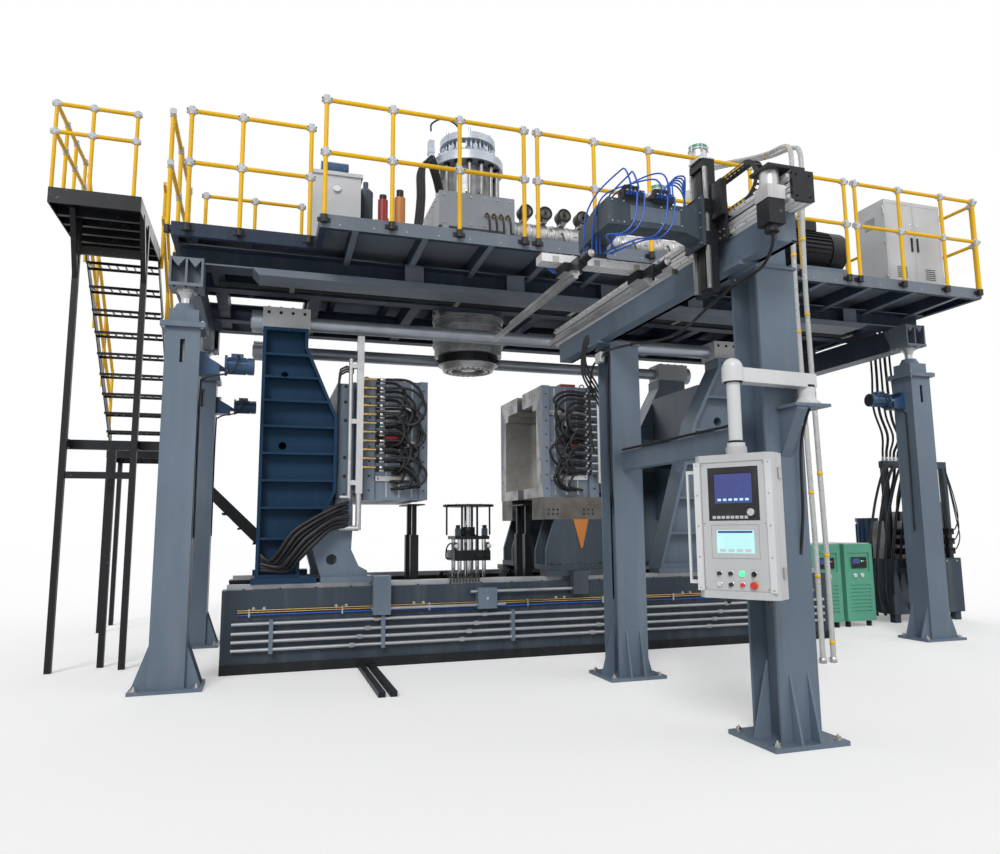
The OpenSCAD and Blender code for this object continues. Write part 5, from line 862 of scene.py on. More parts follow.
@dataclass
class Platform:
    """Lifting platform on its four screw columns, with its rails and jack drives."""

    deck: float = 4.26
    columns: tuple[tuple[float, float], ...] = ((-3.15, -1.45), (5.5, -1.45), (-3.15, 1.15), (5.5, 1.15))
    column_h: float = 3.25
    rail_h: float = 1.1
    rail_out: float = 0.036
    front: tuple[float, float] = (-1.61, -2.17)
    rear: tuple[float, float] = (0.25, 1.45)
    ends: tuple[float, float, float] = (-3.3, -1.985, 5.95)
    posts_left: tuple[float, ...] = (-3.16, -2.695, -2.05)
    posts_main: tuple[float, ...] = (-1.948, -1.328, -0.673, -0.009)
    posts_back: tuple[float, ...] = (-1.9, -1.27, -0.64, -0.01)
    posts_both: tuple[float, ...] = (0.135, 0.759, 1.396, 2.03, 2.66, 3.29, 3.94, 4.093, 4.735, 5.387, 5.9)
    sleeve: float = 0.0292
    tread: float = 0.09
    under: float = 3.93

    def posts(self) -> list[tuple[float, float, bool]]:
        """Every rail post's place, and whether its rail runs along Y."""
        o = self.rail_out
        rows = ((self.front[0] - o, self.posts_left), (self.front[1] - o, self.posts_main + self.posts_both),
                (self.rear[1] + o, self.posts_back + self.posts_both), (self.rear[0] + o, (-3.16, -2.6, -2.05)))
        made = [(x, y, False) for y, xs in rows for x in xs]
        made += [(self.ends[0] - o, y, True) for y in (self.front[0] + 0.06, -0.8, self.rear[0] - 0.06)]
        made += [(self.ends[2] + o, y, True)
                 for y in (self.front[1] + 0.06, -1.5, -0.7, 0.0, 0.7, self.rear[1] - 0.06)]
        return made

    def build(self) -> None:
        """Dress the columns, the frame, the rails and the drives."""
        # The deck's underside and the faces behind the front girder get the darker copy of the enamel: painted
        # shade.
        patch("platform_frame", PAINTED_SHADE, lambda c: c.z < 4.2495 and (
            c.y > -1.419 and c.z > 3.9295 or c.z > 4.12 and c.y > self.front[1] + 0.012 or 3.66 < c.z < 3.92
            and abs(c.y) < 1.1))
        self.fittings()
        self.bolts()
        self.deck_plate()
        self.services()
        self.jacks()

    def fittings(self) -> None:
        """Pale tube fittings at every crossing of post and rail, with their grub screws."""
        sleeves = Fixings(Sort.SLEEVE, PALE)
        screws = Fixings(Sort.SOCKET_SCREW, BLACK_BOLT)
        for x, y, along_y in self.posts():
            for h in (0.53, 1.0):
                z = self.deck + self.rail_h * h
                sleeves.at((x, y, z), UP, (self.sleeve, self.sleeve, 0.0395))
                sleeves.at((x, y, z), (0, 1, 0) if along_y else (1, 0, 0), (self.sleeve, self.sleeve, 0.0475))
                for s in (-1, 1):
                    tip = (x, y + s * 0.04, z + 0.029) if along_y else (x + s * 0.04, y - 0.029, z)
                    screws.at(tip, (s, 0, 0) if along_y else (0, -1, 0), 0.007)
        sleeves.build("rail_fittings", "lift_platform", "white_paint")
        screws.build("rail_fitting_screws", "lift_platform", "black_plastic")

    def bolts(self) -> None:
        """Bolts of the column flanges, the foot plates, the brackets and the fascia."""
        nuts = Fixings(Sort.ANCHOR_NUT, ZINC)
        flange = Fixings(Sort.HEX_BOLT, ZINC)
        bracket = Fixings(Sort.HEX_BOLT, BLACK_BOLT)
        for x, y in self.columns:
            for sx, sy in CORNERS:
                nuts.at((x + sx * 0.25, y + sy * 0.175, 0.030), UP, 0.021)
                flange.at((x + sx * 0.165, y + sy * 0.165, self.column_h + 0.05), UP, 0.014)
                flange.at((x + sx * 0.165, y + sy * 0.165, self.column_h), DOWN, 0.014)
            for k, s in product((-1, 0, 1), (-1, 1)):
                bracket.at((x + k * 0.1, y + s * 0.12, 3.65), DOWN, 0.011)
        fascia = Fixings(Sort.HEX_BOLT, ZINC)
        z = self.deck - 0.09
        for k in range(25):
            x = -1.8 + k * 0.31
            if x < 5.8:
                fascia.at((x, self.front[1] + 0.0002, z), (0, -1, 0), 0.007)
                fascia.at((x, self.rear[1] - 0.0002, z), (0, 1, 0), 0.007)
        nuts.build("column_anchor_nuts", "machine_base", "bare_steel")
        flange.build("column_flange_bolts", "machine_base", "bare_steel")
        bracket.build("bracket_bolts", "lift_platform", "dark_paint")
        fascia.build("fascia_bolts", "lift_platform", "bare_steel")

    def deck_plate(self) -> None:
        """Raised tread pattern of the deck."""
        lozenges, up, step = Shape(), Vector((0, 0, 0.0022)), self.tread
        for x0, x1, y0, y1 in ((-1.9, -0.7, -2.1, 1.35), (0.75, 5.85, -2.1, -0.6), (-3.25, -2.0, -1.55, 0.2),
                               (0.75, 5.85, 0.6, 1.35)):
            for i, k in product(range(int((x1 - x0) / step)), range(int((y1 - y0) / step))):
                a = math.radians(45 if (i + k) % 2 else -45)
                u = Vector((math.cos(a), math.sin(a), 0)) * 0.026
                v = Vector((-math.sin(a), math.cos(a), 0)) * 0.007
                m = Vector((x0 + (i + 0.5) * step, y0 + (k + 0.5) * step, self.deck + 0.0002))
                lozenges.add([m - u, m - v, m + u, m + v, m - u * 0.6 + up, m + u * 0.6 + up],
                             [(0, 1, 4), (1, 2, 5, 4), (2, 3, 5), (3, 0, 4, 5)], GIRDER)
        lozenges.build("deck_tread", "lift_platform", "slate_paint")

    def services(self) -> None:
        """Cable tray, clips and conduits under the deck."""
        s = Shape()
        for k, y in enumerate((-0.98, -0.93, -0.88)):
            s.tube([(x, y, 3.915) for x in (-2.9, -1.0, 1.5, 5.2)], 0.011 + 0.003 * k, RUBBER, 8, 0.4)
        for x in (-2.2, -0.4, 1.0, 2.4, 3.8, 5.0):
            s.block((x, -1.02, 3.896), (x + 0.05, -0.84, 3.9297), ZINC, 0.002)
        for k in range(3):
            y = 0.2 + 0.06 * k
            s.tube([(0.9, y, 3.9), (2.4, y, 3.88), (4.6, y, 3.9)], 0.012, RUBBER, 8, 0.3)
        s.block((0.85, 0.14, self.under - 0.06), (4.65, 0.40, self.under - 0.052), ZINC, 0.002)
        for y in (0.14, 0.395):
            s.block((0.85, y, self.under - 0.06), (4.65, y + 0.005, self.under), ZINC, 0.001)
        s.build("platform_conduits", "lift_platform", "rubber_hose")

    def jacks(self) -> None:
        """Bolts, terminal cables and couplings of the four screw drives."""
        bolts = Fixings(Sort.SOCKET_SCREW, ZINC)
        s = Shape()
        for x, y in ((-3.0, -1.39), (-3.0, 1.15), (5.35, -1.39), (5.35, 1.15)):
            d = 1 if x < 0 else -1
            z = self.column_h - 0.33
            for sy, sz in CORNERS:
                bolts.at((x + d * 0.2355, y + sy * 0.06, z + 0.035 + sz * 0.06), (d, 0, 0), 0.009)
            s.tube([(x + d * 0.33, y - 0.055, z + 0.12), (x + d * 0.34, y - 0.11, z + 0.1),
                    (x + d * 0.28, y - 0.12, z - 0.05), (x + d * 0.05, y - 0.11, z - 0.12),
                    (x + d * 0.012, y - 0.1, z - 0.3), (x + d * 0.012, y - 0.09, z - 1.6)], 0.009, RUBBER, 8)
            s.lathe((x + d * 0.4801, y, z + 0.035), (x + d, y, z + 0.035),
                    [(0, 0.07), (0.004, 0.066), (0.0045, 0.02), (0.001, 0.018)], BLACK, 24, False)
        bolts.build("jack_bolts", "machine_base", "bare_steel")
        s.build("jack_cables", "machine_base", "rubber_hose")


@dataclass
class Stair:
    """Tube fittings of the handrails round the stair's landing."""

    left: float = -4.519
    posts: tuple[float, ...] = (-4.519, -4.18, -3.77)
    side: tuple[float, ...] = (-0.34, 0.06, 0.52)
    front: float = -0.779
    landing: float = 4.8

    def build(self) -> None:
        """Add the fittings on the yellow handrails."""
        sleeves = Fixings(Sort.SLEEVE, PALE)
        places = [(x, self.front, (1, 0, 0)) for x in self.posts]
        places += [(self.left, y, (0, 1, 0)) for y in self.side]
        for h, (x, y, way) in product((0.6, 0.9), places):
            for along, length in ((UP, 0.034), (way, 0.042)):
                sleeves.at((x, y, self.landing + h), along, (0.027, 0.027, length))
        sleeves.build("stair_rail_fittings", "machine_base", "white_paint")


@dataclass
class Head:
    """Accumulator head: heater bands, bolts, pipes and cables."""

    die_z: float = 3.33
    base_z: float = 5.3
    rods: int = 16
    ring_z: float = 5.94
    top_z: float = 6.26

    def build(self) -> None:
        """Dress the head's nodes and add its pieces."""
        patch("head_body", HEAT, lambda c: c.z < 4.9)
        patch("head_body", BLACK_BOLT, lambda c: 3.4005 < c.z < 3.5095 and math.hypot(c.x, c.y) > 0.34)
        patch("head_body", GREY, lambda c: 5.019 <= c.z <= 5.4605 and abs(c.x) > 0.1 or
                c.z < 5.02 and max(abs(c.x), abs(c.y)) > 0.445)
        patch("head_top", CAST, lambda c: c.z < self.ring_z - 0.001)
        patch("head_top", TIE, lambda c: c.z >= self.ring_z - 0.001)
        self.bands()
        self.bolts()
        self.lines()

    def bands(self) -> None:
        """Heater bands with their clamping ears and terminal boxes."""
        s = Shape()
        inner, outer = 0.4405, 0.447
        for z in (3.63, 3.93):
            for k in range(3):
                s.lathe((0, 0, z + 0.026 + k * 0.09), (0, 0, FAR), collar(inner, outer, 0.012), STEEL, 64)
            for a in range(0, 360, 90):
                turn = Matrix.Rotation(math.radians(a + 20), 4, "Z")
                s.block((inner, -0.045, z + 0.03), (0.50, 0.045, z + 0.12), PALE, 0.004, turn)
                s.block((0.50, -0.01, z + 0.05), (0.512, 0.01, z + 0.08), BLACK, 0.003, turn)
                for y in (0.06, 0.085):
                    s.block((0.441, y, z + 0.05), (0.475, y + 0.015, z + 0.2), ZINC, 0.002, turn)
        s.build("head_heater_bands", "lift_platform", "bare_steel")

    def bolts(self) -> None:
        """Rod nuts, flange bolts, die bolts and eye bolts."""
        nuts = Fixings(Sort.HEX_BOLT, BLACK_BOLT)
        radius = (0.64 + 0.92) / 4
        for k in range(self.rods):
            a = (k + 0.5) * 2 * math.pi / self.rods
            x, y = radius * math.cos(a), radius * math.sin(a)
            nuts.at((x, y, self.base_z + 0.16), UP, (0.036, 0.036, 0.04))
            nuts.at((x, y, self.ring_z), DOWN, (0.036, 0.036, 0.04))
        nuts.ring((0, 0, self.ring_z + 0.16 - 0.012), 0.415, 32, size=0.013, start=0.1)
        nuts.ring((0, 0, self.top_z + 0.09), 0.33, 24, size=0.012)
        nuts.ring((0, 0, self.die_z), 0.26, 24, DOWN, 0.01)
        nuts.build("head_bolts", "lift_platform", "dark_paint")
        face = Fixings(Sort.SOCKET_SCREW, ZINC)
        for s, k in product((-1, 1), range(6)):
            for z in (5.06, 5.41):
                face.at((-0.42 + k * 0.168, s * 0.4701, z), (0, s, 0), 0.014)
            face.at((s * 0.4801, -0.40 + k * 0.16, 5.41), (s, 0, 0), 0.014)
        face.build("head_block_screws", "lift_platform", "bare_steel")

    def lines(self) -> None:
        """Cables, oil hoses and thermocouple leads round the head."""
        s = Shape()
        for k in range(5):
            j = k * 0.022
            s.tube([(-0.40 - j, -0.35, 5.47), (-0.46 - j, -0.42, 5.62), (-0.56 - j, -0.5, 5.86 - j),
                    (-0.66 - j, -0.48, 5.72 - j), (-0.66 - j, -0.46, 5.3), (-0.7 - j, -0.44, 4.9),
                    (-0.8 - j, -0.44, 4.5), (-0.86 - j, -0.5, 4.272)], 0.012 + 0.002 * (k % 2), RUBBER, 8)
        for k in range(4):
            x = 0.1 + k * 0.09
            s.tube([(x, -0.4705, 5.2), (x, -0.54, 5.2), (x + 0.02, -0.58, 5.1), (x + 0.03, -0.57, 4.8),
                    (x + 0.05, -0.56, 4.4), (x + 0.06, -0.56, 4.275)], 0.013, RUBBER, 8)
            s.rod((x, -0.4702, 5.2), (x, -0.505, 5.2), 0.022, BRASS, 6)
        for a in range(0, 360, 30):
            t = math.radians(a + 12)
            points = [(math.cos(t) * r, math.sin(t) * r, z)
                      for r, z in ((0.322, 5.56), (0.352, 5.56), (0.362, 5.52), (0.353, 5.475))]
            s.rod(points[0], points[1], 0.011, BRASS, 8)
            s.tube(points[1:], 0.004, RUBBER, 6, 0.02)
        s.tube([(-0.52, -0.16, 6.38), (-0.5, -0.12, 6.5), (-0.36, -0.1, 6.6), (-0.2, -0.08, 6.58),
                (-0.1, -0.05, 6.5)], 0.012, RUBBER, 8)
        s.build("head_lines", "lift_platform", "rubber_hose")


@dataclass
class Extruder:
    """Extruder: heater covers, blowers, gearbox, motor and the loaders above."""

    x0: float = 0.48
    length: float = 3.5
    axis_z: float = 5.21
    feed_x: float = 3.46

    def build(self) -> None:
        """Dress the drive and the loaders and add the covers' detail."""
        x1 = self.x0 + self.length
        patch("extruder_drive", BLACK, lambda c: c.x > x1 + 0.79 and c.z > 5.125 and abs(c.y) < 0.34)
        patch("extruder_barrel", BLACK, lambda c: c.z > self.axis_z + 0.151 and c.x < 2.7)
        patch("extruder_barrel", SLATE, lambda c: c.z < self.axis_z - 0.151)
        patch("material_loaders", GREEN, lambda c: c.z > 6.77 or c.x < 3.0 and c.z > 6.055)
        self.covers()
        self.bolts()

    def covers(self) -> None:
        """Bands, boxes and cables of the heater covers, and the blowers' grilles."""
        s = Shape()
        z, inner, outer = self.axis_z, 0.1502, 0.1535
        for k in range(5):
            a, x = self.x0 + 0.11 + k * 0.52, self.x0 + 0.25 + k * 0.265
            for dx in (0.02, 0.225, 0.43):
                s.lathe((a + dx, 0, z), (FAR, 0, z), collar(inner, outer, 0.022), ZINC, 40)
            s.block((a + 0.08, -0.166, z - 0.05), (a + 0.16, -0.1475, z + 0.05), PALE, 0.004)
            s.block((a + 0.3, -0.162, z - 0.02), (a + 0.36, -0.1475, z + 0.03), ZINC, 0.003)
            s.tube([(a + 0.12, -0.166, z), (a + 0.12, -0.21, z - 0.02), (a + 0.14, -0.24, z - 0.2),
                    (a + 0.15, -0.2, z - 0.6), (a + 0.15, -0.16, 4.27)], 0.009, RUBBER, 8)
            for r in (0.028, 0.046, 0.064):
                s.lathe((x, -0.205, z + 0.24), (x, -1, z + 0.24),
                        [(0, r - 0.003), (0.004, r - 0.003), (0.004, r), (0, r)], ZINC, 28)
        s.build("barrel_covers", "lift_platform", "bare_steel")

    def bolts(self) -> None:
        """Flange, gearbox and loader bolts and the loaders' toggle clamps."""
        b = Fixings(Sort.HEX_BOLT, ZINC)
        x1 = self.x0 + self.length
        b.ring((self.x0 + 0.06, 0, self.axis_z), 0.17, 12, (1, 0, 0), 0.013)
        b.ring((x1 - 0.06, 0, self.axis_z), 0.185, 12, (-1, 0, 0), 0.013)
        for s in (-1, 1):
            b.grid((x1 + 0.05, s * 0.33, 4.62), (0.13, 0, 0), 5, (0, 0, 0.7), 2, (0, s, 0), 0.014)
            b.grid((x1 + 0.02, s * 0.36, 4.32), (0.3, 0, 0), 6, (0, 0, 0.18), 2, (0, s, 0), 0.012)
        for z, r in ((5.42, 0.12), (5.8, 0.25), (6.13, 0.125)):
            b.ring((self.feed_x, 0, z + 0.012), r - 0.012, 10, UP, 0.006)
        b.build("extruder_bolts", "lift_platform", "bare_steel")
        s = Shape()
        for x, z, r in ((self.feed_x, 5.8, 0.25), (self.feed_x, 6.78, 0.135), (self.feed_x - 0.69, 6.07, 0.12),
                        (self.feed_x, 5.46, 0.118)):
            s.lathe((x, 0, z - 0.012), (x, 0, FAR), [(0, r), (0.004, r + 0.008), (0.02, r + 0.008), (0.024, r)],
                    STEEL, 40)
            for a in (200, 260, 320):
                turn = Matrix.Translation((x, 0, z)) @ Matrix.Rotation(math.radians(a), 4, "Z")
                s.block((r + 0.004, -0.012, -0.05), (r + 0.018, 0.012, 0.045), ZINC, 0.003, turn)
        s.build("loader_clamps", "lift_platform", "bare_steel")


@dataclass
class Cabinet:
    """Control cabinet on the deck and the head's power unit beside the head."""

    x: tuple[float, float] = (5.01, 5.91)
    y0: float = -1.7
    door_y: float = -1.7205
    z: tuple[float, float] = (4.36, 5.51)
    deck: float = 4.26

    def build(self) -> None:
        """Dress the cabinet and the power unit."""
        patch("electrical_cabinet", NAVY, lambda c: c.z < 4.3601)
        patch("electrical_cabinet", STEEL, lambda c: -1.281 < c.y < -1.26)
        for side in ("left", "right"):
            patch("cabinet_door_" + side, BLACK, lambda c: c.y < self.door_y)
        patch("head_power_unit", NAVY, lambda c: c.x > -1.4605 and c.z < 5.5)
        patch("head_power_unit", MOTOR, lambda c: c.x < -1.5 and c.z > 5.2505)
        patch("head_power_unit", RED, lambda c: -1.29 < c.x < -1.17 and c.y < -0.88 and c.z > 4.68)
        patch("head_power_unit", ORANGE, lambda c: -1.101 < c.x < -0.97 and c.y < -0.88 and c.z > 4.68)
        patch("head_power_unit", BLACK, lambda c: c.y < -0.88 and c.x > -1.3 and c.z > 5.0)
        self.hinges()

    def hinges(self) -> None:
        """Hinges, eyes, door rims and locks of the cabinet."""
        s = Shape()
        for z in (4.5, 4.95, 5.4):
            for x, side in ((self.x[0] - 0.006, -1), (self.x[1] + 0.006, 1)):
                s.rod((x, self.y0 - 0.002, z - 0.03), (x, self.y0 - 0.002, z + 0.03), 0.006, ZINC, 12)
        for x in (5.2, 5.7):
            s.lathe((x, -1.45, self.z[1]), (x, -1.45, FAR), [(0, 0.03), (0.012, 0.03), (0.014, 0.012)], ZINC)
        s.build("cabinet_hinges", "lift_platform", "bare_steel")
        rim = 0.012
        for side, xa, xb, lock in (("left", 5.03, 5.44, 5.4), ("right", 5.48, 5.89, 5.52)):
            d = Shape()
            for z in (4.40, 5.46):
                d.block((xa, self.door_y - 0.003, z), (xb, self.door_y, z + rim), PALE, 0.001)
            for x in (xa, xb - rim):
                d.block((x, self.door_y - 0.003, 4.412), (x + rim, self.door_y, 5.46), PALE, 0.001)
            d.rod((lock, self.door_y, 5.2), (lock, self.door_y - 0.0075, 5.2), 0.011, CHROME)
            d.build("door_rim_" + side, "door_" + side, "white_paint")
        self.unit_pipes()

    def unit_pipes(self) -> None:
        """Pipes, filler cap, unions and gauge of the head's power unit."""
        p, z = Shape(), self.deck
        for k in range(3):
            x, y, up = -1.9 + k * 0.1, -0.3 + k * 0.05, k * 0.04
            p.tube([(x, -0.48, z + 0.9), (x, -0.42, z + 0.9), (x + 0.05, -0.4, z + 0.6),
                    (-1.5 + k * 0.05, -0.35, z + 0.3), (-0.9, y, z + 0.25 + up), (-0.5, y, z + 0.35 + up)],
                   0.016, RUBBER)
        p.lathe((-1.18, -0.76, z + 0.51), (-1.18, -0.76, FAR),
                [(0, 0.03), (0.06, 0.03), (0.07, 0.05), (0.11, 0.05)], STEEL)
        for x in (-1.31, -1.15):
            p.rod((x, -0.9, z + 0.42), (x, -0.9, z + 0.55), 0.018, BRASS, 6)
        p.lathe((-1.74, -1.0005, z + 0.8), (-1.74, -FAR, z + 0.8),
                [(0, 0.045), (0.02, 0.045), (0.024, 0.038)], CHROME)
        p.build("power_unit_pipes", "lift_platform", "rubber_hose")


class Side(Enum):
    """Which half of the clamp, with the direction away from the middle plane."""

    LEFT = -1
    RIGHT = 1


@dataclass
class MouldHalf:
    """One mould half with its plates, screws, nipples, hoses and valve blocks."""

    side: Side
    opened: float = 0.68
    width: float = 1.6
    height: float = 1.31
    foot: float = 1.74
    hoses: int = 11

    def x(self, d: float) -> float:
        """Place along X at a distance d behind the parting face."""
        return self.side.value * (self.opened + d)

    def build(self) -> None:
        """Dress the half and add its pieces."""
        name = "left_mould" if self.side is Side.LEFT else "right_mould"
        body = "left_clamp" if self.side is Side.LEFT else "right_clamp"
        z0 = self.foot - (0.04 if self.side is Side.LEFT else 0)
        inner = lambda c: (abs(c.x) < self.opened + 0.4705 and abs(c.y) < 0.5905
                           and z0 + 0.1195 < c.z < z0 + 1.1205 and abs(c.x) > self.opened + 0.0005)
        patch(name, SIDE, lambda c: abs(c.y) > 0.7 or abs(c.x) > self.opened + 0.6995)
        patch(name, CAVITY, inner)
        patch(name, RED, lambda c: c.z > z0 + self.height + 0.0005 and abs(c.y) > 0.55
                and abs(c.x) < self.opened + 0.455 or c.y < -0.7605 and z0 + 0.585 < c.z < z0 + 0.705
                and self.opened + 0.255 < abs(c.x) < self.opened + 0.485)
        patch(name, STEEL, lambda c: abs(c.x) < self.opened - 0.001)
        self.plates(name, body, z0)
        self.screws(name, body, z0)
        self.hose_bundle(name, body)

    def plates(self, name: str, body: str, z0: float) -> None:
        """Grooves between the plates, clamping straps, valve blocks and side pipes."""
        s = Shape()
        y = -self.width / 2

        def slab(near: float, far: float, ys: tuple[float, float], zs: tuple[float, float], finish: Finish,
                 bevel: float) -> None:
            """A block between two distances behind the parting face."""
            xa, xb = sorted((self.x(near), self.x(far)))
            s.block((xa, ys[0], zs[0]), (xb, ys[1], zs[1]), finish, bevel)

        top = z0 + self.height
        for d in (0.16, 0.3, 0.44):
            slab(d, d + 0.014, (y + 0.0385, y + 0.041), (z0 + 0.03, top - 0.03), HEAT, 0.001)
        for k in range(3):
            z = z0 + 0.2 + k * 0.38
            slab(0.1, 0.57, (y + 0.02, y + 0.0395), (z, z + 0.06), STEEL, 0.004)
        for k in range(4):
            z = z0 + 0.62 + k * 0.025
            slab(0.49, 0.56, (y - 0.022, y + 0.0395), (z, z + 0.018), BLACK, 0.003)
        for x in (self.x(d) for d in (0.28, 0.33, 0.38, 0.43)):
            s.rod((x, y + 0.008, z0 + 0.645), (x, y - 0.035, z0 + 0.645), 0.014, BLACK, 12)
            s.rod((x, y - 0.035, z0 + 0.645), (x, y - 0.05, z0 + 0.645), 0.008, BRASS, 6)
        for k in range(3):
            middle = -0.3 + k * 0.3
            slab(0.14, 0.2, (middle - 0.05, middle + 0.05), (top, top + 0.022),
                 ORANGE if k == 1 else STEEL, 0.004)
        s.tube([(self.x(d), at, top + h) for d, at, h in ((0.35, -0.62, 0.036), (0.35, -0.5, 0.05),
                (0.4, -0.1, 0.03), (0.45, 0.3, 0.02), (0.66, 0.5, 0.02))], 0.011, RUBBER, 8)
        s.build(name + "_plates", body, "mould_metal")

    def screws(self, name: str, body: str, z0: float) -> None:
        """Socket screws of the plates and bores in the parting face."""
        f = Fixings(Sort.SOCKET_SCREW, BLACK_BOLT)
        y = -self.width / 2
        way = -self.side.value
        for s in (-1, 1):
            for k, (d, size) in product(range(8), ((0.045, 0.011), (0.64, 0.013))):
                f.at((self.x(d), s * -y, z0 + 0.1 + k * 0.158), (0, s, 0), size)
            for k, d in product(range(3), (0.13, 0.54)):
                deep = 0.0205 if s < 0 else 0.04
                f.at((self.x(d), s * (-y - deep), z0 + 0.23 + k * 0.38), (0, s, 0), 0.01)
        f.build(name + "_screws", body, "dark_paint")
        h = Fixings(Sort.HOLE, BLACK_BOLT)
        for side, z in product((-0.7, 0.7), (0.25, 0.45, 0.85, 1.05)):
            h.at((self.x(0), side, z0 + z), (way, 0, 0), (0.012, 0.012, 0.006))
        for k in range(7):
            across, z = (0.13, 1.25) if k == 3 else (-0.55 + k * 0.183, 1.225)
            h.at((self.x(0), across, z0 + z), (way, 0, 0), (0.011, 0.011, 0.006))
        h.build(name + "_bores", body, "dark_paint")

    def hose_bundle(self, name: str, body: str) -> None:
        """Dense cooling hoses from the nipples of the manifold to the mould's side."""
        random.seed(5 if self.side is Side.LEFT else 9)
        s = Shape()
        nipples = Fixings(Sort.NIPPLE, BRASS)
        y = -self.width / 2
        left = self.side is Side.LEFT
        pitch = 0.095 if left else 0.092
        x_n = self.x(0.585) if not left else -1.265
        y_n = y - (0.11 if left else 0.07)
        way = -self.side.value
        lowest, along = 1.82, Vector((way, 0, 0))
        for k, row in product(range(self.hoses), range(2)):
            z = 2.04 + k * pitch - 0.03 * row
            reach, drop = random.uniform(0.30, 0.55), random.uniform(0.20, 0.40)
            start = Vector((x_n, y_n + 0.034 * row, z))
            out = y - (random.uniform(0.05, 0.08) if row else random.uniform(0.12, 0.16))
            end = max(lowest, z - drop * (1 + 0.3 * row))
            deep = start.x + way * reach * random.uniform(0.35, 0.7)
            tip, grip = Vector((deep, y + 0.04, end)), start + along * 0.06
            s.tube([start, grip, (start.x + way * reach * 0.7, out, z - 0.004),
                    (start.x + way * reach, out - 0.01, z - drop * 0.45),
                    (start.x + way * reach * 0.85, out, end + drop * 0.08), (deep, y - 0.03, end), tip],
                   0.0155, RUBBER, 10, 0.03)
            s.rod(grip - along * 0.02, grip + along * 0.035, 0.0165, STEEL, 10)
            nipples.at(tip, (0, -1, 0), 0.016)
        s.build(name + "_hoses", body, "rubber_hose", [name.replace("mould", "hoses")])
        nipples.build(name + "_nipples", body, "bare_steel")


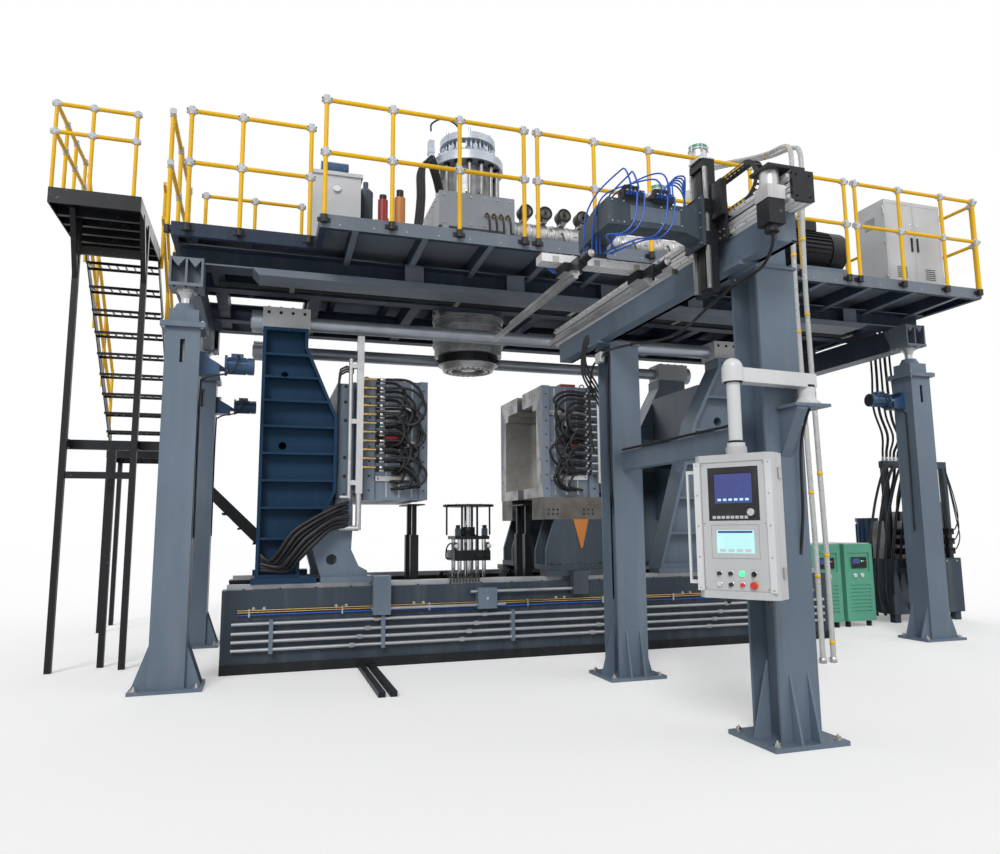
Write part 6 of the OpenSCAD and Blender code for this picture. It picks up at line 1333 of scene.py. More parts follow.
@dataclass
class Clamp:
    """Left strongback, right carriage, tie bars and the parts on them."""

    bar_y: float = 0.7
    cap_z: float = 3.73
    bolster: tuple[float, float, float] = (0.68, 0.772, 1.485)
    shoe_z: float = 0.9703

    def build(self) -> None:
        """Dress the clamp's nodes and add its pieces."""
        patch("left_strongback", PALE, lambda c: c.z > 3.4995 and -2.4585 < c.x < -1.97)
        patch("right_outer_frame", PALE, lambda c: c.z > 3.4995)
        patch("left_platen", STEEL, lambda c: c.y < -0.8605)
        patch("left_platen", BRASS, lambda c: c.y < -0.86 and c.x > -1.4055 and c.z > 2.0)
        patch("left_platen", SLATE, lambda c: c.z < 1.3 or c.z < 1.36 and c.y < -0.93 and c.x > -1.3)
        patch("right_carriage", DARK, lambda c: c.z < 1.4845)
        patch("right_carriage", WORN, lambda c: abs(c.y) < 0.8005 and 0.6895 < c.x < 1.4895
                and 1.4855 < c.z < 1.7405)
        patch("right_carriage", ORANGE, lambda c: c.y < -0.801 and 1.039 < c.x < 1.231 and 1.15 < c.z < 1.4845)
        patch("right_carriage", STEEL, lambda c: c.y < -0.815 and c.z > 1.8)
        self.hole_rims()
        self.bolts()
        self.lines()

    def hole_rims(self) -> None:
        """Dark threaded holes of the bolster plates."""
        holes = Fixings(Sort.HOLE, BLACK_BOLT)
        x0, y0, z0 = self.bolster
        for s, k, z in product((-1, 1), range(11), (0.06, 0.11)):
            x = 0.06 + 0.055 * k
            if not 0.2 <= x <= 0.47:
                holes.at((x0 + x, s * y0, z0 + z), (0, s, 0), (0.0108, 0.0108, 0.011))
        holes.build("bolster_holes", "right_clamp", "dark_paint")

    def bolts(self) -> None:
        """Cap bolts of both frames, platen bolts and the carriage's bolts."""
        for name, x0, x1 in (("left", -2.458, -1.972), ("right", 3.01, 3.47)):
            b = Fixings(Sort.HEX_BOLT, BLACK_BOLT)
            for s, k in product((-1, 1), range(4)):
                x = x0 + 0.06 + k * (x1 - x0 - 0.12) / 3
                for y in (-0.11, 0.11):
                    b.at((x, s * self.bar_y + y, self.cap_z), UP, 0.017)
                b.at((x, s * 0.85, 3.67), (0, s, 0), 0.015)
            if name == "left":
                for z, s in product((1.75, 1.95, 2.15, 2.55, 2.75, 2.92), (-1, 1)):
                    b.at((-1.58, s * 0.8, z), (0, s, 0), 0.015)
                b.grid((-1.49, -0.6, 1.85), (0, 0.24, 0), 6, (0, 0, 1.05), 2, (1, 0, 0), 0.02)
            b.build(name + "_frame_bolts", "left_clamp", "dark_paint")
        r = Fixings(Sort.HEX_BOLT, BLACK_BOLT)
        for s in (-1, 1):
            for x in (0.76, 0.86, 1.36, 1.46):
                r.at((x, s * 0.83, self.shoe_z), UP, 0.016)
                r.at((x, s * 0.82, 1.74 - 0.12), (0, s, 0), 0.001)
            for z in (1.9, 2.3, 2.7, 3.0):
                r.at((1.58, s * 0.8, z), (0, s, 0), 0.016)
        r.build("carriage_bolts", "right_clamp", "dark_paint")

    def lines(self) -> None:
        """Thick feed hoses of the left manifold, cables of the tie bar and oil pipes."""
        s = Shape()
        for k in range(6):
            x = -1.9 - 0.035 * k
            y = -0.97 - 0.02 * (k % 3)
            s.tube([(-1.55, y + 0.02, 1.42 + 0.05 * k), (-1.72, y - 0.03, 1.40 + 0.04 * k),
                    (x, y - 0.06, 1.24 + 0.03 * k), (x - 0.15, y - 0.04, 1.08 + 0.02 * k),
                    (x - 0.24, y + 0.05, 0.98 + 0.02 * k), (-2.40, -0.905, 0.99 + 0.03 * k)],
                   0.019 if k % 2 else 0.024, RUBBER)
        for k in range(3):
            s.tube([(-1.67, -0.802, 1.7 + 0.03 * k), (-1.66, -0.84, 2.0), (-1.66, -0.835, 2.6),
                    (-1.64, -0.83, 3.04 + 0.03 * k), (-1.5, -0.81, 3.07 + 0.02 * k)], 0.012, RUBBER, 8, 0.08)
        s.build("left_frame_hoses", "left_clamp", "rubber_hose")
        t = Shape()
        for k in range(3):
            t.tube([(1.3, -0.83, 3.02 - 0.03 * k), (1.46, -0.86, 3.0 - 0.03 * k), (1.62, -0.88, 2.7),
                    (1.66, -0.86, 2.2), (1.68, -0.84, 1.6), (1.62, -0.83, 1.2 - 0.02 * k),
                    (1.5, -0.82, 1.04)], 0.015, RUBBER, 8, 0.06)
        t.build("carriage_hoses", "right_clamp", "rubber_hose")


@dataclass
class Bed:
    """Machine bed: rail screws, front bolts, pipe unions, lines and cables."""

    left: float = -2.75
    y: float = 0.95
    top: float = 0.8
    bolt_z: float = 0.62
    pipe_y: float = -1.005
    pipes_z: tuple[float, ...] = (0.23, 0.31, 0.39, 0.48)
    unions_x: tuple[float, ...] = (-1.75, -0.6, 0.9, 2.4)
    clips_x: tuple[float, ...] = (-2.5, -1.6, -0.7, 0.4, 1.3, 2.2, 3.1, 4.0)

    def build(self) -> None:
        """Add the bed's pieces."""
        patch("base_frame", BLACK, lambda c: c.z < 0.24 or abs(c.y) < self.y - 0.02 and c.z < 0.79)
        patch("base_frame", STEEL_X, lambda c: c.z > self.top + 0.001 and abs(abs(c.y) - 0.82) < 0.0355)
        patch("front_pipes", SLATE, lambda c: any(x - 5e-4 <= c.x <= x + 0.0405 for x in
                (-2.3, -1.2, 0.2, 1.75, 3.3)) and (c.y < -1.034 or c.y > -0.976 or c.z > 0.4985 or c.z < 0.211))
        f = Fixings(Sort.SOCKET_SCREW, BLACK_BOLT)
        for s in (-1, 1):
            f.grid((self.left + 0.2, s * (self.y - 0.04), self.top), (0.35, 0, 0), 20, (0, 0, 0), 1, UP, 0.012)
        f.build("bed_screws", "machine_base", "dark_paint")
        h = Fixings(Sort.HEX_BOLT, ZINC)
        for k in range(9):
            x = self.left + 0.3 + k * 0.8
            if abs(x + 0.075) > 0.3:
                for at in (x, x + 0.1):
                    h.at((at, -self.y, self.bolt_z), (0, -1, 0), 0.014)
        h.build("bed_front_bolts", "machine_base", "bare_steel")
        s = Shape()
        for z, x in product(self.pipes_z, self.unions_x):
            s.lathe((x + z, self.pipe_y, z), (FAR, self.pipe_y, z), collar(0.0175, 0.025, 0.05), STEEL, 6, False)
        s.tube([(-2.6, -0.975, 0.56), *((x, -0.972, z) for x, z in (
            (-1.4, 0.56), (-0.4, 0.545), (0.9, 0.56), (2.6, 0.55), (4.2, 0.56)))], 0.007, BLUE_TUBE, 8, 0.2)
        for z in (0.585, 0.605):
            s.tube([(-2.6, -0.966, z), (4.2, -0.966, z)], 0.006, BRASS, 8, 0.5)
        for x in self.clips_x:
            s.block((x, -0.984, 0.54), (x + 0.02, -0.95, 0.62), ZINC, 0.002)
        s.build("bed_lines", "machine_base", "bare_steel")
        c = Shape()
        for x in (-0.44 + 0.035 * k for k in range(10)):
            c.tube([(x, -0.9, 0.812), (x + 0.01, -0.86, 0.9), (x + 0.02, -0.80, 0.86), (x + 0.02, -0.74, 0.75)],
                   0.009, RUBBER, 8)
        c.build("bed_cables", "machine_base", "rubber_hose")


@dataclass
class BlowUnit:
    """Blow pin unit in the middle of the bed."""

    table_z: float = 0.73
    plate_z: float = 1.675
    guide_z: float = 1.3003

    def build(self) -> None:
        """Dress the unit and add its fittings."""
        patch("blow_head", BLACK, lambda c: c.z > 1.6495 and math.hypot(c.x, c.y) > 0.065)
        patch("blow_head", CHROME, lambda c: 0.74 < c.z < 1.6495 and math.hypot(c.x, c.y) < 0.0605)
        patch("blow_unit_frame", CHROME, lambda c: 0.731 < c.z < 1.2595 and abs(abs(c.x) - 0.15) < 0.0255
                and abs(abs(c.y) - 0.15) < 0.0255)
        patch("blow_unit_frame", BLACK, lambda c: abs(c.x) > 0.59)
        f = Fixings(Sort.SOCKET_SCREW, ZINC)
        for radius, count in ((0.28, 12), (0.1, 8)):
            f.ring((0, 0, self.plate_z), radius, count, size=0.009)
        f.build("blow_head_screws", "blow_unit", "bare_steel")
        g = Fixings(Sort.HEX_BOLT, ZINC)
        for sx, sy in CORNERS:
            g.at((sx * 0.38, sy * 0.38, self.table_z), UP, 0.016)
            for s in (-1, 1):
                g.at((s * 0.7 + sx * 0.06, sy * 0.2, 0.72), UP, 0.009)
        g.build("blow_frame_bolts", "machine_base", "bare_steel")
        s = Shape()
        for sx in (-1, 1):
            for k in range(3):
                y = -0.3 - 0.03 * k
                s.tube([(sx * (0.2 + 0.03 * k), y, 0.745), (sx * (0.28 + 0.02 * k), y - 0.03, 0.82),
                        (sx * (0.36 + 0.02 * k), y, 0.9), (sx * (0.4 + 0.02 * k), y + 0.1, 0.82),
                        (sx * 0.41, y + 0.2, 0.7301)], 0.011, RUBBER, 8)
            s.block((sx * 0.3 - 0.07, -0.42, 0.7302), (sx * 0.3 + 0.07, -0.34, 0.80), STEEL, 0.004)
            s.rod((sx * 0.3, -0.42, 0.76), (sx * 0.3, -0.44, 0.76), 0.02, BRASS, 6)
        s.build("blow_unit_hoses", "machine_base", "rubber_hose")
        s = Shape()
        s.lathe((0, 0, self.guide_z), (0, 0, FAR),
                [(0, 0.0612), (0, 0.095), (0.014, 0.095), (0.018, 0.08), (0.1, 0.08), (0.106, 0.074),
                 (0.106, 0.0612)], BLACK)
        m = Shape()
        for side in (-1, 1):
            x = side * 0.165
            s.block((x - 0.03, -0.17, self.guide_z), (x + 0.03, -0.1, 1.39), NAVY, 0.004)
            s.block((x - 0.022, -0.16, 1.39), (x + 0.022, -0.11, 1.43), BLACK, 0.003)
            x = side * 0.2
            m.block((x - 0.018, -0.17, 1.1303), (x + 0.018, -0.02, 1.225), NAVY, 0.004)
            m.lathe((x, -0.17, 1.18), (x, -FAR, 1.18),
                    [(0, 0.01), (0.02, 0.01), (0.02, 0.024), (0.045, 0.027), (0.052, 0.022), (0.052, 0)],
                    WHITE, 24)
            m.tube([(x, -0.02, 1.2), (side * 0.22, 0.03, 1.21), (side * 0.255, 0.06, 1.16),
                    (side * 0.255, 0.1, 1.04), (side * 0.2203, 0.12, 1.03)], 0.009, RUBBER, 8)
        s.build("blow_valves", "machine_base", "dark_paint")
        m.build("blow_head_fittings", "blow_unit", "dark_paint")


@dataclass
class Robot:
    """Take-out robot: profile, carriage, energy chain, cranked arm and its air lines."""

    rail_x: float = 0.75
    rail_z: float = 3.4
    near: float = -5.2
    far: float = -1.23
    carriage_y: float = -4.4
    column_x: float = 0.93
    columns_y: tuple[float, float] = (-4.56, -2.28)
    air_line: float = 0.006
    bar_x: float = -0.05

    def build(self) -> None:
        """Dress the robot's nodes and add its pieces."""
        face = self.rail_x - 0.1283
        patch("robot_rail_profile", BLACK, lambda c: c.y < self.near - 0.0001 or c.y > self.far + 0.0001)
        patch("robot_carriage", STEEL, lambda c: c.x < face + 0.0002 and 3.0495 < c.z < 3.9555
                and 0.0745 < abs(c.y - self.carriage_y) < 0.0955)
        patch("robot_arm", BLACK, lambda c: c.x > 0.53 or c.z > 3.6305)
        patch("robot_arm", PROFILE, lambda c: c.z < 3.3205)
        for side in ("left", "right"):
            patch("gripper_jaw_" + side, BLACK, lambda c: c.z > 3.1905 or c.y < -4.2005)
        self.columns()
        self.beam()
        self.drive()
        self.carriage()
        self.chain()
        self.arm()
        self.jaws()

    def columns(self) -> None:
        """Foot nuts, bolts, cable ducts and cables of the two columns."""
        nuts = Fixings(Sort.ANCHOR_NUT, ZINC)
        bolts = Fixings(Sort.HEX_BOLT, ZINC)
        s = Shape()
        for y in self.columns_y:
            for sx, sy in CORNERS:
                nuts.at((self.column_x + sx * 0.23, y + sy * 0.2, 0.03), UP, 0.019)
                bolts.at((self.column_x + sx * 0.13, y + sy * 0.13, 3.15), DOWN, 0.011)
            duct = y - 0.149 if y == self.columns_y[0] else y + 0.128
            s.block((0.865, duct, 0.7), (0.885, duct + 0.021, 3.1), BLACK, 0.002)
        for z, x in product((1.95, 2.08), (0.89, 0.97)):
            bolts.at((x, self.columns_y[0] + 0.1502, z), (0, 1, 0), 0.012)
        nuts.build("robot_anchor_nuts", "machine_base", "bare_steel")
        bolts.build("robot_column_bolts", "machine_base", "bare_steel")
        for k in range(3):
            s.tube([(0.86 - 0.012 * k, y, 2.116) for y in (-4.3, -3.4, -2.5)], 0.009, RUBBER, 8, 0.3)
        s.tube([(0.845, -2.29, 3.15), (0.80, -2.31, 2.9), (0.79, -2.32, 2.4), (0.80, -2.30, 1.9),
                (0.845, -2.28, 1.5)], 0.012, RUBBER, 8)
        for k in range(4):
            s.tube([(0.70, -2.13 + 0.028 * k, 3.32), (0.668, -2.12 + 0.028 * k, 3.22),
                    (0.665, -2.10 + 0.03 * k, 3.02 - 0.03 * k), (0.80, -2.08 + 0.01 * k, 2.8 - 0.05 * k),
                    (0.9, -2.11, 2.55 - 0.06 * k), (0.93, -2.1275, 2.2)],
                   0.011, RUBBER, 8)
        s.tube([(1.0, -4.7125, 1.2), (1.02, -4.735, 1.5), (1.03, -4.74, 1.9), (1.06, -4.78, 2.12),
                (1.07, -4.80, 2.158)], 0.01, RUBBER, 8)
        s.build("robot_cables", "machine_base", "rubber_hose")

    def beam(self) -> None:
        """Screws and slot covers of the profile, and the tray beside it."""
        x = self.rail_x - 0.06
        screws = Fixings(Sort.SOCKET_SCREW, BLACK_BOLT)
        for z in (self.rail_z + 0.032, self.rail_z + 0.168):
            screws.grid((x - 0.0241, self.near + 0.06, z), (0, 0.12, 0), 33, (0, 0, 0), 1, (-1, 0, 0), 0.005)
        for z, dx in product((0.03, 0.17), (0.03, 0.13)):
            screws.at((x + dx, self.near - 0.026, self.rail_z + z), (0, -1, 0), 0.008)
        screws.build("beam_screws", "machine_base", "dark_paint")
        s = Shape()
        for z in (0.0575, 0.1295):
            s.block((x - 0.0008, self.near + 0.02, self.rail_z + z - 0.004), (x + 0.004, self.far - 0.02,
                    self.rail_z + z + 0.004), BLACK, 0.0005)
        s.block((x + 0.0485, self.near + 0.01, self.rail_z + 0.186), (x + 0.0585, self.far - 0.01,
                self.rail_z + 0.2008), BLACK, 0.0005)
        s.build("beam_slot_covers", "machine_base", "black_plastic")
        b = Shape()
        b.block((0.80, -5.05, 3.2), (0.842, -1.36, 3.215), ZINC, 0.002)
        for k in range(24):
            y = -5.0 + k * 0.155
            b.block((0.8405, y, 3.215), (0.8425, y + 0.09, 3.39), BLACK, 0.0008)
        b.build("beam_cable_tray", "machine_base", "bare_steel")

    def drive(self) -> None:
        """Silver gearbox, black motor and the motor's cable along the beam."""
        patch("robot_drive", STEEL, lambda c: 3.4095 < c.z < 3.5995)
        patch("robot_drive", BLACK, lambda c: c.z < 3.4095 or c.z > 3.5995)
        s = Shape()
        s.tube([(0.60, -5.13, 3.2099), (0.61, -5.10, 3.13), (0.638, -4.95, 3.05), (0.638, -4.70, 3.03),
                (0.638, -4.40, 2.98), (0.65, -3.83, 2.88), (0.65, -3.11, 2.98), (0.66, -2.60, 3.04),
                (0.717, -2.371, 3.04)], 0.011, RUBBER, 10)
        for y, z in ((-4.72, 3.032), (-3.83, 2.88), (-3.11, 2.98)):
            s.lathe((0.648, y - 0.012, z), (0.648, FAR, z), collar(0, 0.016, 0.024), BLACK, 12)
        s.block((0.695, -2.37, 2.99), (0.7398, -2.25, 3.09), PALE, 0.004)
        s.tube([(0.717, -2.25, 3.03), (0.70, -2.16, 2.94), (0.69, -2.10, 2.6), (0.70, -2.13, 2.2),
                (0.7299, -2.17, 2.1)], 0.011, RUBBER, 10)
        s.build("motor_cable", "machine_base", "rubber_hose")

    def carriage(self) -> None:
        """Screws, top plate and cable of the carriage."""
        f = Fixings(Sort.SOCKET_SCREW, ZINC)
        xf = self.rail_x - 0.0843
        y0, top = self.carriage_y, self.rail_z + 0.62
        for z, y in product((3.40, 3.45, 3.57, 3.61), (-0.19, -0.14, 0.14, 0.19)):
            f.at((xf - 0.044, y0 + y, z), (-1, 0, 0), 0.008)
        for k, y in product(range(11), (-0.085, 0.085)):
            f.at((xf - 0.1242, y0 + y, 3.07 + k * 0.085), (-1, 0, 0), 0.0055)
        f.build("carriage_screws", "robot_slide", "bare_steel")
        s = Shape()
        s.block((xf - 0.14, y0 - 0.075, top), (xf - 0.02, y0 + 0.075, top + 0.02), STEEL)
        s.tube([(xf - 0.08, y0 + 0.03, top + 0.01), (xf - 0.07, y0 + 0.12, top + 0.03),
                (xf - 0.05, y0 + 0.17, top - 0.08), (xf - 0.04, y0 + 0.16, top - 0.3)], 0.009, RUBBER, 8)
        s.block((xf - 0.1085, y0 - 0.035, 3.06), (xf - 0.1045, y0 + 0.035, top - 0.07), RUBBER, 0.001)
        s.build("carriage_drive", "robot_slide", "black_paint")

    def chain(self) -> None:
        """Pins and yellow clips on both sides of the energy chain's two runs."""
        pins, clips = Fixings(Sort.HOLE, ZINC), Shape()
        middle, half, pitch = self.rail_z + 0.3463, 0.13, 0.045
        low_links, high_links = 12, 8
        for side, x in ((-1, self.rail_x - 0.05), (1, self.rail_x + 0.01)):
            for run, links in ((-1, low_links), (1, high_links)):
                for k in range(links):
                    y, z = self.carriage_y - 0.33 + k * pitch, middle + run * half
                    pins.at((x, y, z), (side, 0, 0), 0.008)
                    xs = sorted((x + side * 0.0002, x + side * 0.0022))
                    clips.block((xs[0], y + 0.011, z - 0.008), (xs[1], y + 0.033, z + 0.008), YELLOW, 0.0006)
        pins.build("chain_pins", "robot_slide", "bare_steel")
        clips.build("chain_clips", "robot_slide", "yellow_paint")

    def arm(self) -> None:
        """Arm seams, valve solenoids, blue air lines and the cross-bar's fittings."""
        y, z = self.carriage_y, self.rail_z + 0.06
        x0 = self.rail_x - 0.0843 - 0.124
        ax = x0 - 0.76
        f = Fixings(Sort.SOCKET_SCREW, ZINC)
        f.grid((x0 - 0.0481, y - 0.1, z - 0.09), (0, 0.2, 0), 2, (0, 0, 0.11), 4, (-1, 0, 0), 0.008)
        f.grid((ax + 0.03, y - 0.0801, z + 0.0), (0.09, 0, 0), 2, (0, 0, 0.15), 2, (0, -1, 0), 0.009)
        f.grid((x0 - 0.35, y - 0.0801, z + 0.02), (0.08, 0, 0), 3, (0, 0, 0.12), 2, (0, -1, 0), 0.008)
        f.grid((-0.53, -4.13, 3.32), (0.1, 0, 0), 11, (0, 0.04, 0), 2, UP, 0.005)
        f.build("arm_screws", "robot_lift", "bare_steel")
        s = Shape()
        s.block((ax + 0.17, y - 0.083, z + 0.02), (x0 - 0.2, y - 0.08, z + 0.13), SLATE, 0.001)
        random.seed(21)
        for k in range(8):
            x = x0 - 0.63 + k * 0.028 + (0.12 if k > 3 else 0)
            s.block((x - 0.011, y - 0.107, z + 0.2322), (x + 0.011, y - 0.055, z + 0.262), BLACK, 0.002)
            s.rod((x, y - 0.1105, z + 0.19), (x, y - 0.135, z + 0.19), 0.008, BLUE_TUBE, 10)
            s.rod((x, y - 0.1105, z + 0.215), (x, y - 0.13, z + 0.215), 0.006, STEEL, 10)
            side = ax + random.uniform(-0.05, 0.1)
            hump = z + 0.26 + random.uniform(0.0, 0.07)
            line = [(x, y - 0.13, z + 0.19)]
            if k % 2 == 0:
                line += [(x - 0.01, y - 0.2, z + 0.2), (x - 0.06, y - 0.22, hump),
                         ((x + side) / 2, y - 0.17 + 0.05 * random.random(), hump + 0.01),
                         (side - 0.02, y - 0.02, z + 0.215), (side - 0.06, y + 0.08, z + 0.10),
                         (side - 0.05, y + 0.16, z - 0.06), (side - 0.03, y + 0.2, 3.33)]
            else:
                line += [(x + 0.01, y - 0.19, z + 0.17),
                         (x - 0.03, y - 0.21, z - 0.02 - 0.03 * random.random()),
                         (x - 0.1, y - 0.17, z - 0.12), (x - 0.16, y - 0.05, z - 0.10),
                         (side + 0.12, y + 0.1, z - 0.13), (side + 0.1, y + 0.17, 3.325)]
            s.tube(line, self.air_line, BLUE_TUBE, 8, 0.025)
        for d in (0.02 * k for k in range(5)):
            s.tube([(x0 - 0.3 + d, y - 0.03, z + 0.2325), (x0 - 0.27 + d, y + 0.01, z + 0.33 + d),
                    (x0 - 0.17 + d, y + 0.03, z + 0.38 + d), (x0 - 0.09 + d * 0.3, y + 0.05, z + 0.33 + d),
                    (x0 - 0.06, y + 0.06 + d * 0.5, z + 0.2)], self.air_line, BLUE_TUBE, 8, 0.025)
        for way in (-1, 1):
            for x in (self.bar_x + way * (0.4 + 0.02 * k) for k in range(2)):
                s.tube([(x, -4.04, 3.322), (x + 0.01, -4.0, 3.36), (x - 0.02, -3.97, 3.3),
                        (x - way * 0.03, -3.985, 3.24), (x - way * 0.04, -4.0, 3.225)],
                       self.air_line, BLUE_TUBE, 8, 0.02)
            x = self.bar_x + way * 0.47
            s.block((x - 0.04, -4.08, 3.3202), (x + 0.04, -4.02, 3.35), BLACK, 0.003)
        for x in (-0.49 + k * 0.32 for k in range(4)):
            s.block((x, -4.132, 3.262), (x + 0.05, -4.1301, 3.305), ZINC, 0.001)
        s.build("arm_air_lines", "robot_lift", "rubber_hose")

    def jaws(self) -> None:
        """Air fittings, pads' bolts and end caps of the two gripper jaws."""
        for name, xj in (("left", -0.34), ("right", 0.24)):
            j = Shape()
            for k in range(2):
                j.rod((xj, -4.34 + k * 0.12, 3.25), (xj, -4.34 + k * 0.12, 3.268), 0.008, BLUE_TUBE, 10)
            for k in range(5):
                j.rod((xj - 0.0345, -4.0 + k * 0.3, 3.175), (xj - 0.038, -4.0 + k * 0.3, 3.175), 0.008, ZINC, 6)
            j.lathe((xj, -4.4601, 3.22), (xj, -FAR, 3.22),
                    [(0, 0.026), (0.006, 0.026), (0.008, 0.012), (0.02, 0.012)], STEEL)
            j.build("jaw_fittings_" + name, "jaw_" + name, "bare_steel")


@dataclass
class Pendant:
    """Operator panel on its swivelling arm."""

    elbow: tuple[float, float] = (0.44, -4.86)
    foot_z: float = 0.95
    turn: float = -56.0
    depth: float = 0.2
    pillar: tuple[float, float] = (1.05, -4.8)

    def place(self) -> Matrix:
        """Frame of the panel: X across, Y into it, Z up from its foot."""
        return Matrix.Translation((*self.elbow, self.foot_z)) @ Matrix.Rotation(math.radians(self.turn), 4, "Z")

    def build(self) -> None:
        """Dress the panel and add its rims, screens, keys' collars and cable."""
        back = self.place().inverted()
        f = -self.depth / 2

        def local(test: Callable[[Vector], bool]) -> Callable[[Vector], bool]:
            """A test in the panel's own frame."""
            return lambda c: test(back @ c)

        patch("hmi_panel", WHITE, local(lambda c: c.y < f - 0.0005 and abs(c.x) > 0.2 or c.x < -0.2505))
        patch("hmi_panel", PLASTIC, local(lambda c: abs(c.x) < 0.1585 and 0.4715 < c.z < 0.7985
                                            and f + 0.004 < c.y < f + 0.02))
        patch("hmi_panel", LAMP, local(lambda c: abs(c.x - 0.036) < 0.0175 and abs(c.z - 0.15) < 0.0175
                                         and c.y < f + 0.0055))
        self.front()
        self.arm_lines()

    def front(self) -> None:
        """Front plate, screens, frame strips, collars and screws."""
        m, f, s = self.place(), -self.depth / 2, Shape()

        def plate(xs: Point, zs: Point, ys: Point, finish: Finish, bevel: float = 0.0003) -> None:
            """A flat piece on the front, its depths counted from the front face."""
            s.block((xs[0], f + ys[0], zs[0]), (xs[1], f + ys[1], zs[1]), finish, bevel, m)

        def ring(x: float, z: float, y: float, rings: list[tuple[float, float]], finish: Finish) -> None:
            """A turned piece on the front, its depth counted from the front face."""
            s.lathe(m @ Vector((x, f + y, z)), m @ Vector((x, f + y - 1, z)), rings, finish, 28)

        wide, sheet, edge = (-0.118, 0.118), (0.0052, 0.0058), 0.0035
        plate(wide, (0.576, 0.758), (0.0058, 0.0078), GLASS, 0.001)
        for x in (-0.10 + k * 0.035 for k in range(6)):
            plate((x, x + 0.022), (0.592, 0.606), sheet, TEAL)
        plate((-0.104, 0.02), (0.63, 0.735), sheet, GLASS)
        plate(wide, (0.272, 0.414), (0.0088, 0.0108), TEAL, 0.001)
        plate((-0.108, 0.108), (0.395, 0.408), (0.0082, 0.0088), GLASS)
        for x in (-0.1 + k * 0.053 for k in range(4)):
            plate((x, x + 0.038), (0.28, 0.298), (0.0082, 0.0088), WHITE)
        for z in (0.0465, 0.83):
            plate((-0.2035, 0.2035), (z, z + edge), (0.002, 0.0058), ZINC, 0.0005)
        for x in (-0.2035, 0.2):
            plate((x, x + edge), (0.05, 0.83), (0.002, 0.0058), ZINC, 0.0005)
        for x in (-0.137 + k * 0.029 for k in range(8)):
            plate((x, x + 0.022), (0.482, 0.5), (0.0045, 0.006), PALE, 0.0005)
        for i, k in product(range(4), range(2)):
            x, z, stop = -0.108 + i * 0.072, 0.15 - k * 0.066, (i, k) == (3, 1)
            r, low = (0.0235, 0.0004) if stop else (0.018, 0.0035)
            ring(x, z, 0.006, [(0, r), (low, r), (low + 0.001, r - 0.0015), (low + 0.001, 0.0148)],
                 YELLOW if stop else CHROME)
            plate((x - 0.016, x + 0.016), (z + 0.0245, z + 0.0325), (0.0045, 0.006), PALE)
        ring(0.036, 0.15, -0.0041, [(0, 0.0165), (0.003, 0.015), (0.006, 0.011), (0.007, 0.004)], LAMP)
        for x, z in product((-0.226, 0.226), (0.06, 0.25, 0.44, 0.63, 0.82)):
            ring(x, z, -0.008, [(0, 0.006), (0.002, 0.006), (0.003, 0.004)], ZINC)
        for x, z in product((-0.19, 0.19), (0.062, 0.455, 0.818)):
            ring(x, z, 0.006, [(0, 0.005), (0.002, 0.005), (0.003, 0.003)], ZINC)
        for z in (0.2, 0.68):
            s.lathe(m @ Vector((-0.2505, 0.03, z)), m @ Vector((-FAR, 0.03, z)),
                    [(0, 0.014), (0.006, 0.014), (0.008, 0.01)], ZINC)
        for z in (0.12, 0.72):
            s.block((0.2505, -0.01, z), (0.262, 0.03, z + 0.07), ZINC, 0.003, m)
        s.block((-0.17, 0.1, 0.12), (0.17, 0.1035, 0.78), PALE, 0.003, m)
        for z in (0.2 + k * 0.022 for k in range(9)):
            s.block((-0.1, 0.1035, z), (0.1, 0.1055, z + 0.009), BLACK, 0.0008, m)
        for x in (-0.13, 0.13):
            s.tube([m @ Vector(p) for p in ((x, 0.06, 0), (x, 0.06, -0.03), (x, 0.09, -0.045), (x, 0.13, -0.02),
                                            (x * 0.9, 0.115, 0.08), (x * 0.8, 0.103, 0.1))],
                   0.006, RUBBER, 8, 0.02)
        s.build("panel_front", "pendant", "white_paint")

    def arm_lines(self) -> None:
        """Seals and screws round the joints of the swivelling arm."""
        s = Shape()
        (ex, ey), (px, py) = self.elbow, self.pillar
        for x, y, z, rings in (
                (ex, ey, 1.9065, [(0, 0.0425), (0.003, 0.047), (0.012, 0.047), (0.015, 0.0425)]),
                (ex, ey, 2.292, [(0, 0.0425), (0, 0.056), (0.006, 0.06), (0.0062, 0.0425)]),
                (px, py, 2.3, [(0, 0.0555), (0.004, 0.058), (0.012, 0.058), (0.016, 0.0555)])):
            s.lathe((x, y, z), (x, y, FAR), rings, BLACK, 40)
        for a in (k * math.pi / 3 for k in range(6)):
            x, y = px + 0.081 * math.cos(a), py + 0.081 * math.sin(a)
            s.lathe((x, y, 2.1943), (x, y, FAR), [(0, 0.008), (0.005, 0.008), (0.006, 0.006)], ZINC, 6)
        s.build("arm_seals", "pendant_arm", "black_plastic")


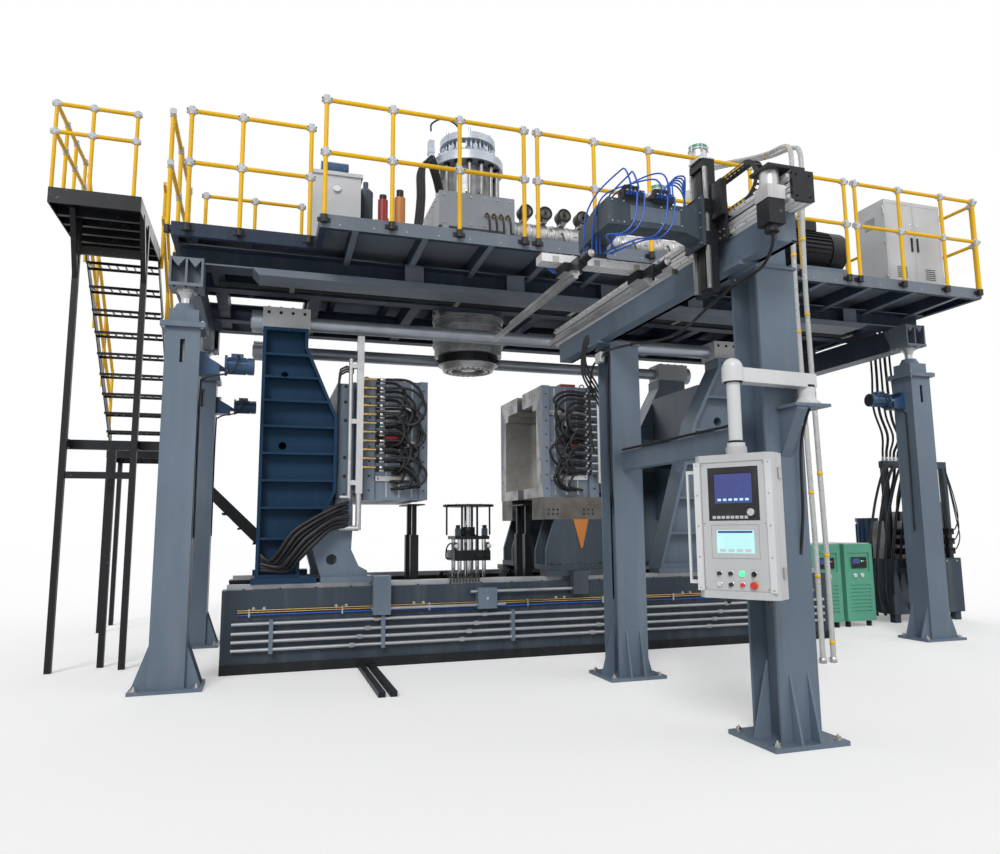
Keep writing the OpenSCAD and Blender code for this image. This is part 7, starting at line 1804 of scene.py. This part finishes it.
@dataclass
class FeedHoses:
    """Clear ribbed feed hoses with yellow bands from the loaders to the floor."""

    route: tuple[tuple[float, float, float], ...] = (
        (3.65, 0, 6.6), (3.72, 0, 6.6), (3.83, -0.18, 6.58), (3.84, -0.62, 6.42), (3.7, -1.2, 6.18),
        (3.48, -1.8, 5.94), (3.25, -2.18, 5.64), (3.12, -2.33, 5.2), (3.03, -2.4, 4.6), (2.99, -2.43, 3.9),
        (2.99, -2.44, 3.2), (3.01, -2.43, 2.5), (3.05, -2.4, 1.8), (3.09, -2.37, 1.1), (3.1, -2.36, 0.5),
        (3.1, -2.36, 0.0003))
    radius: float = 0.028
    rib: float = 0.014

    def tree(self) -> bpy.types.NodeTree:
        """Geometry Nodes tree that turns a line into a ribbed hose."""
        tree, ins, outs = new_group("ribbed_hose", "GeometryNodeTree", {
            "Line": ("Geometry", None), "Radius": ("Float", None), "Rib Pitch": ("Float", None),
            "Rib Depth": ("Float", None), "Finish": ("Material", None)}, {"Hose": "Geometry"})

        def maths(how: str, a: object, b: object) -> bpy.types.NodeSocket:
            """One operation on two values."""
            return add_node(tree, "ShaderNodeMath", {0: a, 1: b}, operation=how).outputs[0]

        line = add_node(tree, "GeometryNodeMeshToCurve", {0: ins["Line"]})
        even = add_node(tree, "GeometryNodeResampleCurve", mode="LENGTH")
        feed(tree, even, {"Curve": line.outputs[0], "Length": maths("DIVIDE", ins["Rib Pitch"], 4.0)})
        index = add_node(tree, "GeometryNodeInputIndex").outputs[0]
        groove = maths("LESS_THAN", maths("MODULO", index, 4.0), 1.5)
        whole = maths("SUBTRACT", ins["Radius"], maths("MULTIPLY", groove, ins["Rib Depth"]))
        ring = add_node(tree, "GeometryNodeCurvePrimitiveCircle", {"Resolution": 12, "Radius": 1.0})
        wide = add_node(tree, "GeometryNodeSetCurveRadius", {"Curve": even.outputs[0], "Radius": whole})
        sweep = add_node(tree, "GeometryNodeCurveToMesh", {
            "Curve": wide.outputs[0], "Profile Curve": ring.outputs[0], "Fill Caps": True})
        if "Scale" in sweep.inputs:
            tree.links.new(whole, sweep.inputs["Scale"])
        finish_group(tree, sweep, ins, outs)
        return tree

    def paths(self) -> list[list[Vector]]:
        """Centrelines of the two hoses as the solids have them."""
        made = []
        for i in (0, 1):
            pts = []
            for k, p in enumerate(self.route):
                t = min(1.0, max(0.0, (k - 1) / 4))
                shift = Vector((0.13 * t, 0.13 - 0.13 * t, 0)) * i
                pts.append(Vector(p) + shift)
            made.append(pts)
        return made

    def build(self) -> None:
        """Make both hoses, their bands, cuffs and lower couplings."""
        lines = [smooth_line(path, 0.05) for path in self.paths()]
        stretch = Span("machine_base", "lift_platform", (3.05, -2.4, 0.06), (3.05, -2.4, 4.3))
        mesh = bpy.data.meshes.new("hose_lines")
        points = [tuple(p) for line in lines for p in line]
        n = len(lines[0])
        edges = [(i, i + 1) for i in range(n - 1)] + [(n + i, n + i + 1) for i in range(len(lines[1]) - 1)]
        mesh.from_pydata(points, edges, [])
        values = {"Radius": self.radius, "Rib Pitch": self.rib, "Rib Depth": 0.0022, "Finish": CLEAR.material()}
        hose = run_tree(link_object("hose_lines", mesh), self.tree(), values, "feed_hoses", stretch,
                        ["material_hoses"])
        for face in hose.data.polygons:
            face.use_smooth = True
        s, foot = Shape(), Shape()
        for line in lines:
            for k in range(9, len(line) - 2, 17):
                s.lathe(line[k], line[k + 1], collar(0.0278, 0.0292, 0.034), YELLOW, 20)
            for piece, (a, b), outer, long in ((s, line[:2], 0.032, 0.06), (foot, line[:-3:-1], 0.036, 0.05)):
                piece.lathe(a, b, [(0, 0.0282), (0, outer), (long, outer), (long + 0.005, 0.0282)], STEEL, 24)
        s.build("feed_hose_bands", stretch, "yellow_paint")
        foot.build("feed_hose_feet", "machine_base", "bare_steel")


@dataclass
class Services:
    """Hydraulic station and mould temperature units beside the machine."""

    station: tuple[float, float] = (6.25, -0.15)
    units: tuple[float, ...] = (4.78, 5.33)
    units_front: float = -0.26

    def build(self) -> None:
        """Dress both and add their pieces."""
        y0 = self.station[1]
        patch("hydraulic_station", BLACK, lambda c: y0 - 0.115 < c.y < y0 + 0.1205 and 0.96 < c.z < 1.44)
        patch("hydraulic_station", MOTOR, lambda c: c.y > y0 + 0.57 and c.z > 0.9005)
        patch("hydraulic_station", PALE, lambda c: c.y < y0 - 0.2295)
        patch("hydraulic_station", CAST, lambda c: y0 + 0.1195 < c.y < y0 + 0.4205 and 0.9005 < c.z < 1.9)
        patch("temperature_units", PALE, lambda c: c.z > 1.1295 or c.y > 0.535)
        patch("temperature_units", BLACK, lambda c: c.z < 0.0805 or c.y < -0.2605)
        self.pipes()
        self.drop_hoses()
        self.unit_fronts()

    def drop_hoses(self) -> None:
        """Black hoses that hang from the platform's end to the station's top bar."""
        x0, y0 = self.station
        hoses, top, foot = Shape(), Shape(), Shape()
        for k in range(5):
            y, x, r = -0.20 - 0.075 * k, x0 + 0.10 + 0.07 * k, 0.019 if k % 2 else 0.015
            end, low = Vector((5.9503, y, 4.195)), Vector((x, y0 + 0.11, 2.3303))
            for piece, at, way, wide in ((top, end, (1, 0, 0), 0.032), (foot, low, UP, 0.03)):
                piece.lathe(at, at + Vector(way),
                            [(0, wide), (0.012, wide), (0.012, r + 0.005), (0.06, r + 0.005)], STEEL)
            hoses.tube([end, end + Vector((0.10, 0, -0.004)), end + Vector((0.16 + 0.01 * k, 0.01, -0.12)),
                        (6.13 + 0.012 * k, y + 0.02, 3.6), (6.12 + 0.03 * k, y + 0.03, 3.1 - 0.05 * k),
                        (x - 0.07, y0 + 0.02 - 0.03 * k, 2.72 - 0.02 * k), (x, y0 + 0.105, 2.46), low],
                       r, RUBBER, 10, 0.05)
        hoses.build("station_drop_hoses", Span("machine_base", "lift_platform", (6.36, -0.04, 2.45),
                                               (6.08, -0.3, 3.9)), "rubber_hose")
        top.build("drop_hose_unions", "lift_platform", "bare_steel")
        foot.build("drop_hose_feet", "machine_base", "bare_steel")

    def pipes(self) -> None:
        """Pipes, hoses, gauges and bolts of the hydraulic station."""
        x0, y0 = self.station
        s = Shape()
        for i, k in product(range(3), range(3)):
            x, z = x0 + 0.24 + i * 0.4, 1.01 + k * 0.14
            s.tube([(x, y0 - 0.11, z + 0.02), (x, y0 - 0.17, z + 0.03), (x + 0.05, y0 - 0.2, z + 0.2),
                    (x + 0.12, y0 - 0.1, z + 0.5), (x + 0.1, y0, 2.24)], 0.008, RUBBER, 8)
        for k in range(7):
            x = x0 + 0.2 + 0.14 * k
            s.tube([(x, y0 + 0.3, 1.4 if k < 3 else 1.55), (x, y0 + 0.28, 1.75), (x + 0.03, y0 + 0.2, 2.1),
                    (x - 0.1, y0 + 0.06, 2.25), (x - 0.3, y0 - 0.02, 2.05), (x - 0.5, y0 - 0.06, 1.6),
                    (x - 0.62, y0 - 0.05, 1.0), (x - 0.6, y0 + 0.02, 0.4), (x - 0.45, y0 + 0.06, 0.12)],
                   0.018 + 0.004 * (k % 2), RUBBER, 10, 0.05)
        for k in range(4):
            x = x0 + 0.3 + 0.22 * k
            s.tube([(x, y0 + 0.42, 1.2), (x, y0 + 0.5, 1.2), (x + 0.02, y0 + 0.56, 1.3),
                    (x + 0.02, y0 + 0.62, 1.05)], 0.02, STEEL)
        for k in range(3):
            x, z = x0 + 0.18 + 0.4 * k, 1.36 + 0.1 * k
            s.lathe((x, y0 + 0.1195, z), (x, -FAR, z),
                    [(0, 0.012), (0.03, 0.012), (0.03, 0.035), (0.05, 0.035), (0.052, 0.03)], CHROME)
        s.tube([(x0 + 0.2, y0 - 0.24, 0.72), (x0 + 0.2, y0 - 0.2, 0.5), (x0 + 0.24, y0 - 0.05, 0.3),
                (x0 + 0.3, y0 + 0.03, 0.13)], 0.015, RUBBER)
        s.build("station_pipes", "machine_base", "rubber_hose")
        f = Fixings(Sort.HEX_BOLT, ZINC)
        f.grid((x0 + 0.08, y0, 0.86), (0.19, 0, 0), 7, (0, 0, 0), 1, (0, -1, 0), 0.011)
        for i in range(2):
            f.ring((x0 + 0.33 + i * 0.6, y0 + 0.76, 1.02), 0.152, 8, size=0.01)
        f.build("station_bolts", "machine_base", "bare_steel")

    def unit_fronts(self) -> None:
        """Displays, lamps, gauges, hoses and louvres of the temperature units."""
        s, y = Shape(), self.units_front
        for x in self.units:
            s.block((x + 0.13, y - 0.0095, 0.86), (x + 0.25, y - 0.0078, 0.93), GLASS, 0.001)
            for k, finish in enumerate((LAMP, PALE, RED_CAP)):
                at = x + 0.28 + k * 0.03
                s.rod((at, y - 0.0082, 0.895), (at, y - 0.015, 0.895), 0.009, finish, 14)
            for at in (x + 0.16, x + 0.28):
                s.lathe((at, y - 0.0002, 0.70), (at, -FAR, 0.70),
                        [(0, 0.032), (0.016, 0.032), (0.018, 0.027)], CHROME)
            for z in (0.25, 0.35, 0.45):
                s.tube([(x + 0.1, y + 0.8, z), (x + 0.1, y + 0.88, z), (x + 0.14, y + 0.95, z - 0.05),
                        (x + 0.2, y + 1.0, z - 0.12), (x + 0.3, y + 1.0, z * 0.1)], 0.017, RUBBER)
            s.block((x + 0.02, y + 0.02, 1.13), (x + 0.46, y + 0.78, 1.142), PALE, 0.003)
            for z in (0.3 + k * 0.05 for k in range(6)):
                s.block((x - 0.0015, y + 0.12, z), (x, y + 0.42, z + 0.02), BLACK, 0.0005)
        s.build("unit_fronts", "machine_base", "green_paint")


def main() -> None:
    """Build the studio, dress the CAD nodes and add each sub-assembly's pieces."""
    logging.basicConfig(level=logging.INFO, format="%(message)s")
    Studio().build()
    dress()
    for part in (FeedHoses(), Platform(), Stair(), Head(), Extruder(), Cabinet(), Clamp(),
                 MouldHalf(Side.LEFT), MouldHalf(Side.RIGHT), Bed(), BlowUnit(), Robot(), Pendant(), Services()):
        LOG.info("building %s", type(part).__name__)
        part.build()


if __name__ == "__main__":
    main()
